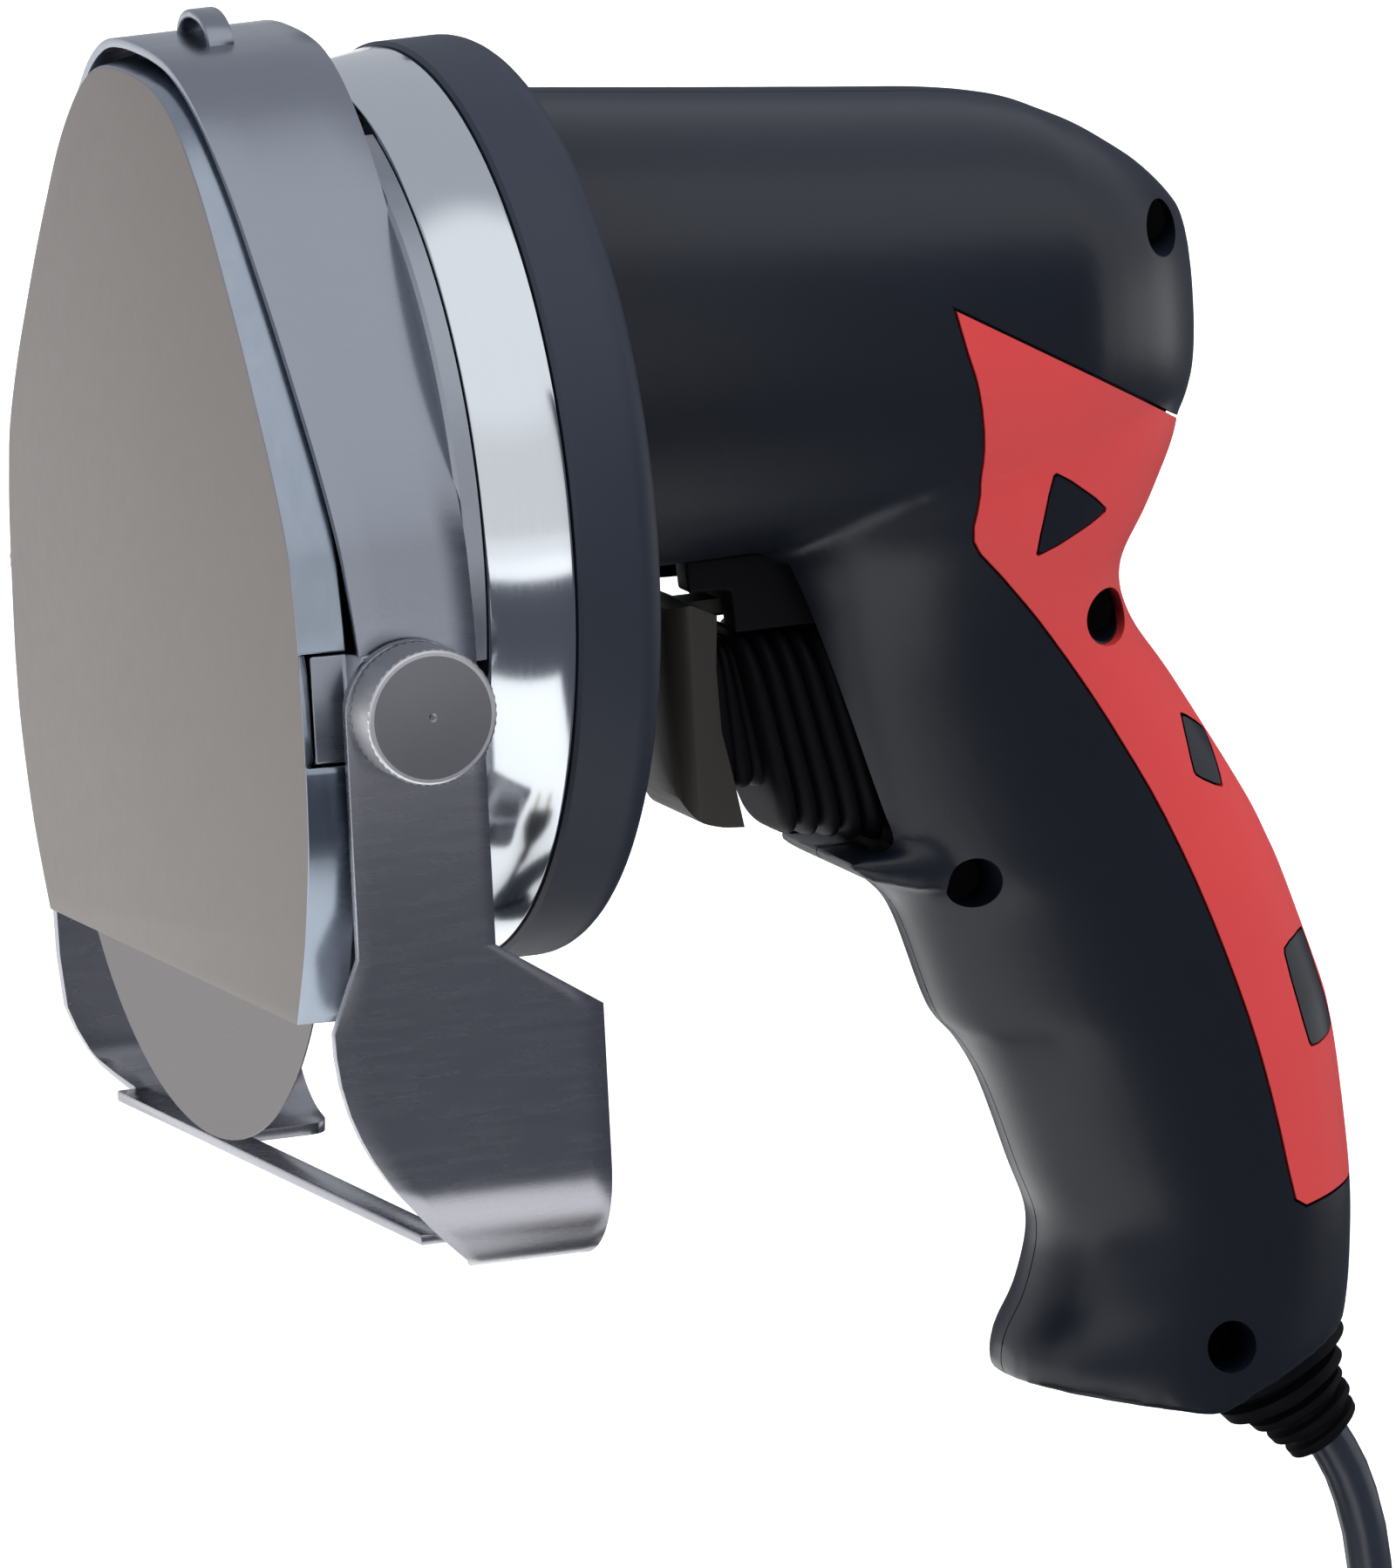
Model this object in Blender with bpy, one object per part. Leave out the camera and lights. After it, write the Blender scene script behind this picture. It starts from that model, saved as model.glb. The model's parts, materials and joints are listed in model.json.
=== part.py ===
"""Electric kebab slicer: a round blade under a sheet cover, driven through three spur gears by a motor in a
pistol-grip housing, with a U-shaped guide that sets the thickness of the slice.

Everything is modelled in metres on the head's own axes: the blade turns about Y through x = 0, z = 0, the
cover plate's face is at y = 0 and the grip is towards +Y. An empty then brings the grip's middle to the origin.
"""

import math

import bmesh
import bpy
from mathutils import Matrix, Vector

# Clearances and mesh settings
SEAT_GAP = 0.0003
RUNNING_GAP = 0.0005
OVERRUN = 0.002
MERGE = 0.000001
FLAT_ANGLE = math.radians(0.02)
ROUND_STEPS = 16
FINE_STEPS = 31
SMALL_STEPS = 8
BARREL_SIDES = 20
GRIP_SIDES = 16
CAVITY_BARREL_SIDES = 14
CAVITY_GRIP_SIDES = 12

# Blade and cover plate
BLADE_RADIUS = 0.050
BLADE_THICKNESS = 0.0012
BLADE_GROUND_WIDTH = 0.004
BLADE_EDGE = 0.0002
SHEET = 0.0012
PLATE_HALF_WIDTH = 0.0555
PLATE_TOP = 0.093
PLATE_BOTTOM = 0.027
PLATE_RIM_DEPTH = 0.0062
PLATE_TO_BLADE = 0.0030
# Half of the shield outline, top centre to lower corner: share of the half width, share of the height.
SHIELD_SHARES = [
    (0.0, 1.0), (0.15, 0.996), (0.25, 0.985), (0.305, 0.967), (0.36, 0.930), (0.44, 0.860), (0.577, 0.804),
    (0.739, 0.708), (0.865, 0.625), (0.91, 0.585), (0.951, 0.537), (0.975, 0.485), (0.991, 0.425),
    (1.0, 0.308), (0.997, 0.25), (0.984, 0.192), (0.93, 0.092), (0.847, 0.0),
]

# Guard band, its side tabs and its top lug
BAND_GAP = 0.0023
BAND_REAR = 0.0235
BAND_FRONT_AT_TOP = 0.0017
BAND_FRONT_SLOPE_SHARE = 0.075
BAND_FOOT = 0.018
TAB_LOW = 0.0090
TAB_HIGH = 0.0235
TAB_REACH = 0.0040
LUG_RADIUS = 0.0044
LUG_FRONT = 0.0080
LUG_DEPTH = 0.0055

# Casting behind the blade, and the round gear case
FRONT_CASE_FACE = 0.0090
FRONT_CASE_WALL = 0.0025
FRONT_CASE_FOOT = 0.0260
DRUM_BELOW_GEAR = 0.0085
DRUM_ABOVE_BARREL = 0.0060
DRUM_TAPER = 0.0020
DRUM_WALL = 0.0024
DRUM_DISC = 0.0025
DRUM_DEPTH = 0.0116
BOSS_WALL = 0.0028
CASE_SCREW_SIDE_INSET = 0.0215
CASE_SCREW_RISE = 0.0090
CASE_SCREW_TOP_INSET = 0.0155
CASE_SCREW_RADIUS = 0.0020
CASE_SCREW_BITE = 0.0080

# Gear train: three gears of one module in a line up the middle plane
MODULE = 0.001
GEAR_WIDTH = 0.006
PINION_TEETH = 12
IDLER_TEETH = 26
BLADE_GEAR_TEETH = 40
TOOTH_TOP_SHARE = 0.85
TOOTH_ROOT_SHARE = 1.2
TOOTH_TIP_WIDTH_SHARE = 0.19
TOOTH_FOOT_WIDTH_SHARE = 0.52
SPINDLE_RADIUS = 0.0050
SPINDLE_FLANGE_RADIUS = 0.0110
SPINDLE_FLANGE_DEPTH = 0.0025
SPIGOT_RADIUS = 0.0040
BLADE_SCREW_RADIUS = 0.0025
BLADE_SCREW_HEAD_RADIUS = 0.0080
BLADE_SCREW_HEAD = 0.0019
BLADE_SCREW_LENGTH = 0.0115
FRONT_BEARING_RADIUS = 0.0110
REAR_BEARING_RADIUS = 0.0095
BEARING_WIDTH = 0.0060
BEARING_GROOVE = 0.0006
IDLER_PIN_RADIUS = 0.0030
HUB_WALL = 0.0025
HUB_DEPTH = 0.0010

# Motor
MOTOR_SHAFT_RADIUS = 0.0025
MOTOR_BEARING_RADIUS = 0.0080
MOTOR_BEARING_WIDTH = 0.0050
STACK_SHARE = 0.75
STACK_LENGTH = 0.0280
STACK_FLAT_SHARE = 0.86
ARMATURE_SHARE = 0.54
ARMATURE_SLOTS = 12
SLOT_DEPTH_SHARE = 0.26
COMMUTATOR_SHARE = 0.6667
COMMUTATOR_LENGTH = 0.0100
COMMUTATOR_STEP = 0.0015
FAN_SHARE = 0.96
FAN_DEPTH = 0.0065
FAN_DISC = 0.0015
FAN_BLADES = 10
BRUSH_SIDE = 0.0050
BRUSH_COVER = 0.0027
BRUSH_RING_WIDTH = 0.0080
BRUSH_RING_BORE_SHARE = 0.5455
BRUSH_RING_SHARE = 0.88
COLLAR_TO_FAN = 0.0010
FAN_TO_STACK = 0.0040
STACK_TO_BRUSHES = 0.0050
BRUSHES_TO_BEARING = 0.0030

# Black collar between drum and handle
COLLAR_STEP = 0.0005
COLLAR_DEPTH = 0.0125
COLLAR_WALL = 0.0026
COLLAR_REAR_WALL = 0.0030
COLLAR_FILLET = 0.0040
COLLAR_LUG = 0.0025
COLLAR_LUG_WIDTH = 0.0100

# Housing: the motor barrel and the grip, each a row of cross-sections
HANDLE_LENGTH = 0.112
BARREL_RADIUS = 0.0325
BARREL_POWER = 2.35
BARREL_FLANGE_LIP = 0.0032
BARREL_FLANGE = 0.0032
# Share of the handle's length, then shares of the barrel's radius: top, bottom, half width.
BARREL_SHARES = [
    (0.0, 1.003, -1.0, 0.935), (0.26, 0.901, -0.99, 0.925), (0.44, 0.833, -0.985, 0.90),
    (0.56, 0.787, -0.97, 0.865), (0.64, 0.729, -0.925, 0.83), (0.685, 0.662, -0.86, 0.77),
    (0.721, 0.600, -0.815, 0.70), (0.756, 0.519, -0.77, 0.612), (0.789, 0.434, -0.72, 0.496),
    (0.820, 0.329, -0.65, 0.348), (0.845, 0.225, -0.52, 0.19),
]
GRIP_TOP = 0.034
GRIP_LENGTH = 0.146
GRIP_HALF_WIDTH = 0.0172
GRIP_POWER = 2.4
# Share of the grip's length below its top, then shares of the handle's length to its front and back, and
# the share of its half width.
GRIP_SHARES = [
    (-0.080, 0.300, 0.790, 1.20), (0.0, 0.270, 0.822, 1.35), (0.080, 0.276, 0.780, 1.33),
    (0.140, 0.300, 0.739, 1.18), (0.192, 0.318, 0.750, 1.09), (0.253, 0.338, 0.800, 1.05),
    (0.366, 0.376, 0.884, 1.0), (0.410, 0.412, 0.910, 1.0), (0.446, 0.452, 0.928, 1.0),
    (0.541, 0.493, 0.967, 1.0), (0.571, 0.523, 0.976, 1.0), (0.614, 0.553, 0.983, 1.0),
    (0.693, 0.586, 0.990, 1.0), (0.750, 0.608, 0.991, 1.0), (0.810, 0.588, 0.985, 1.02),
    (0.848, 0.560, 0.977, 1.05), (0.884, 0.555, 0.965, 1.07), (0.932, 0.585, 0.943, 1.05),
    (1.0, 0.640, 0.912, 1.02),
]
WALL = 0.0030
SPLIT_GAP = 0.0003
BASE_LIP_SHARE = 0.55
BASE_LIP_DROP_SHARE = 0.884
BASE_CORNER_SHARE = 0.768
BASE_CORNER_DROP_SHARE = 0.923

# Motor cradles inside the housing
CRADLE_THICKNESS = 0.0025
CRADLE_INSET = 0.0025

# Red inlay round the back of the grip: shares of the handle's length and of the grip's length, from its tip.
INLAY_DEPTH = 0.0017
INLAY_THICKNESS = 0.0014
INLAY_GROOVE = 0.0004
INLAY_FRONT_SHARES = [
    (0.467, -0.140), (0.480, -0.098), (0.494, -0.060), (0.505, -0.003), (0.506, 0.042),
    (0.497, 0.087), (0.537, 0.126), (0.587, 0.173), (0.639, 0.231), (0.689, 0.295),
    (0.741, 0.370), (0.790, 0.463), (0.831, 0.559), (0.857, 0.642), (0.872, 0.705),
]
INLAY_FOOT_SHARES = [(0.880, 0.735), (0.896, 0.743), (0.930, 0.738), (1.0, 0.726), (1.12, 0.72)]
INLAY_TOP_SHARES = [(1.12, 0.06), (0.848, 0.030)]
TRIANGLE_SHARES = [(0.603, 0.030), (0.678, 0.075), (0.579, 0.109)]
DIAMOND_SHARES = [(0.785, 0.282), (0.826, 0.304), (0.832, 0.353), (0.791, 0.336)]
RECTANGLE_SHARES = [(0.893, 0.506), (0.935, 0.495), (0.966, 0.590), (0.920, 0.600)]
WINDOW_GROOVE = 0.0003

# Housing screws: the top one by shares of the handle's length and the barrel's radius above its axis, the
# others by shares of the handle's length and of the grip's length below its top.
TOP_SCREW_SHARES = (0.780, 0.205)
SCREW_SHARES = [(0.689, 0.181), (0.505, 0.410), (0.786, 0.859)]
SCREW_RADIUS = 0.0017
SCREW_HEAD_RADIUS = 0.0029
SCREW_HEAD = 0.0024
SCREW_LENGTH = 0.0155
SCREW_SEAT = 0.0060
SCREW_WELL_RADIUS = 0.0035
SCREW_BOSS_RADIUS = 0.0052

# Trigger, its pin, the rubber boot behind it and the switch
TRIGGER_PIVOT_SHARE = 0.357
TRIGGER_PIVOT_RISE = 0.0025
TRIGGER_HALF_WIDTH = 0.0088
TRIGGER_WALL = 0.0015
TRIGGER_ARM_HALF_WIDTH = 0.0028
TRIGGER_ROUNDING = 0.0012
# Side view of the trigger cap: shares of its length behind its front, and of its height below its top.
TRIGGER_FRONT_GAP = 0.0172
TRIGGER_CAP_TOP = 0.0147
TRIGGER_CAP_HEIGHT = 0.0305
TRIGGER_CAP_DEPTH = 0.0098
TRIGGER_FRONT_SHARES = [
    (0.10, 0.02), (0.02, 0.16), (0.0, 0.45), (0.06, 0.76), (0.27, 0.93), (0.60, 0.985), (0.98, 1.0),
]
TRIGGER_BACK_SHARES = [(0.87, 0.80), (0.72, 0.57), (0.69, 0.29), (0.74, 0.06), (0.37, 0.0)]
PIN_RADIUS = 0.0019
PIN_HALF_LENGTH = 0.0105
PIN_BOSS_RADIUS = 0.0042
POCKET_HALF_WIDTH = 0.0112
POCKET_DEPTH = 0.0055
POCKET_TOP = 0.0190
POCKET_BOTTOM = 0.0215
POCKET_FLOOR = 0.0025
WINDOW_HALF_WIDTH = 0.0045
WINDOW_RISE = 0.0040
WINDOW_BOTTOM = 0.0090
BOOT_FOLDS = 4
BOOT_TOP = 0.0100
BOOT_BOTTOM = 0.0180
BOOT_HALF_WIDTH = 0.0098
BOOT_FOLD_DEPTH = 0.0018
BOOT_NECK_SHARE = 0.34
BOOT_NECK_HALF_WIDTH = 0.0062
BOOT_NECK_TOP = 0.0078
BOOT_NECK_BOTTOM = 0.0125
BOOT_BORE_HALF_WIDTH = 0.0038
BOOT_BORE_TOP = 0.0045
BOOT_BORE_BOTTOM = 0.0080
BOOT_FRONT_GAP = 0.0058
SWITCH_WIDTH = 0.0150
SWITCH_TO_BOSS = 0.0045
SWITCH_HEIGHT = 0.0220
SWITCH_HEIGHT_CENTRE = -0.0010
PLUNGER_HALF_WIDTH = 0.0025
PLUNGER_HALF_HEIGHT = 0.0030
PLUNGER_OUT = 0.0050
PLUNGER_IN = 0.0030
PLUNGER_TRAVEL = 0.0031

# Thickness guide and its two thumb screws
GUIDE_SHEET = 0.0015
GUIDE_BEND_RADIUS = 0.0140
GUIDE_FOOT = 0.0615
GUIDE_ARM_FRONT = 0.0041
GUIDE_ARM_REAR = 0.0232
GUIDE_WING_FRONT = 0.0002
GUIDE_WING_REAR = 0.0378
GUIDE_WING_TOP = 0.0165
GUIDE_WING_FULL = 0.0260
GUIDE_TIP_FRONT = 0.0220
GUIDE_BAR_HEIGHT = 0.0553
GUIDE_BAR_FRONT = 0.0118
GUIDE_BAR_DEPTH = 0.0044
GUIDE_TRAVEL = 0.0075
THUMB_Y = 0.0135
THUMB_Z = 0.0161
THUMB_RADIUS = 0.0091
THUMB_DEPTH = 0.0071
THUMB_RIM = 0.0009
THUMB_RECESS = 0.0003
THUMB_SHANK_RADIUS = 0.0020
THUMB_SHANK_REACH = 0.0090

# Strain relief, cable clamp and cord
RELIEF_ROOT_SHARE = 0.871
RELIEF_ROOT_DROP_SHARE = 0.891
RELIEF_LENGTH = 0.0155
BASE_LEAN = math.radians(22)
# The strain relief's lean from upright at its root, middle and tip.
RELIEF_LEANS = (math.radians(34), math.radians(42), math.radians(28))
RELIEF_TIP_FACE_LEAN = math.radians(38)
# Share of the free length, share of the flange radius.
RELIEF_FLANGE_RADIUS = 0.0118
RELIEF_SHARES = [
    (-0.353, 0.62), (-0.20, 0.62), (-0.19, 0.50), (0.02, 0.50), (0.03, 1.0), (0.16, 1.0), (0.18, 0.60),
    (0.30, 0.58), (0.32, 0.76), (0.43, 0.75), (0.45, 0.48), (0.52, 0.47), (0.54, 0.60), (0.61, 0.59),
    (0.63, 0.44), (0.70, 0.43), (0.72, 0.54), (0.79, 0.53), (0.81, 0.40), (0.88, 0.39), (0.90, 0.47),
    (0.97, 0.46), (1.0, 0.38),
]
RELIEF_SIDES = 12
CORD_RADIUS = 0.0030
CORD_STEPS = 2
# Free run of the cord below the strain relief, down to where it hangs upright, chosen by hand: Y and Z.
CORD_FALL = [
    (0.1596, -0.1108), (0.1609, -0.1136), (0.1620, -0.1171), (0.1630, -0.1218), (0.1635, -0.1268),
    (0.1637, -0.1314),
]
# Where the cord lies down on the surface, and so where the coil starts.
COIL_START = (-0.0275, 0.1550)
COIL_STEPS = 1
SURFACE_BELOW_AXIS = 0.164
COIL_TURNS = 4
COIL_PITCH = 0.0066
COIL_INNER_RADIUS = 0.0230
COIL_POINTS = 24
COIL_START_ANGLE = math.radians(110)
COIL_TAIL = 0.0480
TAIL_DROP_SHARE = 0.5
BEND_HANDLE = 0.0160
CLAMP_LENGTH = 0.0140
CLAMP_WIDTH = 0.0100
CLAMP_THICKNESS = 0.0030
TIE_WIDTH = 0.0100
TIE_THICKNESS = 0.0008
TIE_ANGLE = math.radians(250)
PLUG_LENGTH = 0.0360
PLUG_WIDTH = 0.0350
PLUG_THICKNESS = 0.0137
PLUG_NECK_LENGTH = 0.0200
PLUG_NECK_RADIUS = 0.0050
PLUG_PIN_RADIUS = 0.0020
PLUG_PIN_LENGTH = 0.0190
PLUG_PIN_SPACING = 0.0186
PLUG_PIN_SEAT = 0.0060

# Middle of the grip, which becomes the origin of the part
GRIP_CENTRE = Vector((0.0, 0.136, -0.050))

# Places that follow from the sizes above
BLADE_FRONT = SHEET + PLATE_TO_BLADE
BLADE_REAR = BLADE_FRONT + BLADE_THICKNESS
FLANGE_FRONT = BLADE_REAR + SEAT_GAP
FLANGE_REAR = FLANGE_FRONT + SPINDLE_FLANGE_DEPTH
DISC_FRONT = BAND_REAR + SEAT_GAP
DISC_REAR = DISC_FRONT + DRUM_DISC
DRUM_FRONT = DISC_REAR + SEAT_GAP
DRUM_REAR = DRUM_FRONT + DRUM_DEPTH
DRUM_BACK_WALL = DRUM_REAR - DRUM_WALL
GEAR_FRONT = DRUM_FRONT + RUNNING_GAP + HUB_DEPTH
GEAR_REAR = GEAR_FRONT + GEAR_WIDTH
BLADE_GEAR_RADIUS = MODULE * BLADE_GEAR_TEETH / 2
IDLER_RADIUS = MODULE * IDLER_TEETH / 2
PINION_RADIUS = MODULE * PINION_TEETH / 2
IDLER_HEIGHT = BLADE_GEAR_RADIUS + IDLER_RADIUS
MOTOR_HEIGHT = IDLER_HEIGHT + IDLER_RADIUS + PINION_RADIUS
DRUM_FOOT = -BLADE_GEAR_RADIUS - DRUM_BELOW_GEAR
DRUM_TOP = MOTOR_HEIGHT + BARREL_RADIUS + DRUM_ABOVE_BARREL
DRUM_RADIUS = (DRUM_TOP - DRUM_FOOT) / 2
DRUM_CENTRE_HEIGHT = (DRUM_TOP + DRUM_FOOT) / 2
DRUM_FRONT_RADIUS = DRUM_RADIUS - DRUM_TAPER
COLLAR_RADIUS = DRUM_RADIUS + COLLAR_STEP
CASE_SCREW_SIDE = DRUM_RADIUS - CASE_SCREW_SIDE_INSET
CASE_SCREW_SIDE_HEIGHT = DRUM_CENTRE_HEIGHT + CASE_SCREW_RISE
CASE_SCREW_TOP_HEIGHT = DRUM_TOP - CASE_SCREW_TOP_INSET
STACK_RADIUS = BARREL_RADIUS * STACK_SHARE
ARMATURE_RADIUS = STACK_RADIUS * ARMATURE_SHARE
COMMUTATOR_RADIUS = ARMATURE_RADIUS * COMMUTATOR_SHARE
FAN_RADIUS = STACK_RADIUS * FAN_SHARE
BRUSH_RING_RADIUS = STACK_RADIUS * BRUSH_RING_SHARE
BRUSH_RING_BORE = BRUSH_RING_RADIUS * BRUSH_RING_BORE_SHARE
BRUSH_LENGTH = BRUSH_RING_RADIUS - COMMUTATOR_RADIUS - SEAT_GAP - BRUSH_COVER
BARREL_FLANGE_RADIUS = BARREL_RADIUS + BARREL_FLANGE_LIP
CRADLE_REACH = BARREL_RADIUS - CRADLE_INSET
PIVOT_Z = MOTOR_HEIGHT - BARREL_RADIUS + TRIGGER_PIVOT_RISE
WINDOW_TOP = PIVOT_Z + WINDOW_RISE
COLLAR_FRONT = DRUM_REAR + SEAT_GAP
COLLAR_REAR = COLLAR_FRONT + COLLAR_DEPTH
FRONT_BEARING_FRONT = FRONT_CASE_FACE + FRONT_CASE_WALL + SEAT_GAP
REAR_BEARING_FRONT = DRUM_BACK_WALL + SEAT_GAP
REAR_BEARING_REAR = REAR_BEARING_FRONT + BEARING_WIDTH
BOSS_REAR = REAR_BEARING_REAR + SEAT_GAP
SPINDLE_REAR = REAR_BEARING_REAR
FLANGE_PLACE_REAR = COLLAR_REAR - COLLAR_REAR_WALL - SEAT_GAP
BARREL_START = FLANGE_PLACE_REAR - BARREL_FLANGE
FAN_FRONT = COLLAR_REAR + COLLAR_TO_FAN
STACK_FRONT = FAN_FRONT + FAN_DEPTH + FAN_TO_STACK
STACK_REAR = STACK_FRONT + STACK_LENGTH
BRUSH_RING_FRONT = STACK_REAR + STACK_TO_BRUSHES
BRUSH_RING_REAR = BRUSH_RING_FRONT + BRUSH_RING_WIDTH
MOTOR_REAR_BEARING_FRONT = BRUSH_RING_REAR + BRUSHES_TO_BEARING
MOTOR_REAR_BEARING_REAR = MOTOR_REAR_BEARING_FRONT + MOTOR_BEARING_WIDTH
GUIDE_INSIDE = PLATE_HALF_WIDTH + BAND_GAP + SHEET + RUNNING_GAP
GUIDE_OUTSIDE = GUIDE_INSIDE + GUIDE_SHEET
SURFACE = -SURFACE_BELOW_AXIS
COIL_LOW = SURFACE + TIE_THICKNESS + 2 * SEAT_GAP + CORD_RADIUS
PLUG_HEIGHT = SURFACE + SEAT_GAP + PLUG_THICKNESS / 2


def handle_y(share):
    """A place along the handle, from the collar's rear face to the back of the grip."""
    return COLLAR_REAR + HANDLE_LENGTH * share


def grip_z(share):
    """A height on the grip, from its top down."""
    return GRIP_TOP - GRIP_LENGTH * share


PIVOT_Y = handle_y(TRIGGER_PIVOT_SHARE)
TRIGGER_FRONT = COLLAR_REAR + TRIGGER_FRONT_GAP


# Scene and object helpers


def clear_scene():
    for obj in list(bpy.data.objects):
        bpy.data.objects.remove(obj, do_unlink=True)
    for mesh in list(bpy.data.meshes):
        bpy.data.meshes.remove(mesh)


def finish_of(name, colour, roughness, metallic):
    """A Principled material, made once for each finish."""
    found = bpy.data.materials.get(name)
    if found:
        return found
    made = bpy.data.materials.new(name)
    made.use_nodes = True
    shader = made.node_tree.nodes["Principled BSDF"]
    shader.inputs["Base Color"].default_value = (*colour, 1.0)
    shader.inputs["Roughness"].default_value = roughness
    shader.inputs["Metallic"].default_value = metallic
    return made


FINISHES = {
    "brushed_sheet": ((0.28, 0.26, 0.24), 0.45, 1.0),
    "satin_band": ((0.42, 0.44, 0.47), 0.28, 1.0),
    "polished_drum": ((0.66, 0.68, 0.70), 0.16, 1.0),
    "turned_steel": ((0.45, 0.46, 0.48), 0.30, 1.0),
    "cast_metal": ((0.40, 0.41, 0.43), 0.50, 1.0),
    "gear_steel": ((0.32, 0.32, 0.33), 0.38, 1.0),
    "black_plastic": ((0.020, 0.022, 0.030), 0.55, 0.0),
    "red_rubber": ((0.55, 0.045, 0.045), 0.60, 0.0),
    "grey_trigger": ((0.048, 0.042, 0.038), 0.45, 0.0),
    "black_rubber": ((0.012, 0.012, 0.014), 0.65, 0.0),
    "copper": ((0.55, 0.27, 0.14), 0.35, 1.0),
    "carbon": ((0.02, 0.02, 0.02), 0.70, 0.0),
    "brass": ((0.60, 0.46, 0.20), 0.28, 1.0),
}


def clean(shape):
    """Merges points that meet and faces that lie in one plane."""
    bmesh.ops.remove_doubles(shape, verts=shape.verts, dist=MERGE)
    bmesh.ops.dissolve_degenerate(shape, edges=shape.edges, dist=MERGE)
    bmesh.ops.dissolve_limit(
        shape, angle_limit=FLAT_ANGLE, verts=shape.verts, edges=shape.edges, use_dissolve_boundaries=False,
    )


def solid(name, shape):
    """An object from a closed bmesh, with its faces turned outwards."""
    clean(shape)
    bmesh.ops.recalc_face_normals(shape, faces=shape.faces)
    mesh = bpy.data.meshes.new(name)
    shape.to_mesh(mesh)
    shape.free()
    made = bpy.data.objects.new(name, mesh)
    bpy.context.scene.collection.objects.link(made)
    return made


def combine(target, tool, operation):
    """Joins, cuts or intersects two closed objects, and removes the tool."""
    modifier = target.modifiers.new(operation.title(), "BOOLEAN")
    modifier.operation = operation
    modifier.solver = "EXACT"
    modifier.object = tool
    bpy.context.view_layer.update()
    graph = bpy.context.evaluated_depsgraph_get()
    mesh = bpy.data.meshes.new_from_object(target.evaluated_get(graph))
    target.modifiers.clear()
    shape = bmesh.new()
    shape.from_mesh(mesh)
    clean(shape)
    shape.to_mesh(mesh)
    shape.free()
    target.data = mesh
    bpy.data.objects.remove(tool, do_unlink=True)
    return target


def join(target, *tools):
    for tool in tools:
        combine(target, tool, "UNION")
    return target


def cut(target, *tools):
    for tool in tools:
        combine(target, tool, "DIFFERENCE")
    return target


def keep_inside(target, tool):
    return combine(target, tool, "INTERSECT")


def finish(obj, finish_name, sharp_angle=35, origin=(0.0, 0.0, 0.0)):
    """Gives an object its finish and its smooth faces, and puts its origin on its axis or seat."""
    obj.data.materials.clear()
    obj.data.materials.append(finish_of(finish_name, *FINISHES[finish_name]))
    if obj.type == "MESH":
        obj.data.transform(Matrix.Translation(-Vector(origin)))
        obj.data.shade_smooth()
        obj.data.set_sharp_from_angle(angle=math.radians(sharp_angle))
        obj.location = origin
    return obj


# Shape helpers


def smooth_points(points, steps):
    """Points on a smooth curve through the given ones, with this many steps between each two."""
    ends = [points[0], *points, points[-1]]
    found = []
    for before, here, after, beyond in zip(ends, ends[1:], ends[2:], ends[3:]):
        for step in range(steps):
            t = step / steps
            found.append(tuple(
                0.5 * (2 * b + (c - a) * t + (2 * a - 5 * b + 4 * c - d) * t * t
                       + (3 * b - a - 3 * c + d) * t * t * t)
                for a, b, c, d in zip(before, here, after, beyond)
            ))
    return [*found, tuple(points[-1])]


def table_value(table, share, column):
    """Reads a table of shares at any share, on a straight line between its rows."""
    for low, high in zip(table, table[1:]):
        if share <= high[0]:
            part = (share - low[0]) / (high[0] - low[0])
            return low[column] + part * (high[column] - low[column])
    return table[-1][column]


def offset_outline(outline, distance):
    """A closed outline moved outwards by a distance, whichever way round it runs."""
    count = len(outline)
    area = sum(
        a[0] * b[1] - b[0] * a[1] for a, b in zip(outline, outline[1:] + outline[:1])
    )
    turn = 1 if area > 0 else -1
    moved = []
    for index, point in enumerate(outline):
        here = Vector(point)
        back = (here - Vector(outline[index - 1])).normalized()
        ahead = (Vector(outline[(index + 1) % count]) - here).normalized()
        normal = Vector((back.y + ahead.y, -back.x - ahead.x)).normalized() * turn
        stretch = max(0.4, Vector((back.y, -back.x)).dot(normal) * turn)
        moved.append(tuple(here + normal * distance / stretch))
    return moved


def oval(half_a, half_b, power, count):
    """Points of a superellipse round the centre."""
    points = []
    for index in range(count):
        angle = 2 * math.pi * index / count
        a = math.cos(angle)
        b = math.sin(angle)
        points.append((
            half_a * math.copysign(abs(a) ** (2 / power), a),
            half_b * math.copysign(abs(b) ** (2 / power), b),
        ))
    return points


def prism(name, outline, axis, start, end):
    """A closed outline pushed along an axis. Its pairs are the other two axes, in order."""
    shape = bmesh.new()
    slot = "XYZ".index(axis)
    ring = []
    for pair in outline:
        place = list(pair)
        place.insert(slot, start)
        ring.append(shape.verts.new(place))
    face = shape.faces.new(ring)
    pushed = bmesh.ops.extrude_face_region(shape, geom=[face])["geom"]
    move = Vector((0.0, 0.0, 0.0))
    move[slot] = end - start
    bmesh.ops.translate(shape, verts=[v for v in pushed if isinstance(v, bmesh.types.BMVert)], vec=move)
    return solid(name, shape)


def block(name, low, high):
    """A box between two corners."""
    outline = [(low[0], low[1]), (high[0], low[1]), (high[0], high[1]), (low[0], high[1])]
    return prism(name, outline, "Z", low[2], high[2])


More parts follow.
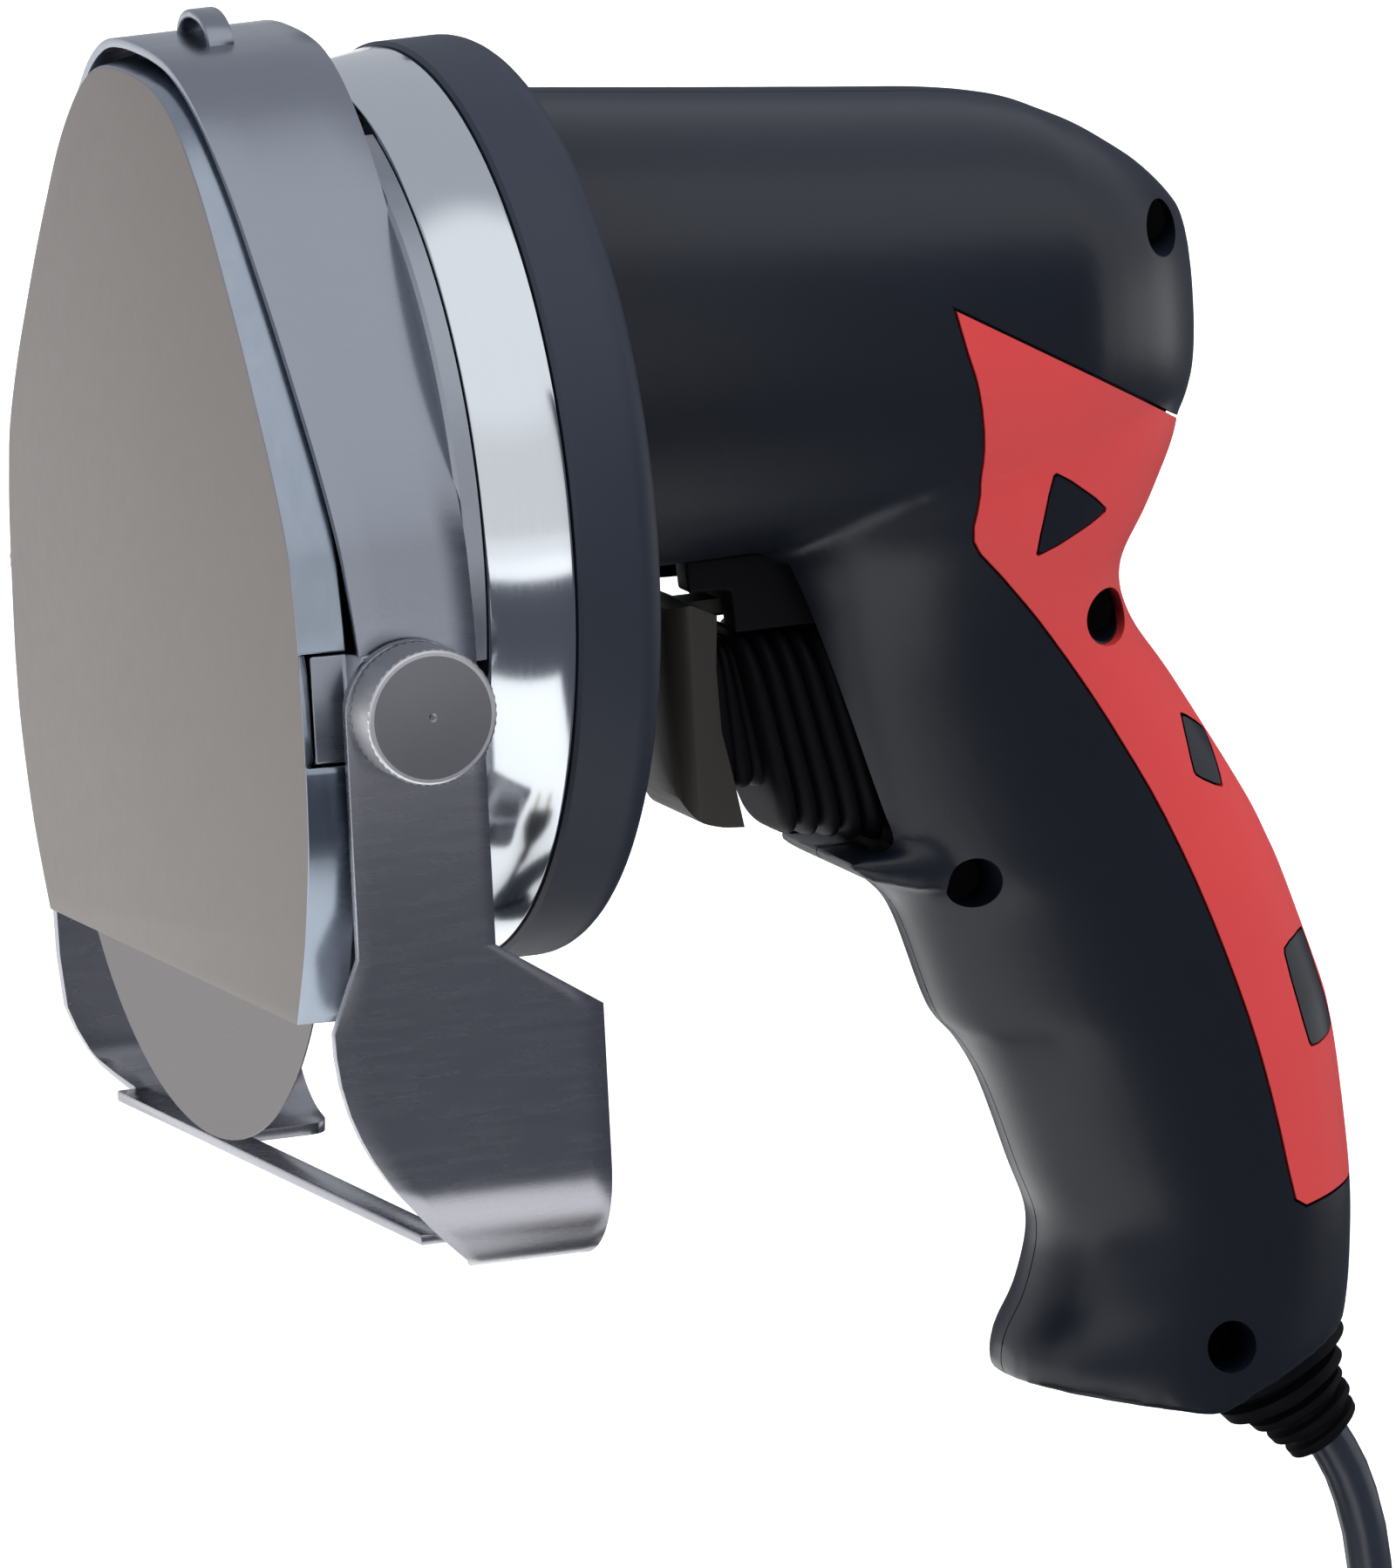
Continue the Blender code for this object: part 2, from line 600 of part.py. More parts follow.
def turned(name, profile, centre, axis="Y", steps=ROUND_STEPS):
    """A profile of radius and height spun round an axis through the centre."""
    shape = bmesh.new()
    verts = [shape.verts.new((radius, height, 0.0)) for radius, height in profile]
    edges = []
    for first, second in zip(verts, verts[1:] + verts[:1]):
        if first.co.x > 0 or second.co.x > 0:
            edges.append(shape.edges.new((first, second)))
    bmesh.ops.spin(
        shape, geom=verts + edges, cent=(0.0, 0.0, 0.0), axis=(0.0, 1.0, 0.0),
        angle=2 * math.pi, steps=steps, use_merge=True,
    )
    if axis == "X":
        bmesh.ops.rotate(
            shape, verts=shape.verts, cent=(0.0, 0.0, 0.0), matrix=Matrix.Rotation(-math.pi / 2, 3, "Z"),
        )
    bmesh.ops.translate(shape, verts=shape.verts, vec=centre)
    return solid(name, shape)


def rod(name, radius, start, end, centre, axis="Y", steps=ROUND_STEPS):
    """A plain round rod from start to end along its axis."""
    return turned(name, [(0.0, start), (radius, start), (radius, end), (0.0, end)], centre, axis, steps)


def loft(name, rings):
    """A closed solid through rings of points, with flat ends."""
    shape = bmesh.new()
    rows = [[shape.verts.new(point) for point in ring] for ring in rings]
    count = len(rows[0])
    for low, high in zip(rows, rows[1:]):
        for index in range(count):
            after = (index + 1) % count
            shape.faces.new((low[index], low[after], high[after], high[index]))
    shape.faces.new(rows[0])
    shape.faces.new(rows[-1])
    return solid(name, shape)


def soften(obj, width, angle=40, segments=2):
    """Rounds the edges of a solid that are sharper than an angle."""
    shape = bmesh.new()
    shape.from_mesh(obj.data)
    sharp = [edge for edge in shape.edges if edge.calc_face_angle(0.0) > math.radians(angle)]
    bmesh.ops.bevel(
        shape, geom=sharp, offset=width, segments=segments, affect="EDGES", profile=0.5,
        clamp_overlap=True,
    )
    shape.to_mesh(obj.data)
    shape.free()
    return obj


def tube(name, points, radius, level):
    """A round tube along a row of points."""
    curve = bpy.data.curves.new(name, "CURVE")
    curve.dimensions = "3D"
    curve.bevel_depth = radius
    curve.bevel_resolution = level
    curve.use_fill_caps = True
    line = curve.splines.new("POLY")
    line.points.add(len(points) - 1)
    for point, place in zip(line.points, points):
        point.co = (*place, 1.0)
    made = bpy.data.objects.new(name, curve)
    bpy.context.scene.collection.objects.link(made)
    return made


# Blade, cover plate and guard band


def trim_outline(outline, floor):
    """The part of a closed outline that lies above a floor, with a straight lower edge."""
    kept = []
    for here, after in zip(outline, outline[1:] + outline[:1]):
        if here[1] >= floor:
            kept.append(here)
        if (here[1] - floor) * (after[1] - floor) < 0:
            part = (floor - here[1]) / (after[1] - here[1])
            kept.append((here[0] + part * (after[0] - here[0]), floor))
    return kept


def shield_outline(grow, foot):
    """The shield shape of the head, moved outwards and cut off straight at its foot."""
    height = PLATE_TOP + PLATE_BOTTOM
    half = [(PLATE_HALF_WIDTH * x, PLATE_TOP - height * (1 - z)) for x, z in SHIELD_SHARES]
    left = [(-x, z) for x, z in half[:0:-1]]
    return trim_outline(offset_outline(half + left, grow), -foot)


def make_cover_plate():
    """The flat cover with a narrow rim folded back, open below and notched for the band's tabs."""
    outer = shield_outline(0.0, PLATE_BOTTOM)
    plate = prism("cover_plate", outer, "Y", 0.0, PLATE_RIM_DEPTH)
    inner = offset_outline(outer, -SHEET)
    lowest = min(z for x, z in inner)
    inner = [(x, lowest - 2 * SHEET if z <= lowest + MERGE else z) for x, z in inner]
    cut(plate, prism("hollow", inner, "Y", SHEET, PLATE_RIM_DEPTH + OVERRUN))
    for side in (-1, 1):
        near = side * (PLATE_HALF_WIDTH - TAB_REACH)
        far = side * (PLATE_HALF_WIDTH + OVERRUN)
        cut(plate, block(
            "notch", (min(near, far), SHEET, TAB_LOW - SEAT_GAP),
            (max(near, far), PLATE_RIM_DEPTH + OVERRUN, TAB_HIGH + SEAT_GAP),
        ))
    return finish(plate, "brushed_sheet")


def band_front(height):
    """How far back the band's slanting front edge lies at a height."""
    return BAND_FRONT_AT_TOP + (PLATE_TOP + BAND_GAP + SHEET - height) * BAND_FRONT_SLOPE_SHARE


def band_tab(side):
    """A tongue of the band that steps in to the cover plate's edge."""
    outer = PLATE_HALF_WIDTH + BAND_GAP + SHEET
    root = band_front(TAB_LOW) + TAB_REACH
    step = PLATE_RIM_DEPTH
    tip = SHEET + SEAT_GAP
    outline = [
        (outer, root), (outer, step + SHEET), (PLATE_HALF_WIDTH, step), (PLATE_HALF_WIDTH, tip),
        (PLATE_HALF_WIDTH - SHEET, tip), (PLATE_HALF_WIDTH - SHEET, step + SHEET),
        (outer - SHEET, step + 2 * SHEET), (outer - SHEET, root),
    ]
    return prism("tab", [(side * x, y) for x, y in outline], "Z", TAB_LOW, TAB_HIGH)


def band_lug():
    """The small raised loop on top of the band."""
    base = PLATE_TOP + BAND_GAP + SHEET / 2
    outer = [(LUG_RADIUS * math.cos(a), base + LUG_RADIUS * math.sin(a)) for a in half_turn(8)]
    inner_radius = LUG_RADIUS - SHEET
    inner = [(inner_radius * math.cos(a), base + inner_radius * math.sin(a)) for a in half_turn(8)]
    return prism("lug", outer + inner[::-1], "Y", LUG_FRONT, LUG_FRONT + LUG_DEPTH)


def half_turn(steps):
    return [math.pi * step / steps for step in range(steps + 1)]


def make_guard_band():
    """The strip that wraps the head, open below, with a slanting front edge, two tabs and a lug."""
    outer = shield_outline(BAND_GAP + SHEET, BAND_FOOT)
    band = prism("guard_band", outer, "Y", 0.0, BAND_REAR)
    inner = shield_outline(BAND_GAP, BAND_FOOT + OVERRUN)
    cut(band, prism("hollow", inner, "Y", -OVERRUN, BAND_REAR + OVERRUN))
    top = PLATE_TOP + BAND_GAP + SHEET + OVERRUN
    reach = PLATE_HALF_WIDTH + BAND_GAP + SHEET + OVERRUN
    low = -BAND_FOOT - OVERRUN
    slant = [(-OVERRUN, low), (band_front(low), low), (band_front(top), top), (-OVERRUN, top)]
    cut(band, prism("slant", slant, "X", -reach, reach))
    join(band, band_tab(1), band_tab(-1), band_lug())
    bore = THUMB_SHANK_RADIUS + RUNNING_GAP
    cut(band, rod("bore", bore, -reach, reach, (0.0, THUMB_Y, THUMB_Z), "X", SMALL_STEPS))
    return finish(band, "satin_band")


def make_blade():
    """The round blade, flat in front and ground from behind to its edge."""
    ground = BLADE_RADIUS - BLADE_GROUND_WIDTH
    bore = SPIGOT_RADIUS + SEAT_GAP
    profile = [
        (bore, BLADE_FRONT), (BLADE_RADIUS, BLADE_FRONT), (BLADE_RADIUS, BLADE_FRONT + BLADE_EDGE),
        (ground, BLADE_REAR), (bore, BLADE_REAR),
    ]
    return finish(turned("blade", profile, (0.0, 0.0, 0.0), steps=FINE_STEPS), "turned_steel", 2)


def make_blade_spindle():
    """The shaft that carries the blade, with its flange, spigot and threaded bore."""
    bore = BLADE_SCREW_RADIUS + SEAT_GAP
    nose = BLADE_FRONT + SEAT_GAP
    bottom = BLADE_FRONT + BLADE_SCREW_LENGTH + SEAT_GAP
    profile = [
        (bore, nose), (SPIGOT_RADIUS, nose), (SPIGOT_RADIUS, FLANGE_FRONT),
        (SPINDLE_FLANGE_RADIUS, FLANGE_FRONT), (SPINDLE_FLANGE_RADIUS, FLANGE_REAR),
        (SPINDLE_RADIUS, FLANGE_REAR), (SPINDLE_RADIUS, SPINDLE_REAR), (0.0, SPINDLE_REAR),
        (0.0, bottom), (bore, bottom),
    ]
    return finish(turned("blade_spindle", profile, (0.0, 0.0, 0.0), steps=18), "turned_steel")


def make_blade_screw():
    """The flat screw that clamps the blade, with a cross slot in its head."""
    face = BLADE_FRONT - SEAT_GAP
    front = face - BLADE_SCREW_HEAD
    end = BLADE_FRONT + BLADE_SCREW_LENGTH
    profile = [
        (0.0, front), (BLADE_SCREW_HEAD_RADIUS - BLADE_SCREW_HEAD, front), (BLADE_SCREW_HEAD_RADIUS, face),
        (BLADE_SCREW_RADIUS, face), (BLADE_SCREW_RADIUS, end), (0.0, end),
    ]
    screw = turned("blade_screw", profile, (0.0, 0.0, 0.0), steps=18)
    half = SHEET / 2
    deep = front + BLADE_SCREW_HEAD / 2
    reach = BLADE_SCREW_HEAD_RADIUS / 2
    cut(screw, block("slot", (-reach, front - OVERRUN, -half), (reach, deep, half)))
    cut(screw, block("slot", (-half, front - OVERRUN, -reach), (half, deep, reach)))
    return finish(screw, "turned_steel")


# Front casting, gear case and collar


def case_screw_places():
    side = CASE_SCREW_SIDE
    return [(side, CASE_SCREW_SIDE_HEIGHT), (-side, CASE_SCREW_SIDE_HEIGHT), (0.0, CASE_SCREW_TOP_HEIGHT)]


def make_front_case():
    """The casting behind the blade: a shield-shaped pan with a round rear disc, bosses and the front seat."""
    outline = shield_outline(BAND_GAP - SEAT_GAP, FRONT_CASE_FOOT)
    case = prism("front_case", outline, "Y", FRONT_CASE_FACE, DISC_REAR)
    join(case, rod(
        "disc", DRUM_FRONT_RADIUS, DISC_FRONT, DISC_REAR, (0.0, 0.0, DRUM_CENTRE_HEIGHT), steps=FINE_STEPS,
    ))
    wall = FRONT_CASE_WALL
    hollow = offset_outline(outline, -wall)
    cut(case, prism("hollow", hollow, "Y", FRONT_CASE_FACE + wall, DISC_REAR + OVERRUN))
    inside = FRONT_CASE_FACE + wall / 2
    boss = FRONT_BEARING_RADIUS + SEAT_GAP + BOSS_WALL
    boss_end = FRONT_BEARING_FRONT + BEARING_WIDTH + SEAT_GAP
    join(case, rod("boss", boss, inside, boss_end, (0.0, 0.0, 0.0)))
    screw_boss = CASE_SCREW_RADIUS + BOSS_WALL
    for x, z in case_screw_places():
        join(case, rod("boss", screw_boss, inside, DISC_REAR, (x, 0.0, z), steps=SMALL_STEPS))
    thumb_boss = THUMB_SHANK_RADIUS + RUNNING_GAP + BOSS_WALL
    for side in (-1, 1):
        ends = (side * (GUIDE_INSIDE - THUMB_SHANK_REACH - BOSS_WALL), side * (PLATE_HALF_WIDTH - wall / 2))
        join(case, rod("boss", thumb_boss, min(ends), max(ends), (0.0, THUMB_Y, THUMB_Z), "X", SMALL_STEPS))
        cut(case, thumb_bore(side))
    shaft_hole = SPINDLE_RADIUS + RUNNING_GAP
    cut(case, rod("hole", shaft_hole, FRONT_CASE_FACE - OVERRUN, boss_end, (0.0, 0.0, 0.0)))
    seat = FRONT_BEARING_RADIUS + SEAT_GAP
    cut(case, rod("seat", seat, FRONT_CASE_FACE + wall, boss_end + OVERRUN, (0.0, 0.0, 0.0)))
    for x, z in case_screw_places():
        deep = DISC_REAR - CASE_SCREW_BITE - SEAT_GAP
        cut(case, rod(
            "bore", CASE_SCREW_RADIUS + SEAT_GAP, deep, DISC_REAR + OVERRUN, (x, 0.0, z), steps=SMALL_STEPS,
        ))
    return finish(case, "cast_metal")


def thumb_bore(side):
    """The blind bore in the casting that takes a thumb screw's shank."""
    ends = (side * (GUIDE_INSIDE - THUMB_SHANK_REACH - SEAT_GAP), side * (PLATE_HALF_WIDTH + BAND_GAP + OVERRUN))
    radius = THUMB_SHANK_RADIUS + SEAT_GAP
    return rod("bore", radius, min(ends), max(ends), (0.0, THUMB_Y, THUMB_Z), "X", SMALL_STEPS)


def make_gear_case():
    """The polished drum: a tapered cup with seats for the rear spindle bearing and the motor's nose."""
    inner = DRUM_FRONT_RADIUS - DRUM_WALL
    profile = [
        (0.0, DRUM_BACK_WALL), (inner, DRUM_BACK_WALL), (inner, DRUM_FRONT),
        (DRUM_FRONT_RADIUS, DRUM_FRONT), (DRUM_RADIUS, DRUM_REAR), (0.0, DRUM_REAR),
    ]
    drum = turned("gear_case", profile, (0.0, 0.0, DRUM_CENTRE_HEIGHT), steps=FINE_STEPS)
    middle = DRUM_BACK_WALL + DRUM_WALL / 2
    for radius, height in ((REAR_BEARING_RADIUS, 0.0), (MOTOR_BEARING_RADIUS, MOTOR_HEIGHT)):
        seat = radius + SEAT_GAP
        join(drum, rod("boss", seat + BOSS_WALL, middle, BOSS_REAR + BOSS_WALL / 2, (0.0, 0.0, height)))
        cut(drum, rod("seat", seat, DRUM_BACK_WALL - OVERRUN, BOSS_REAR, (0.0, 0.0, height)))
    hole = MOTOR_SHAFT_RADIUS + RUNNING_GAP
    cut(drum, rod("hole", hole, BOSS_REAR - OVERRUN, BOSS_REAR + BOSS_WALL, (0.0, 0.0, MOTOR_HEIGHT), steps=SMALL_STEPS))
    pin = IDLER_PIN_RADIUS + SEAT_GAP
    cut(drum, rod("hole", pin, DRUM_FRONT, DRUM_REAR + OVERRUN, (0.0, 0.0, IDLER_HEIGHT), steps=16))
    for x, z in case_screw_places():
        radius = CASE_SCREW_RADIUS + SEAT_GAP
        cut(drum, rod("hole", radius, DRUM_FRONT, DRUM_REAR + OVERRUN, (x, 0.0, z), steps=SMALL_STEPS))
    return finish(drum, "polished_drum")


def collar_lug(x, z):
    """A bar from the collar's wall to a case screw."""
    outward = Vector((x, z - DRUM_CENTRE_HEIGHT)).normalized()
    along = Vector((-outward.y, outward.x)) * COLLAR_LUG_WIDTH / 2
    inner = Vector((x, z)) - outward * COLLAR_LUG_WIDTH / 2
    outer = Vector((0.0, DRUM_CENTRE_HEIGHT)) + outward * (COLLAR_RADIUS - COLLAR_WALL / 2)
    outline = [tuple(inner - along), tuple(inner + along), tuple(outer + along), tuple(outer - along)]
    return prism("lug", outline, "Y", COLLAR_FRONT, COLLAR_FRONT + COLLAR_LUG)


def make_collar_ring():
    """The black ring: a cup with a rounded rear edge and an opening for the motor barrel."""
    wall = COLLAR_REAR - COLLAR_REAR_WALL
    inner = COLLAR_RADIUS - COLLAR_WALL
    round_start = COLLAR_RADIUS - COLLAR_FILLET
    curve = [
        (round_start + COLLAR_FILLET * math.cos(a), COLLAR_REAR - COLLAR_FILLET + COLLAR_FILLET * math.sin(a))
        for a in [math.pi * step / 6 for step in range(4)]
    ]
    profile = [(0.0, wall), (inner, wall), (inner, COLLAR_FRONT), (COLLAR_RADIUS, COLLAR_FRONT), *curve]
    profile.append((0.0, COLLAR_REAR))
    ring = turned("collar_ring", profile, (0.0, 0.0, DRUM_CENTRE_HEIGHT), steps=FINE_STEPS)
    for x, z in case_screw_places():
        join(ring, collar_lug(x, z))
        hole = CASE_SCREW_RADIUS + SEAT_GAP
        cut(ring, rod("hole", hole, COLLAR_FRONT - OVERRUN, wall - OVERRUN, (x, 0.0, z), steps=SMALL_STEPS))
    outline = [(x, MOTOR_HEIGHT + z) for x, z in barrel_outline(0.0, SEAT_GAP)]
    cut(ring, prism("opening", outline, "Y", wall - OVERRUN, COLLAR_REAR + OVERRUN))
    return finish(ring, "black_plastic")


def make_case_screws():
    """Three screws that hold collar, drum and front casting together."""
    start = DISC_REAR - CASE_SCREW_BITE
    seat = COLLAR_FRONT + COLLAR_LUG + SEAT_GAP
    head = CASE_SCREW_RADIUS
    profile = [
        (0.0, start), (CASE_SCREW_RADIUS, start), (CASE_SCREW_RADIUS, seat), (2 * head, seat),
        (2 * head, seat + head), (0.0, seat + head),
    ]
    for number, (x, z) in enumerate(case_screw_places(), 1):
        screw = turned(f"case_screw_{number}", profile, (x, 0.0, z), steps=SMALL_STEPS)
        finish(screw, "turned_steel", origin=(x, 0.0, z))


# Gears, bearings and motor


def gear_outline(teeth, phase):
    """A spur gear's outline, four points to a tooth."""
    radius = MODULE * teeth / 2
    top = radius + MODULE * TOOTH_TOP_SHARE
    root = radius - MODULE * TOOTH_ROOT_SHARE
    pitch = 2 * math.pi / teeth
    tip = pitch * TOOTH_TIP_WIDTH_SHARE / 2
    foot = pitch * TOOTH_FOOT_WIDTH_SHARE / 2
    points = []
    for tooth in range(teeth):
        middle = phase + pitch * tooth
        for angle, reach in ((-foot, root), (-tip, top), (tip, top), (foot, root)):
            points.append((reach * math.cos(middle + angle), reach * math.sin(middle + angle)))
    return points


def make_gear(name, teeth, phase, height, bore):
    """A spur gear with a raised hub on both faces."""
    outline = [(x, z + height) for x, z in gear_outline(teeth, phase)]
    gear = prism(name, outline, "Y", GEAR_FRONT, GEAR_REAR)
    hub = bore + HUB_WALL
    if hub < MODULE * (teeth / 2 - TOOTH_ROOT_SHARE):
        join(gear, rod("hub", hub, GEAR_FRONT - HUB_DEPTH, GEAR_REAR + HUB_DEPTH, (0.0, 0.0, height), steps=16))
    cut(gear, rod(
        "bore", bore, GEAR_FRONT - HUB_DEPTH - OVERRUN, GEAR_REAR + HUB_DEPTH + OVERRUN,
        (0.0, 0.0, height), steps=16,
    ))
    return finish(gear, "gear_steel", 20, (0.0, 0.0, height))


def make_gear_train():
    """Pinion, idler and blade gear, turned so that teeth meet gaps on the line between the axes."""
    up = math.pi / 2
    blade_pitch = 2 * math.pi / BLADE_GEAR_TEETH
    idler_pitch = 2 * math.pi / IDLER_TEETH
    pinion_pitch = 2 * math.pi / PINION_TEETH
    make_gear("blade_gear", BLADE_GEAR_TEETH, up + blade_pitch / 2, 0.0, SPINDLE_RADIUS + SEAT_GAP)
    make_gear("idler_gear", IDLER_TEETH, -up, IDLER_HEIGHT, IDLER_PIN_RADIUS + RUNNING_GAP)
    turns_up = (math.pi / idler_pitch) % 1.0
    pinion_phase = -up + pinion_pitch * (0.5 + turns_up)
    make_gear("pinion", PINION_TEETH, pinion_phase, MOTOR_HEIGHT, MOTOR_SHAFT_RADIUS + SEAT_GAP)
    pin = rod("idler_pin", IDLER_PIN_RADIUS, GEAR_FRONT - HUB_DEPTH, DRUM_REAR, (0.0, 0.0, IDLER_HEIGHT))
    finish(pin, "turned_steel", origin=(0.0, 0.0, IDLER_HEIGHT))


def make_bearing(name, shaft, radius, front, width, height):
    """A ball bearing with its grooved front face."""
    bore = shaft + SEAT_GAP
    ring = (radius - bore) / 4
    rear = front + width
    profile = [
        (bore, front), (bore + ring, front), (bore + ring, front + BEARING_GROOVE),
        (radius - ring, front + BEARING_GROOVE), (radius - ring, front), (radius, front),
        (radius, rear), (bore, rear),
    ]
    bearing = turned(name, profile, (0.0, 0.0, height), steps=16)
    return finish(bearing, "turned_steel", origin=(0.0, 0.0, height))


def make_bearings():
    make_bearing(
        "front_bearing", SPINDLE_RADIUS, FRONT_BEARING_RADIUS, FRONT_BEARING_FRONT, BEARING_WIDTH, 0.0,
    )
    make_bearing("rear_bearing", SPINDLE_RADIUS, REAR_BEARING_RADIUS, REAR_BEARING_FRONT, BEARING_WIDTH, 0.0)
    motor = (MOTOR_SHAFT_RADIUS, MOTOR_BEARING_RADIUS)
    nose = BOSS_REAR - MOTOR_BEARING_WIDTH - SEAT_GAP
    make_bearing("motor_front_bearing", *motor, nose, MOTOR_BEARING_WIDTH, MOTOR_HEIGHT)
    make_bearing(
        "motor_rear_bearing", *motor, MOTOR_REAR_BEARING_FRONT, MOTOR_BEARING_WIDTH, MOTOR_HEIGHT,
    )


def ring_of(name, outline, bore, front, rear, steps=32):
    """A prism about the motor's axis with a round bore."""
    made = prism(name, [(x, z + MOTOR_HEIGHT) for x, z in outline], "Y", front, rear)
    cut(made, rod("bore", bore, front - OVERRUN, rear + OVERRUN, (0.0, 0.0, MOTOR_HEIGHT), steps=steps))
    return made


def slotted_outline(radius, slots):
    """A round outline with narrow slots, as on a stack of armature plates."""
    points = []
    pitch = 2 * math.pi / slots
    deep = radius * (1 - SLOT_DEPTH_SHARE)
    for slot in range(slots):
        start = pitch * slot
        for part, reach in ((0.0, deep), (0.10, radius), (0.50, radius), (0.90, radius)):
            angle = start + pitch * part
            points.append((reach * math.cos(angle), reach * math.sin(angle)))
    return points


def vane_outline(inner, outer, half, count):
    """A hub with narrow straight vanes round it."""
    points = []
    for number in range(count):
        middle = 2 * math.pi * number / count
        for reach, side in ((inner, -1), (outer, -1), (outer, 1), (inner, 1)):
            angle = middle + side * math.asin(half / reach)
            points.append((reach * math.cos(angle), reach * math.sin(angle)))
    return points


def make_fan():
    """The cooling fan: a disc with a hub and radial vanes."""
    centre = (0.0, 0.0, MOTOR_HEIGHT)
    rear = FAN_FRONT + FAN_DEPTH
    bore = MOTOR_SHAFT_RADIUS + SEAT_GAP
    half = FAN_DISC / 2
    outline = vane_outline(bore + HUB_WALL, FAN_RADIUS - half, half, FAN_BLADES)
    fan = prism("cooling_fan", [(x, z + MOTOR_HEIGHT) for x, z in outline], "Y", FAN_FRONT, rear - half)
    join(fan, rod("disc", FAN_RADIUS, rear - FAN_DISC, rear, centre, steps=24))
    cut(fan, rod("bore", bore, FAN_FRONT - OVERRUN, rear + OVERRUN, centre))
    return finish(fan, "black_plastic", origin=centre)


def make_motor():
    """Shaft, armature, commutator, fan, field stack, brush ring and brushes."""
    centre = (0.0, 0.0, MOTOR_HEIGHT)
    shaft = rod(
        "motor_shaft", MOTOR_SHAFT_RADIUS, GEAR_FRONT, MOTOR_REAR_BEARING_REAR, centre,
    )
    finish(shaft, "turned_steel", origin=centre)
    bore = MOTOR_SHAFT_RADIUS + SEAT_GAP
    core = ring_of("armature_core", slotted_outline(ARMATURE_RADIUS, ARMATURE_SLOTS), bore, STACK_FRONT, STACK_REAR)
    finish(core, "gear_steel", 20, centre)
    front = BRUSH_RING_FRONT - (COMMUTATOR_LENGTH - BRUSH_RING_WIDTH) / 2
    rear = front + COMMUTATOR_LENGTH
    profile = [
        (bore, front), (COMMUTATOR_RADIUS + COMMUTATOR_STEP, front),
        (COMMUTATOR_RADIUS + COMMUTATOR_STEP, front + COMMUTATOR_STEP / 2),
        (COMMUTATOR_RADIUS, front + COMMUTATOR_STEP / 2), (COMMUTATOR_RADIUS, rear), (bore, rear),
    ]
    finish(turned("commutator", profile, centre, steps=20), "copper", origin=centre)
    make_fan()
    side = STACK_RADIUS * STACK_FLAT_SHARE
    outline = [(max(-side, min(side, x)), z) for x, z in oval(STACK_RADIUS, STACK_RADIUS, 2, 32)]
    stack = ring_of("field_stack", outline, ARMATURE_RADIUS + RUNNING_GAP, STACK_FRONT, STACK_REAR, 28)
    finish(stack, "gear_steel", 20, centre)
    make_brushes()


def make_brushes():
    """The ring that guides the two carbon brushes, and the brushes above and below the commutator."""
    centre = (0.0, 0.0, MOTOR_HEIGHT)
    circle = oval(BRUSH_RING_RADIUS, BRUSH_RING_RADIUS, 2, 24)
    ring = ring_of("brush_ring", circle, BRUSH_RING_BORE, BRUSH_RING_FRONT, BRUSH_RING_REAR, 20)
    middle = (BRUSH_RING_FRONT + BRUSH_RING_REAR) / 2
    slot = BRUSH_SIDE / 2 + SEAT_GAP
    inner = COMMUTATOR_RADIUS + SEAT_GAP
    outer = inner + BRUSH_LENGTH
    for number, side in enumerate((1, -1), 1):
        for name, half, reach in (("slot", slot, outer + SEAT_GAP), (f"carbon_brush_{number}", BRUSH_SIDE / 2, outer)):
            ends = sorted((MOTOR_HEIGHT + side * inner, MOTOR_HEIGHT + side * reach))
            made = block(name, (-half, middle - half, ends[0]), (half, middle + half, ends[1]))
            if name == "slot":
                cut(ring, made)
            else:
                finish(made, "carbon", origin=(0.0, middle, ends[0]))
    finish(ring, "black_plastic", origin=centre)


# Housing


def barrel_outline(share, grow, sides=BARREL_SIDES):
    """The barrel's cross-section at a share of the handle's length, about the motor's axis."""
    top = table_value(BARREL_SHARES, share, 1) * BARREL_RADIUS + grow
    bottom = table_value(BARREL_SHARES, share, 2) * BARREL_RADIUS - grow
    half = table_value(BARREL_SHARES, share, 3) * BARREL_RADIUS + grow
    middle = (top + bottom) / 2
    return [(x, z + middle) for x, z in oval(half, (top - bottom) / 2, BARREL_POWER, sides)]


def barrel(inset, sides):
    """The motor barrel, made smaller all round by the inset and left open in front where it is a cavity."""
    start = BARREL_START + (-OVERRUN if inset else BARREL_FLANGE / 2)
    rings = [[(x, start, MOTOR_HEIGHT + z) for x, z in barrel_outline(0.0, -inset, sides)]]
    for share, _, _, half in BARREL_SHARES[1:]:
        if half * BARREL_RADIUS > 2 * inset:
            y = handle_y(share) - inset * (share / BARREL_SHARES[-1][0]) ** 2
            rings.append([(x, y, MOTOR_HEIGHT + z) for x, z in barrel_outline(share, -inset, sides)])
    return loft("barrel", rings)


def grip(inset, sides, every):
    """The grip with its finger grooves, made smaller all round by the inset."""
    rings = []
    for drop, front, back, half in GRIP_SHARES[::every]:
        near = handle_y(front) + inset
        far = handle_y(back) - inset
        ring = oval(GRIP_HALF_WIDTH * half - inset, (far - near) / 2, GRIP_POWER, sides)
        rings.append([(x, y + (near + far) / 2, grip_z(drop)) for x, y in ring])
    made = loft("grip", rings)
    trim_base(made, inset)
    return made


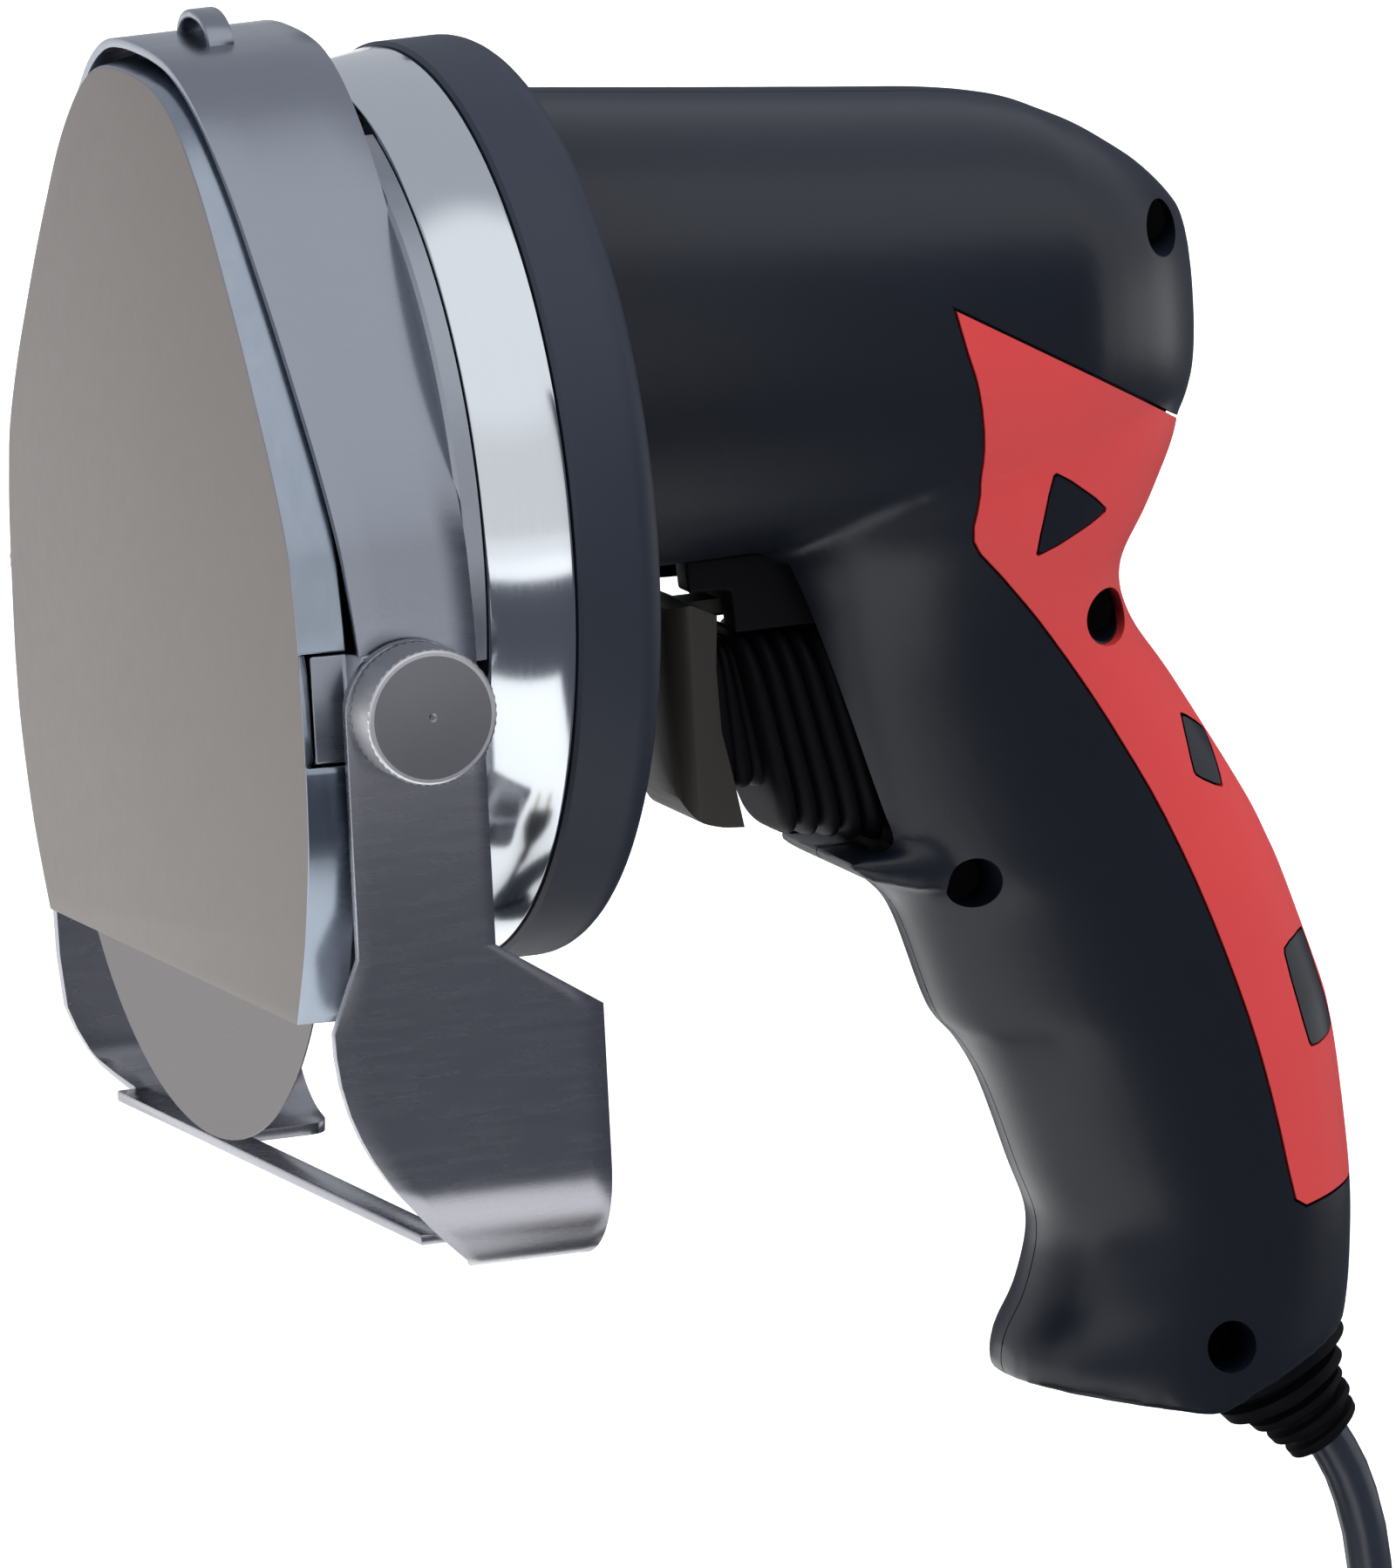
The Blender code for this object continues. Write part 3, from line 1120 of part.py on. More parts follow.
def base_planes():
    """The two planes that end the grip: its flat base and the corner where the cord leaves."""
    lip = Vector((0.0, handle_y(BASE_LIP_SHARE), grip_z(BASE_LIP_DROP_SHARE)))
    corner = Vector((0.0, handle_y(BASE_CORNER_SHARE), grip_z(BASE_CORNER_DROP_SHARE)))
    slope = (corner - lip).normalized()
    flat = Vector((0.0, math.sin(BASE_LEAN), -math.cos(BASE_LEAN)))
    return [(corner, Vector((0.0, slope.z, -slope.y))), (corner, flat)]


def trim_base(obj, inset):
    """Cuts the grip off at its base planes and closes it again."""
    shape = bmesh.new()
    shape.from_mesh(obj.data)
    for point, normal in base_planes():
        cutting = bmesh.ops.bisect_plane(
            shape, geom=[*shape.verts, *shape.edges, *shape.faces], plane_co=point - normal * inset,
            plane_no=normal, clear_outer=True,
        )["geom_cut"]
        rim = [item for item in cutting if isinstance(item, bmesh.types.BMEdge)]
        bmesh.ops.edgeloop_fill(shape, edges=rim)
    bmesh.ops.recalc_face_normals(shape, faces=shape.faces)
    shape.to_mesh(obj.data)
    shape.free()


def body(inset):
    """Barrel and grip as one solid."""
    return join(barrel(inset, BARREL_SIDES), grip(inset, GRIP_SIDES, 1))


def cavity():
    """The room inside the housing, with fewer faces than its outside."""
    return join(barrel(WALL, CAVITY_BARREL_SIDES), grip(WALL, CAVITY_GRIP_SIDES, 2))


def inlay_outline(grow):
    shares = INLAY_FRONT_SHARES + INLAY_FOOT_SHARES + INLAY_TOP_SHARES
    outline = [(handle_y(along), grip_z(down)) for along, down in shares]
    return offset_outline(outline, grow)


def window_prisms(grow):
    """The three plain islands that show through the inlay."""
    reach = BARREL_RADIUS + 2 * OVERRUN
    made = []
    for shares in (TRIANGLE_SHARES, DIAMOND_SHARES, RECTANGLE_SHARES):
        outline = [(handle_y(along), grip_z(down)) for along, down in shares]
        made.append(prism("window", offset_outline(outline, grow), "X", -reach, reach))
    return made


def screw_places():
    along, rise = TOP_SCREW_SHARES
    top = (handle_y(along), MOTOR_HEIGHT + BARREL_RADIUS * rise)
    return [top, *[(handle_y(along), grip_z(down)) for along, down in SCREW_SHARES]]


def front_line(height, back):
    """A point behind the grip's slanting upper front, at a height."""
    share = (GRIP_TOP - height) / GRIP_LENGTH
    return handle_y(table_value(GRIP_SHARES, share, 1)) + back


def pocket_prism(name, half_width, depth, top, bottom):
    """A block along the grip's slanting upper front, from outside it to a depth behind it."""
    heights = [top + (-bottom - top) * step / 3 for step in range(4)]
    outside = [(front_line(height, -BARREL_RADIUS / 3), height) for height in heights]
    floor = [(front_line(height, depth), height) for height in heights]
    return prism(name, outside + floor[::-1], "X", -half_width, half_width)


def add_bosses(shell):
    """Screw bosses, the trigger pin's bosses and the motor cradles, each clipped to the housing's inside."""
    reach = BARREL_RADIUS
    for y, z in screw_places():
        add_clipped(shell, rod("boss", SCREW_BOSS_RADIUS, -reach, reach, (0.0, y, z), "X", SMALL_STEPS))
    add_clipped(shell, rod("boss", PIN_BOSS_RADIUS, -reach, reach, (0.0, PIVOT_Y, PIVOT_Z), "X", SMALL_STEPS))
    add_clipped(shell, pocket_prism(
        "pocket", POCKET_HALF_WIDTH + POCKET_FLOOR, POCKET_DEPTH + POCKET_FLOOR,
        POCKET_TOP + POCKET_FLOOR, POCKET_BOTTOM + 3 * POCKET_FLOOR,
    ))
    for start, bore in cradle_places():
        low = (-reach, start, MOTOR_HEIGHT - CRADLE_REACH)
        high = (reach, start + CRADLE_THICKNESS, MOTOR_HEIGHT + BARREL_RADIUS)
        cradle = block("cradle", low, high)
        cut(cradle, rod(
            "bore", bore + RUNNING_GAP, start - OVERRUN, start + CRADLE_THICKNESS + OVERRUN,
            (0.0, 0.0, MOTOR_HEIGHT),
        ))
        add_clipped(shell, cradle)


def cradle_places():
    """Where each cradle starts and the radius it holds."""
    return [
        (STACK_FRONT + (STACK_LENGTH - CRADLE_THICKNESS) / 2, STACK_RADIUS),
        (BRUSH_RING_FRONT + (BRUSH_RING_WIDTH - CRADLE_THICKNESS) / 2, BRUSH_RING_RADIUS),
        (MOTOR_REAR_BEARING_FRONT + (MOTOR_BEARING_WIDTH - CRADLE_THICKNESS) / 2, MOTOR_BEARING_RADIUS),
    ]


def add_clipped(shell, piece):
    """Adds a piece to the shell, kept inside the housing's outer surface."""
    join(shell, keep_inside(piece, body(WALL / 2)))


def drill_housing(shell):
    """Screw wells, the pin's bore, the boot's pocket, the trigger's window and the cord's bore."""
    reach = BARREL_RADIUS + OVERRUN
    for y, z in screw_places():
        cut(shell, rod("well", SCREW_WELL_RADIUS, SCREW_SEAT, reach, (0.0, y, z), "X", SMALL_STEPS))
        deep = SCREW_SEAT + SEAT_GAP - SCREW_LENGTH - SEAT_GAP
        cut(shell, rod("bore", SCREW_RADIUS + SEAT_GAP, deep, SCREW_SEAT + OVERRUN, (0.0, y, z), "X", SMALL_STEPS))
    pin = PIN_RADIUS + SEAT_GAP
    half = PIN_HALF_LENGTH + SEAT_GAP
    cut(shell, rod("bore", pin, -half, half, (0.0, PIVOT_Y, PIVOT_Z), "X", SMALL_STEPS))
    cut(shell, pocket_prism("pocket", POCKET_HALF_WIDTH, POCKET_DEPTH, POCKET_TOP, POCKET_BOTTOM))
    window_rear = front_line(-WINDOW_BOTTOM, POCKET_DEPTH + POCKET_FLOOR) + OVERRUN
    cut(shell, block(
        "window", (-WINDOW_HALF_WIDTH, TRIGGER_FRONT, -WINDOW_BOTTOM),
        (WINDOW_HALF_WIDTH, window_rear, WINDOW_TOP),
    ))
    cut(shell, relief_throat())


def cut_inlay_recess(shell):
    """The shallow recess for the red inlay, with the three islands left standing."""
    recess = prism("recess", inlay_outline(0.0), "X", -BARREL_RADIUS - OVERRUN, BARREL_RADIUS + OVERRUN)
    cut(recess, *window_prisms(0.0))
    cut(recess, body(INLAY_DEPTH))
    cut(shell, recess)


def copy_of(obj, name):
    made = obj.copy()
    made.data = obj.data.copy()
    made.name = name
    bpy.context.scene.collection.objects.link(made)
    return made


def half_of(whole, name, side):
    """A closed copy of one side of a solid, half the split gap off the middle plane."""
    half = copy_of(whole, name)
    shape = bmesh.new()
    shape.from_mesh(half.data)
    cutting = bmesh.ops.bisect_plane(
        shape, geom=[*shape.verts, *shape.edges, *shape.faces], dist=MERGE,
        plane_co=(side * SPLIT_GAP / 2, 0.0, 0.0), plane_no=(-side, 0.0, 0.0), clear_outer=True,
    )["geom_cut"]
    rim = [item for item in cutting if isinstance(item, bmesh.types.BMEdge)]
    bmesh.ops.triangle_fill(shape, edges=rim, use_beauty=True, use_dissolve=True, normal=(-side, 0.0, 0.0))
    bmesh.ops.recalc_face_normals(shape, faces=shape.faces)
    shape.to_mesh(half.data)
    shape.free()
    return half


def make_housing():
    """The two halves of the housing, split down the middle plane."""
    shell = body(0.0)
    shell = join(shell, rod(
        "flange", BARREL_FLANGE_RADIUS, BARREL_START, FLANGE_PLACE_REAR, (0.0, 0.0, MOTOR_HEIGHT),
    ))
    cut(shell, cavity())
    add_bosses(shell)
    drill_housing(shell)
    cut_inlay_recess(shell)
    for name, side in (("housing_right", 1), ("housing_left", -1)):
        half = half_of(shell, name, side)
        finish(half, "black_plastic", 40, (0.0, COLLAR_REAR, MOTOR_HEIGHT))
    bpy.data.objects.remove(shell, do_unlink=True)


def make_inlays():
    """The red rubber inlay, in a right and a left half."""
    inlay = prism("inlay", inlay_outline(-INLAY_GROOVE), "X", -BARREL_RADIUS, BARREL_RADIUS)
    inlay = keep_inside(inlay, body(0.0))
    cut(inlay, body(INLAY_THICKNESS))
    cut(inlay, *window_prisms(WINDOW_GROOVE))
    for y, z in screw_places():
        radius = SCREW_WELL_RADIUS + WINDOW_GROOVE
        cut(inlay, rod("well", radius, 0.0, BARREL_RADIUS, (0.0, y, z), "X", SMALL_STEPS))
    for name, side in (("soft_grip_right", 1), ("soft_grip_left", -1)):
        half = half_of(inlay, name, side)
        finish(half, "red_rubber", 40, (0.0, handle_y(1.0), 0.0))
    bpy.data.objects.remove(inlay, do_unlink=True)


def make_housing_screws():
    seat = SCREW_SEAT + SEAT_GAP
    end = seat - SCREW_LENGTH
    head = seat + SCREW_HEAD
    profile = [
        (0.0, end), (SCREW_RADIUS, end), (SCREW_RADIUS, seat), (SCREW_HEAD_RADIUS, seat),
        (SCREW_HEAD_RADIUS, head), (0.0, head),
    ]
    for number, (y, z) in enumerate(screw_places(), 1):
        screw = turned(f"housing_screw_{number}", profile, (0.0, y, z), "X", SMALL_STEPS)
        finish(screw, "turned_steel", origin=(0.0, y, z))


# Trigger, boot and switch


def trigger_side(shares, inset=0.0):
    depth = TRIGGER_CAP_DEPTH
    return [
        (TRIGGER_FRONT + inset + depth * along, TRIGGER_CAP_TOP - TRIGGER_CAP_HEIGHT * down)
        for along, down in shares
    ]


def make_trigger():
    """The trigger: a hollow cap, an arm up to its pivot and a finger through the boot to the switch."""
    outline = smooth_points(trigger_side(TRIGGER_FRONT_SHARES), 2) + trigger_side(TRIGGER_BACK_SHARES)
    trigger = prism("trigger", outline, "X", -TRIGGER_HALF_WIDTH, TRIGGER_HALF_WIDTH)
    soften(trigger, TRIGGER_ROUNDING, 50, 1)
    rear = TRIGGER_FRONT + TRIGGER_CAP_DEPTH
    top = TRIGGER_CAP_TOP - TRIGGER_WALL
    front = smooth_points(trigger_side(TRIGGER_FRONT_SHARES[:-2], TRIGGER_WALL), 2)
    inside = [(y, min(z, top)) for y, z in front] + [(rear + OVERRUN, front[-1][1]), (rear + OVERRUN, top)]
    half = TRIGGER_HALF_WIDTH - TRIGGER_WALL
    cut(trigger, prism("hollow", inside, "X", -half, half))
    low = BOOT_TOP + 4 * RUNNING_GAP
    inner = TRIGGER_FRONT + TRIGGER_WALL / 2
    arm = [
        (inner + TRIGGER_WALL, TRIGGER_CAP_TOP - TRIGGER_WALL / 2), (inner + TRIGGER_WALL, low),
        (PIVOT_Y - 2 * PIN_BOSS_RADIUS, low), (PIVOT_Y, PIVOT_Z - PIN_BOSS_RADIUS + RUNNING_GAP),
        (PIVOT_Y, PIVOT_Z), (PIVOT_Y - PIN_BOSS_RADIUS, PIVOT_Z),
        (rear, TRIGGER_CAP_TOP - TRIGGER_WALL / 2),
    ]
    width = TRIGGER_ARM_HALF_WIDTH
    join(trigger, prism("arm", arm, "X", -width, width))
    push = SWITCH_HEIGHT_CENTRE
    join(trigger, block(
        "finger", (-PLUNGER_HALF_WIDTH, inner, push - PLUNGER_HALF_HEIGHT),
        (PLUNGER_HALF_WIDTH, switch_front() - PLUNGER_OUT - SEAT_GAP, push + PLUNGER_HALF_HEIGHT),
    ))
    eye = PIN_BOSS_RADIUS - RUNNING_GAP
    join(trigger, rod("eye", eye, -width, width, (0.0, PIVOT_Y, PIVOT_Z), "X", 14))
    cut(trigger, rod("bore", PIN_RADIUS + SEAT_GAP, -half, half, (0.0, PIVOT_Y, PIVOT_Z), "X", SMALL_STEPS))
    return finish(trigger, "grey_trigger", 40, (0.0, PIVOT_Y, PIVOT_Z))


def boot_section(share, grow, neck):
    """One ring of the boot, on a plane that swings from upright to the slant of its pocket."""
    front = TRIGGER_FRONT + TRIGGER_WALL + BOOT_FRONT_GAP
    width = (BOOT_NECK_HALF_WIDTH if neck else BOOT_HALF_WIDTH) + grow
    top = (BOOT_NECK_TOP if neck else BOOT_TOP) + grow
    bottom = -(BOOT_NECK_BOTTOM if neck else BOOT_BOTTOM) - grow
    middle = (top + bottom) / 2
    points = []
    for x, dz in oval(width, (top - bottom) / 2, 4, 12):
        z = middle + dz
        rear = front_line(z, POCKET_DEPTH - SEAT_GAP)
        points.append((x, front + share * (rear - front), z))
    return points


def make_trigger_boot():
    """The rubber bellows: a narrow neck that the trigger slides over, then deep folds into the pocket."""
    rings = [boot_section(0.0, 0.0, True), boot_section(BOOT_NECK_SHARE, 0.0, True)]
    step = (1 - BOOT_NECK_SHARE) / BOOT_FOLDS
    for fold in range(BOOT_FOLDS):
        start = BOOT_NECK_SHARE + step * fold
        rings.append(boot_section(start + step * 0.08, -BOOT_FOLD_DEPTH, False))
        rings.append(boot_section(start + step * 0.40, 0.0, False))
        rings.append(boot_section(start + step * 0.66, 0.0, False))
    rings.append(boot_section(1.0, 0.0, False))
    boot = loft("trigger_boot", rings)
    bore = block(
        "bore", (-BOOT_BORE_HALF_WIDTH, TRIGGER_FRONT, -BOOT_BORE_BOTTOM),
        (BOOT_BORE_HALF_WIDTH, PIVOT_Y + BARREL_RADIUS, BOOT_BORE_TOP),
    )
    cut(boot, bore)
    return finish(boot, "black_rubber", 30, (0.0, PIVOT_Y, 0.0))


def switch_front():
    """The switch's front face, behind the wall of the boot's pocket."""
    low = SWITCH_HEIGHT_CENTRE - SWITCH_HEIGHT / 2
    return front_line(low, POCKET_DEPTH + POCKET_FLOOR + SEAT_GAP)


def make_switch():
    """The switch behind the boot, with its sliding plunger and the pin of the trigger."""
    front = switch_front()
    rear = screw_places()[1][0] - SCREW_BOSS_RADIUS - SWITCH_TO_BOSS
    half = SWITCH_WIDTH / 2
    low = SWITCH_HEIGHT_CENTRE - SWITCH_HEIGHT / 2
    switch = block("switch_body", (-half, front, low), (half, rear, low + SWITCH_HEIGHT))
    gap = SEAT_GAP
    middle = SWITCH_HEIGHT_CENTRE
    deep = front + PLUNGER_IN + PLUNGER_TRAVEL + gap
    cut(switch, block(
        "pocket", (-PLUNGER_HALF_WIDTH - gap, front - OVERRUN, middle - PLUNGER_HALF_HEIGHT - gap),
        (PLUNGER_HALF_WIDTH + gap, deep, middle + PLUNGER_HALF_HEIGHT + gap),
    ))
    finish(switch, "black_plastic", 40, (0.0, front, middle))
    plunger = block(
        "switch_plunger", (-PLUNGER_HALF_WIDTH, front - PLUNGER_OUT, middle - PLUNGER_HALF_HEIGHT),
        (PLUNGER_HALF_WIDTH, front + PLUNGER_IN, middle + PLUNGER_HALF_HEIGHT),
    )
    finish(plunger, "grey_trigger", 40, (0.0, front, middle))
    pin = rod("trigger_pin", PIN_RADIUS, -PIN_HALF_LENGTH, PIN_HALF_LENGTH, (0.0, PIVOT_Y, PIVOT_Z), "X", 12)
    finish(pin, "turned_steel", origin=(0.0, PIVOT_Y, PIVOT_Z))


# Thickness guide and thumb screws


def guide_path():
    """The guide's sheet from the top of an arm to its curled foot: outer x, z, outward direction."""
    top = THUMB_Z + THUMB_RADIUS
    bend_top = -GUIDE_FOOT + GUIDE_BEND_RADIUS
    heights = [
        top, top - THUMB_RADIUS / 3, THUMB_Z, 0.0, -GUIDE_WING_TOP,
        -(GUIDE_WING_TOP + GUIDE_WING_FULL) / 2, -GUIDE_WING_FULL, bend_top,
    ]
    stations = [(GUIDE_OUTSIDE, z, 1.0, 0.0) for z in heights]
    for step in range(1, 7):
        angle = math.pi / 2 * step / 6
        x = GUIDE_OUTSIDE - GUIDE_BEND_RADIUS * (1 - math.cos(angle))
        z = bend_top - GUIDE_BEND_RADIUS * math.sin(angle)
        stations.append((x, z, math.cos(angle), -math.sin(angle)))
    return stations


def guide_edges(z):
    """The front and rear edge of the guide's sheet at a height."""
    top = THUMB_Z + THUMB_RADIUS
    middle = (GUIDE_ARM_FRONT + GUIDE_ARM_REAR) / 2
    half = (GUIDE_ARM_REAR - GUIDE_ARM_FRONT) / 2
    if z > THUMB_Z:
        part = math.sqrt(max(0.12, 1 - ((z - THUMB_Z) / (top - THUMB_Z)) ** 2))
        return middle - half * part, middle + half * part
    if z > -GUIDE_WING_TOP:
        return GUIDE_ARM_FRONT, GUIDE_ARM_REAR
    if z > -GUIDE_WING_FULL:
        part = (-z - GUIDE_WING_TOP) / (GUIDE_WING_FULL - GUIDE_WING_TOP)
        front = GUIDE_ARM_FRONT + part * (GUIDE_WING_FRONT - GUIDE_ARM_FRONT)
        return front, GUIDE_ARM_REAR + part * (GUIDE_WING_REAR - GUIDE_ARM_REAR)
    part = (-z - GUIDE_WING_FULL) / (GUIDE_FOOT - GUIDE_WING_FULL)
    return GUIDE_WING_FRONT + part ** 2.2 * (GUIDE_TIP_FRONT - GUIDE_WING_FRONT), GUIDE_WING_REAR


def guide_wing(side):
    """One arm of the guide with its wing, as a bent sheet."""
    rings = []
    for x, z, nx, nz in guide_path():
        front, rear = guide_edges(z)
        inner_x = x - nx * GUIDE_SHEET
        inner_z = z - nz * GUIDE_SHEET
        rings.append([
            (side * x, front, z), (side * x, rear, z), (side * inner_x, rear, inner_z),
            (side * inner_x, front, inner_z),
        ])
    return loft("wing", rings)


def make_depth_guide():
    """The U-shaped guide: two winged arms, the bar between them and a slot in each arm."""
    guide = guide_wing(1)
    guide.name = "depth_guide"
    reach = GUIDE_OUTSIDE - GUIDE_SHEET - GUIDE_BEND_RADIUS / 8
    half = GUIDE_SHEET / 2
    bar = block(
        "bar", (-reach, GUIDE_BAR_FRONT, -GUIDE_BAR_HEIGHT - half),
        (reach, GUIDE_BAR_FRONT + GUIDE_BAR_DEPTH, -GUIDE_BAR_HEIGHT + half),
    )
    join(guide, bar, guide_wing(-1))
    radius = THUMB_SHANK_RADIUS + SEAT_GAP
    slot = [
        (THUMB_Y + radius * math.sin(a) * -1, THUMB_Z + radius * math.cos(a)) for a in half_turn(8)
    ] + [
        (THUMB_Y + GUIDE_TRAVEL + radius * math.sin(a), THUMB_Z - radius * math.cos(a)) for a in half_turn(8)
    ]
    cut(guide, prism("slot", slot, "X", -GUIDE_OUTSIDE - OVERRUN, GUIDE_OUTSIDE + OVERRUN))
    return finish(guide, "satin_band", 30, (0.0, THUMB_Y, THUMB_Z))


def make_thumb_screws():
    """Two thumb screws that clamp the guide to the head."""
    face = GUIDE_OUTSIDE + SEAT_GAP
    end = face + THUMB_DEPTH
    tip = GUIDE_INSIDE - THUMB_SHANK_REACH
    profile = [
        (0.0, tip), (THUMB_SHANK_RADIUS, tip), (THUMB_SHANK_RADIUS, face), (THUMB_RADIUS - THUMB_RIM, face),
        (THUMB_RADIUS, face + THUMB_RIM), (THUMB_RADIUS, end - THUMB_RIM), (THUMB_RADIUS - THUMB_RIM, end),
        (0.0, end - THUMB_RECESS),
    ]
    for name, side in (("thumb_screw_right", 1), ("thumb_screw_left", -1)):
        spun = [(radius, side * reach) for radius, reach in profile]
        screw = turned(name, spun, (0.0, THUMB_Y, THUMB_Z), "X", 20)
        finish(screw, "turned_steel", origin=(0.0, THUMB_Y, THUMB_Z))


# Strain relief and cord


def relief_root():
    return Vector((0.0, handle_y(RELIEF_ROOT_SHARE), grip_z(RELIEF_ROOT_DROP_SHARE)))


def relief_lean(share):
    """The lean of the strain relief's axis, on a parabola through its three leans."""
    root, middle, tip = RELIEF_LEANS
    t = max(0.0, share)
    return root * (1 - t) * (1 - 2 * t) + middle * 4 * t * (1 - t) + tip * t * (2 * t - 1)


def lean_direction(lean):
    return Vector((0.0, math.sin(lean), -math.cos(lean)))


def relief_frame(share):
    """A point on the strain relief's curved axis, and the lean of the axis there."""
    point = relief_root()
    steps = 12
    free = max(0.0, share)
    for step in range(steps):
        part = free * (step + 0.5) / steps
        point += lean_direction(relief_lean(part)) * RELIEF_LENGTH * free / steps
    if share < 0:
        point += lean_direction(RELIEF_LEANS[0]) * RELIEF_LENGTH * share
    return point, relief_lean(share)


def relief_ring(share, radius, count, lean=None):
    """A ring round the strain relief's axis, square to the axis unless it is given a lean."""
    point, own_lean = relief_frame(share)
    lean = own_lean if lean is None else lean
    side = Vector((0.0, math.cos(lean), math.sin(lean)))
    ring = []
    for index in range(count):
        angle = 2 * math.pi * index / count
        ring.append(tuple(point + Vector((1.0, 0.0, 0.0)) * radius * math.cos(angle) + side * radius * math.sin(angle)))
    return ring


def flange_ring(share, grow, reach):
    """An outer ring of the strain relief: the first lies on the handle's base, the last at the tip's slant."""
    lean = BASE_LEAN + (RELIEF_TIP_FACE_LEAN - BASE_LEAN) * max(0.0, share)
    return relief_ring(share, RELIEF_FLANGE_RADIUS * reach + grow, RELIEF_SIDES, lean)


def relief_throat():
    """The handle's hole for the neck of the strain relief."""
    over = OVERRUN / RELIEF_LENGTH
    neck = RELIEF_SHARES[:4]
    rows = [(neck[0][0] - over, neck[0][1]), *neck, (2 * over, neck[-1][1])]
    return loft("throat", [flange_ring(share, SEAT_GAP, reach) for share, reach in rows])


def make_strain_relief():
    """The ribbed rubber sleeve round the cord where it leaves the grip, with the cord's bore."""
    relief = loft("strain_relief", [flange_ring(share, 0.0, reach) for share, reach in RELIEF_SHARES])
    bore = CORD_RADIUS + SEAT_GAP
    over = OVERRUN / RELIEF_LENGTH
    first = RELIEF_SHARES[0][0]
    shares = [first - over, 0.0, 0.25, 0.5, 0.75, 1.0, 1.0 + over]
    cut(relief, loft("bore", [relief_ring(share, bore, 10) for share in shares]))
    return finish(relief, "black_rubber", 30, tuple(relief_root()))


def make_cable_clamp():
    """The bar that grips the cord inside the base of the handle."""
    point, lean = relief_frame(RELIEF_SHARES[0][0])
    axis = lean_direction(lean)
    outward = Vector((0.0, math.cos(lean), math.sin(lean)))
    centre = point - axis * (CLAMP_WIDTH / 2 + SEAT_GAP) + outward * (CORD_RADIUS + SEAT_GAP + CLAMP_THICKNESS / 2)
    clamp = block(
        "cable_clamp", (-CLAMP_LENGTH / 2, -CLAMP_WIDTH / 2, -CLAMP_THICKNESS / 2),
        (CLAMP_LENGTH / 2, CLAMP_WIDTH / 2, CLAMP_THICKNESS / 2),
    )
    turn = Matrix.Rotation(lean - math.pi / 2, 4, "X")
    clamp.data.transform(Matrix.Translation(centre) @ turn)
    return finish(clamp, "black_plastic", 40, tuple(centre))


def coil_radius(turn):
    """The coil's radius after so many turns: in through the lower layer and out through the upper."""
    middle = COIL_TURNS + 0.25
    return COIL_INNER_RADIUS + COIL_PITCH * (abs(turn - middle) - 0.25)


def coil_height(turn):
    part = min(1.0, max(0.0, (turn - COIL_TURNS) / 0.5))
    return COIL_LOW + COIL_PITCH * (3 * part ** 2 - 2 * part ** 3)


def coil_centre():
    start = Vector((*COIL_START, 0.0))
    return start - Vector((math.cos(COIL_START_ANGLE), math.sin(COIL_START_ANGLE), 0.0)) * coil_radius(0)


def coil_point(turn):
    angle = COIL_START_ANGLE + 2 * math.pi * turn
    radius = coil_radius(turn)
    return coil_centre() + Vector((radius * math.cos(angle), radius * math.sin(angle), coil_height(turn)))


def coil_points():
    """The coil, and a straight tail that comes down to the plug."""
    count = int((2 * COIL_TURNS + 0.5) * COIL_POINTS)
    points = [coil_point(step / COIL_POINTS) for step in range(count + 1)]
    ahead = (points[-1] - points[-2]).normalized()
    end = points[-1]
    for step in range(1, 7):
        drop = min(1.0, step / 6 / TAIL_DROP_SHARE)
        height = end.z + (PLUG_HEIGHT - end.z) * (3 * drop ** 2 - 2 * drop ** 3)
        place = end + ahead * COIL_TAIL * step / 6
        points.append(Vector((place.x, place.y, height)))
    return points


def least_gap(points, radius, skip):
    """The least gap between parts of a tube that lie more than a few points apart."""
    least = math.inf
    for index, point in enumerate(points):
        for other in points[index + skip:]:
            least = min(least, (point - other).length - 2 * radius)
    return least


def make_cord():
    """The free run, the coil and its tie."""
    coil = coil_points()
    inside = [tuple(relief_frame(share)[0]) for share in (RELIEF_SHARES[0][0], 0.0, 0.25, 0.5, 0.75, 1.0)]
    fall = [(0.0, y, z) for y, z in CORD_FALL]
    run = inside + fall + bend_points(Vector(fall[-1]), coil)
    finish(tube("cord_stretch", run, CORD_RADIUS, CORD_STEPS), "black_rubber")
    finish(tube("cord_coil", coil, CORD_RADIUS, COIL_STEPS), "black_rubber")
    print(f"cord coil: least gap to itself {least_gap(coil, CORD_RADIUS, COIL_POINTS // 2) * 1000:.2f} mm")
    print(f"cord length {(path_length(coil) + path_length(run)) * 1000:.0f} mm")
    print(f"cord stretch: tightest bend {tightest_bend(run) * 1000:.1f} mm")
    make_coil_tie()


def bend_points(start, coil):
    """The bend from the hanging cord to the coil's first point, short of it by the seat gap."""
    back = (coil[0] - coil[1]).normalized()
    end = coil[0] + back * SEAT_GAP
    below = start - Vector((0.0, 0.0, BEND_HANDLE))
    before = end + back * BEND_HANDLE
    points = []
    for step in range(1, 11):
        t = step / 10
        u = 1 - t
        points.append(tuple(start * u ** 3 + below * 3 * u * u * t + before * 3 * u * t * t + end * t ** 3))
    return points


def path_length(points):
    return sum((Vector(a) - Vector(b)).length for a, b in zip(points, points[1:]))


def tightest_bend(points):
    """The least radius of a circle through three points in a row."""
    least = math.inf
    for a, b, c in zip(points, points[1:], points[2:]):
        one = Vector(b) - Vector(a)
        two = Vector(c) - Vector(b)
        turn = one.angle(two)
        if turn > 0:
            least = min(least, (one.length + two.length) / 2 / turn)
    return least


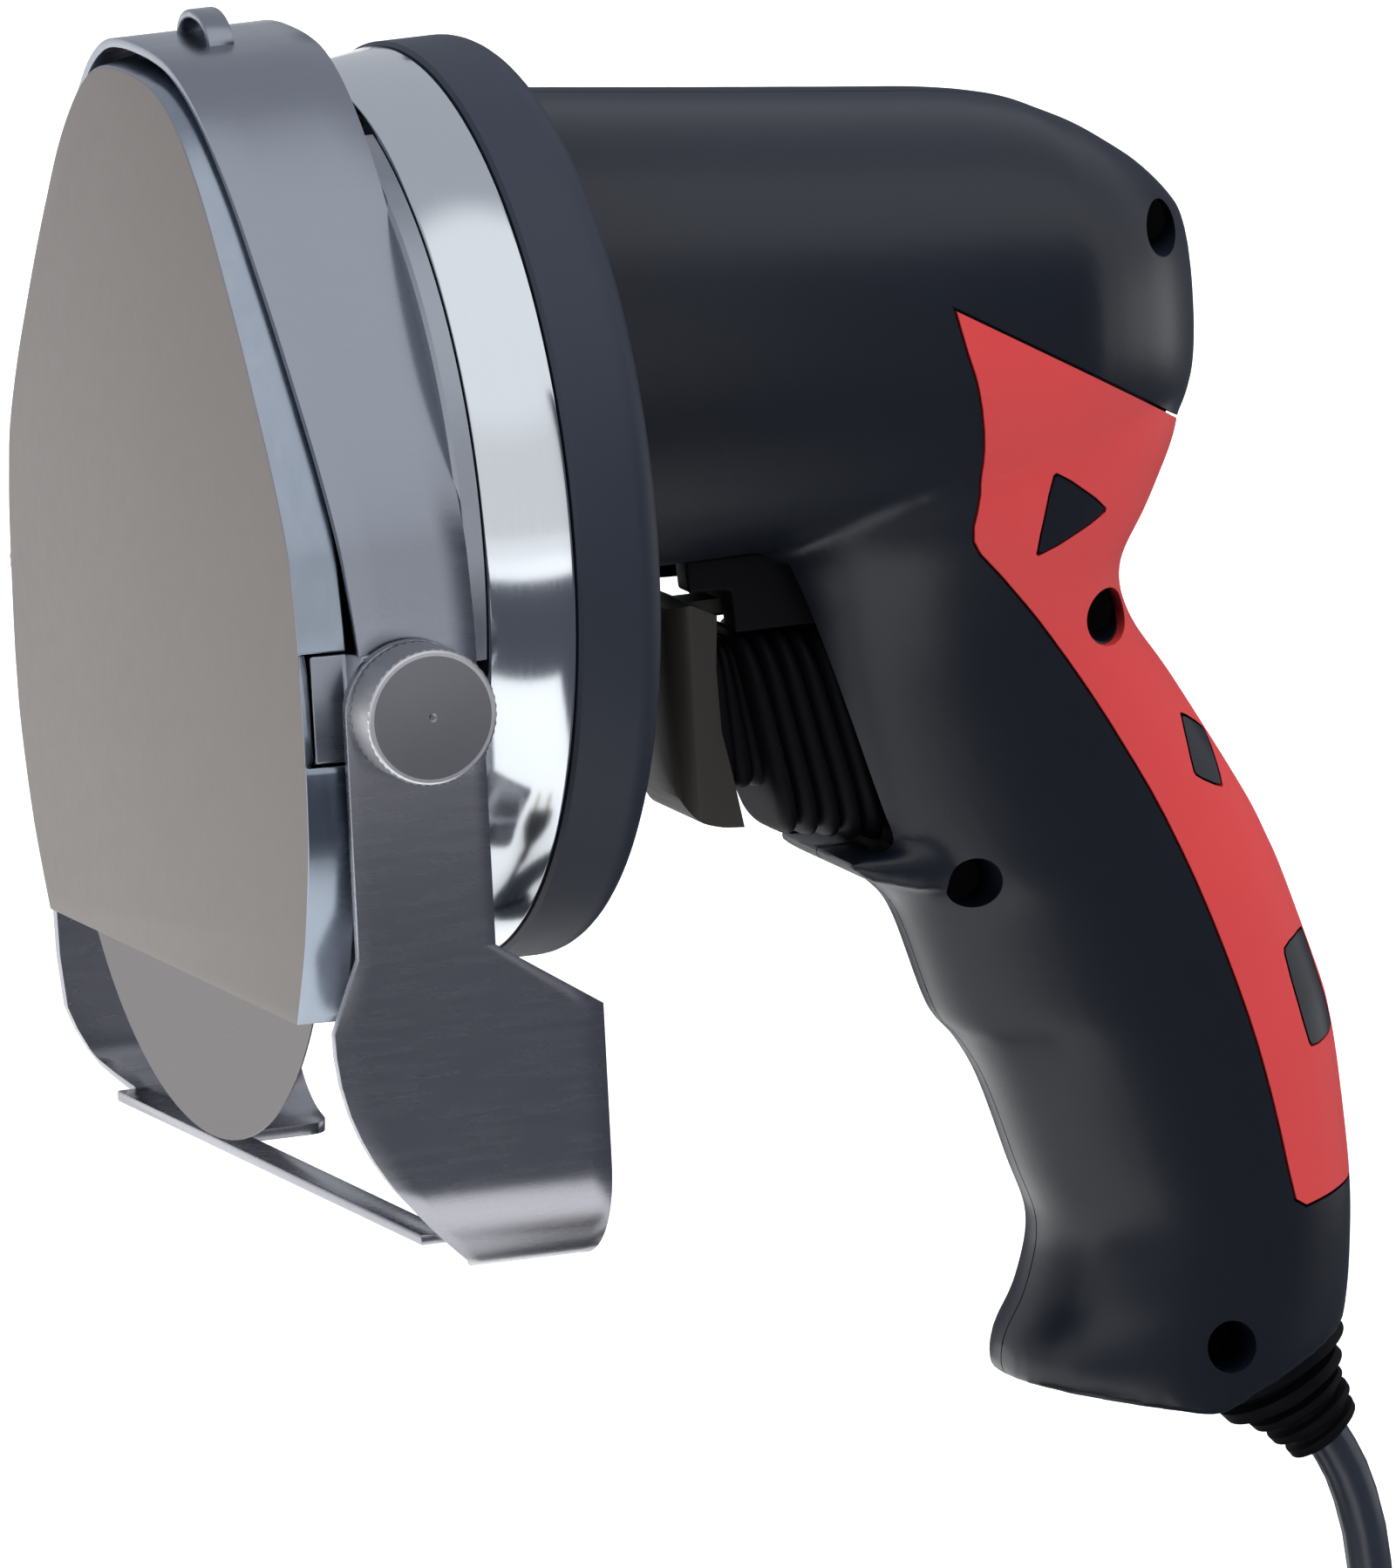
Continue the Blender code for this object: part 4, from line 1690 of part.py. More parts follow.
def make_coil_tie():
    """A strap closed round the coil's turns."""
    gap = SEAT_GAP + CORD_RADIUS
    half = TIE_WIDTH / 2
    least = COIL_INNER_RADIUS - COIL_PITCH / 4 - CORD_RADIUS
    inner = math.sqrt(least ** 2 - half ** 2) - SEAT_GAP
    outer = coil_radius(0) + gap
    low = COIL_LOW - gap
    high = COIL_LOW + COIL_PITCH + gap
    thick = TIE_THICKNESS
    tie = block("coil_tie", (inner - thick, -half, low - thick), (outer + thick, half, high + thick))
    soften(tie, thick, 40)
    cut(tie, block("hollow", (inner, -TIE_WIDTH, low), (outer, TIE_WIDTH, high)))
    tie.data.transform(Matrix.Translation(coil_centre()) @ Matrix.Rotation(TIE_ANGLE, 4, "Z"))
    return finish(tie, "black_rubber", 40)


def make_plug():
    """The moulded two-pin plug at the end of the cord."""
    coil = coil_points()
    end = coil[-1]
    ahead = (coil[-1] - coil[-2]).normalized()
    frame = Matrix.Translation(end) @ Matrix.Rotation(math.atan2(ahead.y, ahead.x), 4, "Z")
    neck = PLUG_NECK_LENGTH
    rows = [
        (-neck, PLUG_NECK_RADIUS, PLUG_NECK_RADIUS), (0.0, PLUG_NECK_RADIUS * 1.2, PLUG_NECK_RADIUS * 1.1),
        (PLUG_LENGTH * 0.3, PLUG_WIDTH * 0.36, PLUG_THICKNESS / 2),
        (PLUG_LENGTH * 0.6, PLUG_WIDTH / 2, PLUG_THICKNESS / 2), (PLUG_LENGTH, PLUG_WIDTH / 2, PLUG_THICKNESS / 2),
    ]
    plug = loft("plug_body", [[(along, y, z) for y, z in oval(a, b, 3, 14)] for along, a, b in rows])
    bore = CORD_RADIUS + SEAT_GAP
    cut(plug, rod("bore", bore, -neck - OVERRUN, SEAT_GAP, (0.0, 0.0, 0.0), "X", 12))
    for number, side in enumerate((1, -1), 1):
        centre = (0.0, side * PLUG_PIN_SPACING / 2, 0.0)
        start = PLUG_LENGTH - PLUG_PIN_SEAT
        pin = rod(f"plug_pin_{number}", PLUG_PIN_RADIUS, start, PLUG_LENGTH + PLUG_PIN_LENGTH, centre, "X", 12)
        seat = PLUG_PIN_RADIUS + SEAT_GAP
        cut(plug, rod("seat", seat, start - SEAT_GAP, PLUG_LENGTH + OVERRUN, centre, "X", 12))
        pin.data.transform(frame)
        finish(pin, "brass")
    plug.data.transform(frame)
    finish(plug, "black_rubber", 40)


def main():
    clear_scene()
    make_cover_plate()
    make_guard_band()
    make_blade()
    make_blade_spindle()
    make_blade_screw()
    make_front_case()
    make_gear_case()
    make_collar_ring()
    make_case_screws()
    make_gear_train()
    make_bearings()
    make_motor()
    make_housing()
    make_inlays()
    make_housing_screws()
    make_trigger()
    make_trigger_boot()
    make_switch()
    make_depth_guide()
    make_thumb_screws()
    make_strain_relief()
    make_cable_clamp()
    make_cord()
    make_plug()
    frame = bpy.data.objects.new("grip_centre", None)
    bpy.context.scene.collection.objects.link(frame)
    frame.location = -GRIP_CENTRE
    for obj in bpy.data.objects:
        if obj != frame:
            obj.parent = frame


main()
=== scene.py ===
"""Looks of a hand-held electric kebab slicer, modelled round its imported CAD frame.

Pieces are modelled on the head's own axes, in metres. The knife turns about Y through x = 0, z = 0,
the cover's face is at y = 0 and the grip is towards +Y. settle() carries each one to the part's frame.
"""

import json
import math

import bmesh
import bpy
from bpy.props import FloatProperty, FloatVectorProperty, IntProperty, PointerProperty
from mathutils import Matrix, Vector


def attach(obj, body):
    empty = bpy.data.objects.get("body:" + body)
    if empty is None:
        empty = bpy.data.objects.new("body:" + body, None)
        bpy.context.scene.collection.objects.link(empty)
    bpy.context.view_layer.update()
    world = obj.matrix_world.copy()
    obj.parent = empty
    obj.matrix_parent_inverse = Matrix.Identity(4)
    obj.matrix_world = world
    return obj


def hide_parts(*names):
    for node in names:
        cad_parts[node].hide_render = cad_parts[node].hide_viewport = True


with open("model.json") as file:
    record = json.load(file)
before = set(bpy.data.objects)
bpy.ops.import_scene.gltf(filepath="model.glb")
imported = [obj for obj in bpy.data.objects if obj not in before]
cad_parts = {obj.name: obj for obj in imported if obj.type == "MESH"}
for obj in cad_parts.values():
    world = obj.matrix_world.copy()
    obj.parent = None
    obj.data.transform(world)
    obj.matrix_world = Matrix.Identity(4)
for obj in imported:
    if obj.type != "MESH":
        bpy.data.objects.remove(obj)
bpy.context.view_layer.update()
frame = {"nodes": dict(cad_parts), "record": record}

bl_info = {
    "name": "Kebab slicer looks",
    "version": (1, 0, 0),
    "blender": (4, 5, 0),
    "location": "3D Viewport > Sidebar > Slicer",
    "description": "Models the visible pieces of an electric kebab slicer round its CAD frame",
    "category": "Object",
}

# From the head's axes to the part's frame
HEAD = Vector((0.0, -0.136, 0.050))
MERGE = 0.000002
SEAT_GAP = 0.0003
RUNNING_GAP = 0.0005
SHEET = 0.0012
SHEET_EDGE = 0.0003
FACING = 0.9
FINE_STEPS = 160
SIDES = (("right", 1), ("left", -1))
BARREL_SIDES = 72
GRIP_SIDES = 64
RUBBER_SIDES = 56
PLUG_SIDES = 48

# Cover, band and drum
PLATE_HALF_WIDTH = 0.0555
PLATE_TOP = 0.093
PLATE_BOTTOM = 0.027
PLATE_RIM = 0.0062
PLATE_FLARE = 0.0012
PLATE_EDGE = 0.0005
SHIELD_SHARES = [
    (0.0, 1.0), (0.10, 0.9985), (0.207, 0.990), (0.315, 0.965), (0.414, 0.927), (0.512, 0.8775),
    (0.602, 0.819), (0.692, 0.757), (0.782, 0.689), (0.877, 0.6125), (0.951, 0.537), (0.975, 0.485),
    (0.991, 0.425), (1.0, 0.308), (0.997, 0.25), (0.984, 0.192), (0.93, 0.092), (0.847, 0.0),
]
BAND_GAP = 0.0023
BAND_REAR = 0.0235
BAND_FRONT_AT_TOP = 0.0017
BAND_SLOPE = 0.075
BAND_FOOT = 0.018
TAB_LOW = 0.0090
TAB_HIGH = 0.0235
TAB_REACH = 0.0040
TAB_EDGE = 0.0004
LUG_HALF_WIDTH = 0.0064
LUG_RISE = 0.0043
LUG_FRONT = 0.0096
LUG_DEPTH = 0.0036
CASTING_FACE = 0.0090
CASTING_WALL = 0.0025
CASTING_FOOT = 0.0260
CASTING_FLANGE = 0.0030
BEARING_SEAT_RADIUS = 0.0113
BEARING_BOSS_RADIUS = 0.0141
BEARING_BORE_RADIUS = 0.0055
BEARING_BOSS_END = 0.0181
DRUM_CENTRE = 0.031
DRUM_OVAL = (0.968, 1.0, 1.018)
DRUM_FRONT = 0.0266
DRUM_REAR = 0.0382
DRUM_FRONT_RADIUS = 0.0575
DRUM_RADIUS = 0.0595
DRUM_WALL = 0.0024
DRUM_ROLL = 0.0004
REAR_SEAT_RADIUS = 0.0098
MOTOR_SEAT_RADIUS = 0.0083
COLLAR_FRONT = 0.0385
COLLAR_REAR = 0.0510
COLLAR_RADIUS = 0.0600
COLLAR_WALL = 0.0026
COLLAR_BACK = 0.0030
COLLAR_FILLET = 0.0040
COLLAR_EDGE = 0.0005
BLADE_RADIUS = 0.050
BLADE_FRONT = 0.0042
BLADE_REAR = 0.0054
BLADE_EDGE = 0.0002
BLADE_GROUND = 0.004
BLADE_BORE = 0.0043

# Housing
HANDLE_LENGTH = 0.112
MOTOR_HEIGHT = 0.052
BARREL_RADIUS = 0.0325
BARREL_POWER = 2.35
BARREL_START = 0.0461
BARREL_SHARES = [
    (0.0, 1.003, -1.0, 0.935), (0.26, 0.901, -0.99, 0.925), (0.44, 0.833, -0.985, 0.90),
    (0.56, 0.787, -0.97, 0.865), (0.64, 0.729, -0.925, 0.83), (0.685, 0.662, -0.86, 0.77),
    (0.721, 0.600, -0.815, 0.70), (0.756, 0.519, -0.77, 0.612), (0.789, 0.434, -0.72, 0.496),
    (0.820, 0.329, -0.65, 0.348), (0.845, 0.225, -0.52, 0.19),
]
GRIP_TOP = 0.034
GRIP_LENGTH = 0.146
GRIP_HALF_WIDTH = 0.0172
GRIP_POWER = 2.4
GRIP_SHARES = [
    (-0.080, 0.300, 0.790, 1.20), (0.0, 0.270, 0.822, 1.35), (0.080, 0.276, 0.780, 1.33),
    (0.140, 0.300, 0.739, 1.18), (0.192, 0.318, 0.750, 1.09), (0.253, 0.338, 0.800, 1.05),
    (0.366, 0.376, 0.884, 1.0), (0.410, 0.412, 0.910, 1.0), (0.446, 0.452, 0.928, 1.0),
    (0.541, 0.493, 0.967, 1.0), (0.571, 0.523, 0.976, 1.0), (0.614, 0.553, 0.983, 1.0),
    (0.693, 0.586, 0.990, 1.0), (0.750, 0.608, 0.991, 1.0), (0.810, 0.588, 0.985, 1.02),
    (0.848, 0.560, 0.977, 1.05), (0.884, 0.555, 0.965, 1.07), (0.932, 0.585, 0.943, 1.05),
    (1.0, 0.640, 0.912, 1.02),
]
BASE_LIP = (0.55, 0.884)
BASE_CORNER = (0.768, 0.923)
BASE_LEAN = math.radians(22)
INLAY_DEPTH = 0.0016
INLAY_GROOVE = 0.0004
WINDOW_GROOVE = 0.0003
INLAY_FRONT_SHARES = [
    (0.467, -0.140), (0.480, -0.098), (0.494, -0.060), (0.505, -0.003), (0.506, 0.042),
    (0.497, 0.087), (0.537, 0.126), (0.587, 0.173), (0.639, 0.231), (0.689, 0.295),
    (0.741, 0.370), (0.790, 0.463), (0.831, 0.559), (0.857, 0.642), (0.872, 0.705),
]
INLAY_BACK_SHARES = [
    (0.880, 0.735), (0.896, 0.743), (0.930, 0.738), (1.0, 0.726), (1.12, 0.72), (1.12, 0.06), (0.848, 0.030),
]
WINDOW_SHARES = [
    [(0.603, 0.030), (0.678, 0.075), (0.579, 0.109)],
    [(0.785, 0.282), (0.826, 0.304), (0.832, 0.353), (0.791, 0.336)],
    [(0.893, 0.506), (0.935, 0.495), (0.966, 0.590), (0.920, 0.600)],
]
SCREW_SHARES = [(0.780, -0.16892), (0.689, 0.181), (0.505, 0.410), (0.786, 0.859)]
SCREW_WELL_RADIUS = 0.0035
SCREW_SEAT = 0.0060
SPLIT_GAP = 0.0003
MOTOR_ROOMS = ((0.0250, 0.0945), (0.0222, 0.1125))
SWITCH_ROOM = ((-0.0079, 0.0840, -0.0150), (0.0079, 0.1200, 0.0130))
WINDOW_ROOM = ((-0.0045, 0.0682, -0.0090), (0.0045, 0.0980, 0.0262))
POCKET_HALF_WIDTH = 0.0112
POCKET_DEPTH = 0.0055
POCKET_TOP = 0.0190
POCKET_BOTTOM = 0.0215
POCKET_STEPS = 6
LIP_HALF_WIDTH = 0.0143
LIP_OUTLINE = [
    (0.0905, -0.0211), (0.0905, -0.0224), (0.0935, -0.0243), (0.1000, -0.0262), (0.1100, -0.0262),
    (0.1100, -0.0211),
]

# Trigger and boot
PIVOT = (0.090984, 0.0220)
TRIGGER_FRONT = 0.0682
TRIGGER_HALF_WIDTH = 0.0088
TRIGGER_WALL = 0.0015
TRIGGER_NOSE = 0.0038
TRIGGER_TOP = 0.0147
TRIGGER_HEIGHT = 0.0305
TRIGGER_DEPTH = 0.0098
TRIGGER_FRONT_SHARES = [
    (0.10, 0.02), (0.02, 0.16), (0.0, 0.45), (0.06, 0.76), (0.27, 0.93), (0.60, 0.985), (0.98, 1.0),
]
TRIGGER_BACK_SHARES = [(0.87, 0.80), (0.72, 0.57), (0.69, 0.29), (0.74, 0.06), (0.37, 0.0)]
EYE_RADIUS = 0.0037
PIN_BORE = 0.0022
TRIGGER_EDGE = 0.0014
ARM_HALF_WIDTH = 0.0028
ARM_KNEE = 0.0084
FINGER_END = 0.0941937
FINGER_HALF = (0.0025, 0.0030)
FINGER_HEIGHT = -0.0010
BOOT_FRONT = 0.0755
BOOT_DROP = 0.0029
BOOT_FOLDS = 5
BOOT_TOP = 0.0100
BOOT_BOTTOM = 0.0180
BOOT_HALF_WIDTH = 0.0098
BOOT_FOLD_DEPTH = 0.0016
BOOT_FOLD_START = (0.0778, 0.20)
BOOT_FOLD_ONSET = 0.01
BOOT_FOLD_STEPS = 10
BOOT_ROUNDNESS = 0.55
BOOT_POWER = 4
BOOT_NECK = (0.0066, 0.0090, 0.0118)
BOOT_NECK_FOLDS = 2.5
BOOT_NECK_STEPS = 40
BOOT_BORE = ((-0.0038, 0.0660, -0.0080), (0.0038, 0.1200, 0.0045))
HOOD_HALF_WIDTH = 0.0085
HOOD_SLOT = 0.0045
HOOD_OUTLINE = [
    (0.0715, 0.0206), (0.0718, 0.0162), (0.0776, 0.0160), (0.0780, 0.0102), (0.0925, 0.0102),
    (0.0925, 0.0206),
]

# Guide and thumb screws
GUIDE_SHEET = 0.0015
GUIDE_OUTSIDE = 0.0610
GUIDE_BEND = 0.0140
GUIDE_FOOT = 0.0615
GUIDE_ARM = (0.0041, 0.0232)
GUIDE_WING = (0.0002, 0.0378)
GUIDE_WING_TOP = 0.0165
GUIDE_WING_FULL = 0.0260
GUIDE_TIP_FRONT = 0.0220
GUIDE_CORNER = 0.0030
GUIDE_TRAVEL = 0.0075
GUIDE_FAR_CUT = [
    (-0.0030, -0.0150), (0.0039, -0.0150), (0.0042, -0.0200), (0.0053, -0.0270), (0.0055, -0.0360),
    (0.0062, -0.0430), (0.0074, -0.0460), (0.0090, -0.0490), (0.0105, -0.0512), (-0.0030, -0.0512),
]
GUIDE_TIP_POWER = 2.2
GUIDE_TOP_STEPS = 12
GUIDE_BEND_STEPS = 32
GUIDE_BEND_EASE = 1.3
GUIDE_COLUMNS = 10
BAR_HEIGHT = 0.0553
BAR_FRONT = 0.0118
BAR_DEPTH = 0.0044
THUMB_Y = 0.0135
THUMB_Z = 0.0161
THUMB_CENTRE = Vector((0.0, THUMB_Y, THUMB_Z))
GUIDE_HEIGHTS = (
    THUMB_Z, 0.006, -0.004, -0.012, -GUIDE_WING_TOP, -0.0195, -0.0230, -GUIDE_WING_FULL, -0.0290,
    -0.0330, -0.0370, -0.0405, -0.0435, -0.0460,
)
THUMB_RADIUS = 0.0091
THUMB_DEPTH = 0.0071
THUMB_RIM = 0.0009
THUMB_DIMPLE = 0.0006
THUMB_TIP_RADIUS = 0.0002
THUMB_RINGS = 13
THUMB_SHANK_RADIUS = 0.0020
THUMB_TIP = 0.0505
THUMB_BORE = 0.0025
BOSS_WALL = 0.0028
KNURL_DEPTH = 0.00022

# Strain relief and cord
RELIEF_ROOT = (0.871, 0.891)
RELIEF_LENGTH = 0.0155
RELIEF_LEANS = (math.radians(34), math.radians(42), math.radians(28))
RELIEF_TIP_FACE_LEAN = math.radians(38)
RELIEF_RADIUS = 0.0118
RELIEF_EDGE = 0.00022
RELIEF_STEPS = 12
RELIEF_SHARES = [
    (-0.353, 0.62), (-0.20, 0.62), (-0.19, 0.50), (0.02, 0.50), (0.03, 1.0), (0.16, 1.0), (0.18, 0.60),
    (0.30, 0.58), (0.32, 0.76), (0.43, 0.75), (0.45, 0.48), (0.52, 0.47), (0.54, 0.60), (0.61, 0.59),
    (0.63, 0.44), (0.70, 0.43), (0.72, 0.54), (0.79, 0.53), (0.81, 0.40), (0.88, 0.39), (0.90, 0.47),
    (0.97, 0.46), (1.0, 0.38),
]
CORD_RADIUS = 0.0030
CORD_FALL = [
    (0.1596, -0.1108), (0.1609, -0.1136), (0.1620, -0.1171), (0.1630, -0.1218), (0.1635, -0.1268),
    (0.1637, -0.1314),
]
BEND_HANDLE = 0.0160
BEND_STEPS = 17
COIL_START = (-0.0275, 0.1550)
COIL_START_ANGLE = math.radians(110)
COIL_TURNS = 4
COIL_PITCH = 0.0066
COIL_INNER_RADIUS = 0.0230
COIL_STEPS = 48
COIL_LOOK_BACK = 1 / 24
COIL_TAIL = 0.0480
TAIL_STEPS = 12
TAIL_DROP_SHARE = 0.5
TIE_WIDTH = 0.0100
TIE_THICKNESS = 0.0008
TIE_ANGLE = math.radians(250)
SURFACE = -0.164
COIL_LOW = SURFACE + TIE_THICKNESS + 2 * SEAT_GAP + CORD_RADIUS
PLUG_LENGTH = 0.0360
PLUG_WIDTH = 0.0350
PLUG_THICKNESS = 0.0137
PLUG_NECK = 0.0200
PLUG_NECK_RADIUS = 0.0050
PLUG_EDGE = 0.0008
PLUG_RIBS = 5
PLUG_RIB_DEPTH = 0.15
PLUG_NECK_STEPS = 16
PLUG_HEIGHT = SURFACE + SEAT_GAP + PLUG_THICKNESS / 2

# Camera and studio
PICTURE_CENTRE = Vector((0.0, 0.07475, -0.01107))
PICTURE_HEIGHT = 0.2067
CAMERA_DISTANCE = 12.0
CAMERA_SENSOR = 24.0
CAMERA_RIGHT = Vector((0.351, 0.935, -0.051))
CAMERA_UP = Vector((-0.161, 0.114, 0.980))
FLOOR_RADIUS = 6.0
FLOOR_TONE = (0.86, 0.86, 0.86)
FLOOR_GLOW = (0.4, 1.2, 0.40, 0.75)
FLAG_TONE = (0.10, 0.11, 0.14, 1.0)
FLAG_SIDE = 0.30
FLAG_LOW = -0.022
FLAG_HIGH = 0.210
FLAG_STEP = 0.158
FLAG_REAR = 0.750
FLAG_FRONTS = {1: -0.45, -1: 0.03}
FLAG_FLOOR = ((-0.30, 0.130), (0.30, 0.130), (0.30, 0.750), (-0.30, 0.750))
LAMPS = (
    ("top box", (0.10, 0.10, 1.15), 0.80, 11.0), ("front box", (0.55, -1.15, 0.75), 0.70, 7.0),
    ("side box", (1.30, 0.60, 0.80), 0.60, 5.0), ("back box", (-0.9, 0.9, 0.9), 0.60, 5.0),
)

# Finishes, as what metal() and moulded() take after a name
EVEN = (1.0, 1.0, 1.0)
METALS = {
    "brushed_sheet": (
        (0.205, 0.187, 0.174), (0.230, 0.211, 0.197), (0.46, 0.56), 700.0, (1.0, 1.0, 0.5), 0.03,
    ),
    # Rim of the cover sheet: its lighter, bluish tone is a painted reflection on the same sheet, and its
    # lower roughness is a smoother polish.
    "rim_polish_and_painted_sheen": ((0.20, 0.235, 0.285), (0.36, 0.40, 0.46), (0.16, 0.26), 500.0, (1.0, 1.0, 0.2), 0.02),
    "satin_band": (
        (0.245, 0.262, 0.305), (0.275, 0.293, 0.335), (0.24, 0.32), 800.0, (1.0, 0.12, 1.0), 0.02,
    ),
    "guide_sheet": ((0.30, 0.30, 0.33), (0.36, 0.36, 0.39), (0.24, 0.30), 900.0, (1.0, 0.1, 1.0), 0.02),
    "polished_drum": (
        (0.56, 0.59, 0.62), (0.61, 0.64, 0.67), (0.09, 0.15), 2600.0, (0.02, 1.0, 0.02), 0.01,
    ),
    "turned_steel": ((0.42, 0.42, 0.43), (0.55, 0.55, 0.56), (0.25, 0.38), 1500.0),
    # Near black for the housing's screws: painted shade at the bottom of their deep wells.
    "well_shade_black_steel": ((0.006, 0.006, 0.007), (0.012, 0.012, 0.013), (0.5, 0.6), 1500.0),
    "knife_steel": (
        (0.082, 0.074, 0.071), (0.098, 0.089, 0.086), (0.26, 0.36), 2500.0, EVEN, 0.04,
        (0.0, 0.0, HEAD.z),
    ),
    "knurled_steel": ((0.50, 0.50, 0.52), (0.66, 0.66, 0.68), (0.30, 0.42), 1200.0),
    "screw_face": (
        (0.20, 0.20, 0.22), (0.26, 0.26, 0.28), (0.32, 0.42), 6000.0, EVEN, 0.04,
        (None, THUMB_Y + HEAD.y, THUMB_Z + HEAD.z),
    ),
    "cast_metal": ((0.26, 0.28, 0.32), (0.34, 0.36, 0.40), (0.30, 0.40), 600.0, EVEN, 0.08),
    "gear_steel": ((0.28, 0.28, 0.29), (0.38, 0.38, 0.39), (0.30, 0.45), 1800.0),
    "copper": ((0.50, 0.24, 0.12), (0.62, 0.32, 0.17), (0.28, 0.42), 1500.0),
    "brass": ((0.56, 0.42, 0.18), (0.68, 0.52, 0.24), (0.20, 0.32), 1500.0),
}
MOULDINGS = {
    "black_rubber": ((0.0030, 0.0030, 0.0040), (0.0050, 0.0050, 0.0065), (0.42, 0.55), 1400.0, 0.1, 0.06),
    "cord_jacket": ((0.014, 0.018, 0.030), (0.020, 0.025, 0.038), (0.26, 0.34), 900.0, 0.05, 0.6),
    "carbon": ((0.015, 0.015, 0.016), (0.030, 0.030, 0.031), (0.55, 0.75), 2500.0, 0.3, 0.5),
}


# Settings that a user would change


class SlicerColours(bpy.types.PropertyGroup):
    """Colours of the moulded pieces."""

    housing: FloatVectorProperty(
        name="Housing", description="Moulded housing and collar", subtype="COLOR", size=3, min=0, max=1,
        default=(0.0046, 0.0064, 0.0112),
    )
    inlay: FloatVectorProperty(
        name="Inlay", description="Soft inlay round the grip", subtype="COLOR", size=3, min=0, max=1,
        default=(0.55, 0.042, 0.044),
    )
    trigger: FloatVectorProperty(
        name="Trigger", description="Moulded trigger", subtype="COLOR", size=3, min=0, max=1,
        default=(0.024, 0.021, 0.018),
    )


class SlicerSizes(bpy.types.PropertyGroup):
    """Sizes of details that the CAD leaves plain."""

    moulding_step: FloatProperty(
        name="Moulding step", description="Grid step of the housing's surface", unit="LENGTH",
        default=0.0009, min=0.0006, max=0.002,
    )
    fillet_passes: IntProperty(
        name="Fillet passes", description="Smoothing passes over the housing's corners",
        default=9, min=0, max=40,
    )
    knurls: IntProperty(
        name="Knurls", description="Points round a thumb screw's grip", default=96, min=24, max=200,
    )


# Shader nodes written as expressions


def put(tree, socket, value):
    """Links a socket, or sets its value."""
    if isinstance(value, Wire):
        tree.links.new(value.socket, socket)
    elif isinstance(value, tuple) and len(value) == 3 and socket.type == "RGBA":
        socket.default_value = (*value, 1.0)
    else:
        socket.default_value = value


class Wire:
    """An output socket that sums, products and differences can be written with."""

    def __init__(self, tree, socket):
        self.tree = tree
        self.socket = socket

    def joined(self, operation, first, second):
        node = self.tree.nodes.new("ShaderNodeMath")
        node.operation = operation
        put(self.tree, node.inputs[0], first)
        put(self.tree, node.inputs[1], second)
        return Wire(self.tree, node.outputs[0])

    def __add__(self, other):
        return self.joined("ADD", self, other)

    __radd__ = __add__

    def __sub__(self, other):
        return self.joined("SUBTRACT", self, other)

    def __rsub__(self, other):
        return self.joined("SUBTRACT", other, self)

    def __mul__(self, other):
        return self.joined("MULTIPLY", self, other)

    __rmul__ = __mul__


class Finish:
    """A material that is being built."""

    def __init__(self, name):
        self.material = bpy.data.materials.new(name)
        self.material.use_nodes = True
        self.tree = self.material.node_tree
        self.shader = self.tree.nodes["Principled BSDF"]
        self.place = self.node("ShaderNodeTexCoord", output="Object")

    def node(self, kind, settings=None, sockets=None, output=0):
        """Any node: its settings first, then the values or links of its sockets."""
        made = self.tree.nodes.new(kind)
        for key, value in (settings or {}).items():
            setattr(made, key, value)
        for key, value in (sockets or {}).items():
            put(self.tree, made.inputs[key], value)
        return Wire(self.tree, made.outputs[output])

    def noise(self, scale, stretch=EVEN, detail=3.0):
        place = self.node("ShaderNodeMapping", sockets={"Vector": self.place, "Scale": stretch})
        return self.node("ShaderNodeTexNoise", sockets={"Vector": place, "Scale": scale, "Detail": detail})

    def rings(self, centre, scale):
        """Fine lines round an axis along Y, or along X where the centre has no x."""
        flat = (0.0, 1.0, 1.0) if centre[0] is None else (1.0, 0.0, 1.0)
        centre = tuple(value or 0.0 for value in centre)
        kind = "ShaderNodeVectorMath"
        moved = self.node(kind, {"operation": "SUBTRACT"}, {0: self.place, 1: centre}, "Vector")
        flattened = self.node(kind, {"operation": "MULTIPLY"}, {0: moved, 1: flat}, "Vector")
        radius = self.node(kind, {"operation": "LENGTH"}, {0: flattened}, "Value")
        return self.node(
            "ShaderNodeTexNoise", {"noise_dimensions": "1D"},
            {"W": radius * scale, "Scale": 1.0, "Detail": 4.0},
        )

    def ramp(self, value, low, high, start=0.0, end=1.0):
        """A soft step from start to end, as a value goes from low to high."""
        return self.node(
            "ShaderNodeMapRange", {"interpolation_type": "SMOOTHSTEP"},
            {"Value": value, "From Min": low, "From Max": high, "To Min": start, "To Max": end},
        )

    def mix(self, factor, first, second):
        node = self.tree.nodes.new("ShaderNodeMix")
        node.data_type = "RGBA"
        put(self.tree, node.inputs[0], factor)
        put(self.tree, node.inputs[6], first)
        put(self.tree, node.inputs[7], second)
        return Wire(self.tree, node.outputs[2])

    def shade(self, colour, roughness, metallic, height=None, strength=0.1, **constants):
        """Sets the shader: what varies is linked, and what is the same all over is set on it."""
        put(self.tree, self.shader.inputs["Base Color"], colour)
        put(self.tree, self.shader.inputs["Roughness"], roughness)
        put(self.tree, self.shader.inputs["Metallic"], metallic)
        for key, value in constants.items():
            self.shader.inputs[key.replace("_", " ")].default_value = value
        if height is not None:
            depth = {"Height": height, "Strength": strength, "Distance": 0.0001}
            bump = self.node("ShaderNodeBump", sockets=depth, output="Normal")
            put(self.tree, self.shader.inputs["Normal"], bump)
        return self.material


def metal(name, dark, light, rough, scale, stretch=EVEN, strength=0.06, centre=None):
    """Metal with a broad change of tone, and fine marks that are brushed, cast or turned."""
    made = Finish(name)
    broad = made.noise(22.0, detail=2.0)
    fine = made.rings(centre, scale) if centre else made.noise(scale, stretch, 4.0)
    colour = made.mix(broad * 0.6 + fine * 0.4, dark, light)
    return made.shade(colour, fine * (rough[1] - rough[0]) + rough[0], 1.0, fine, strength)


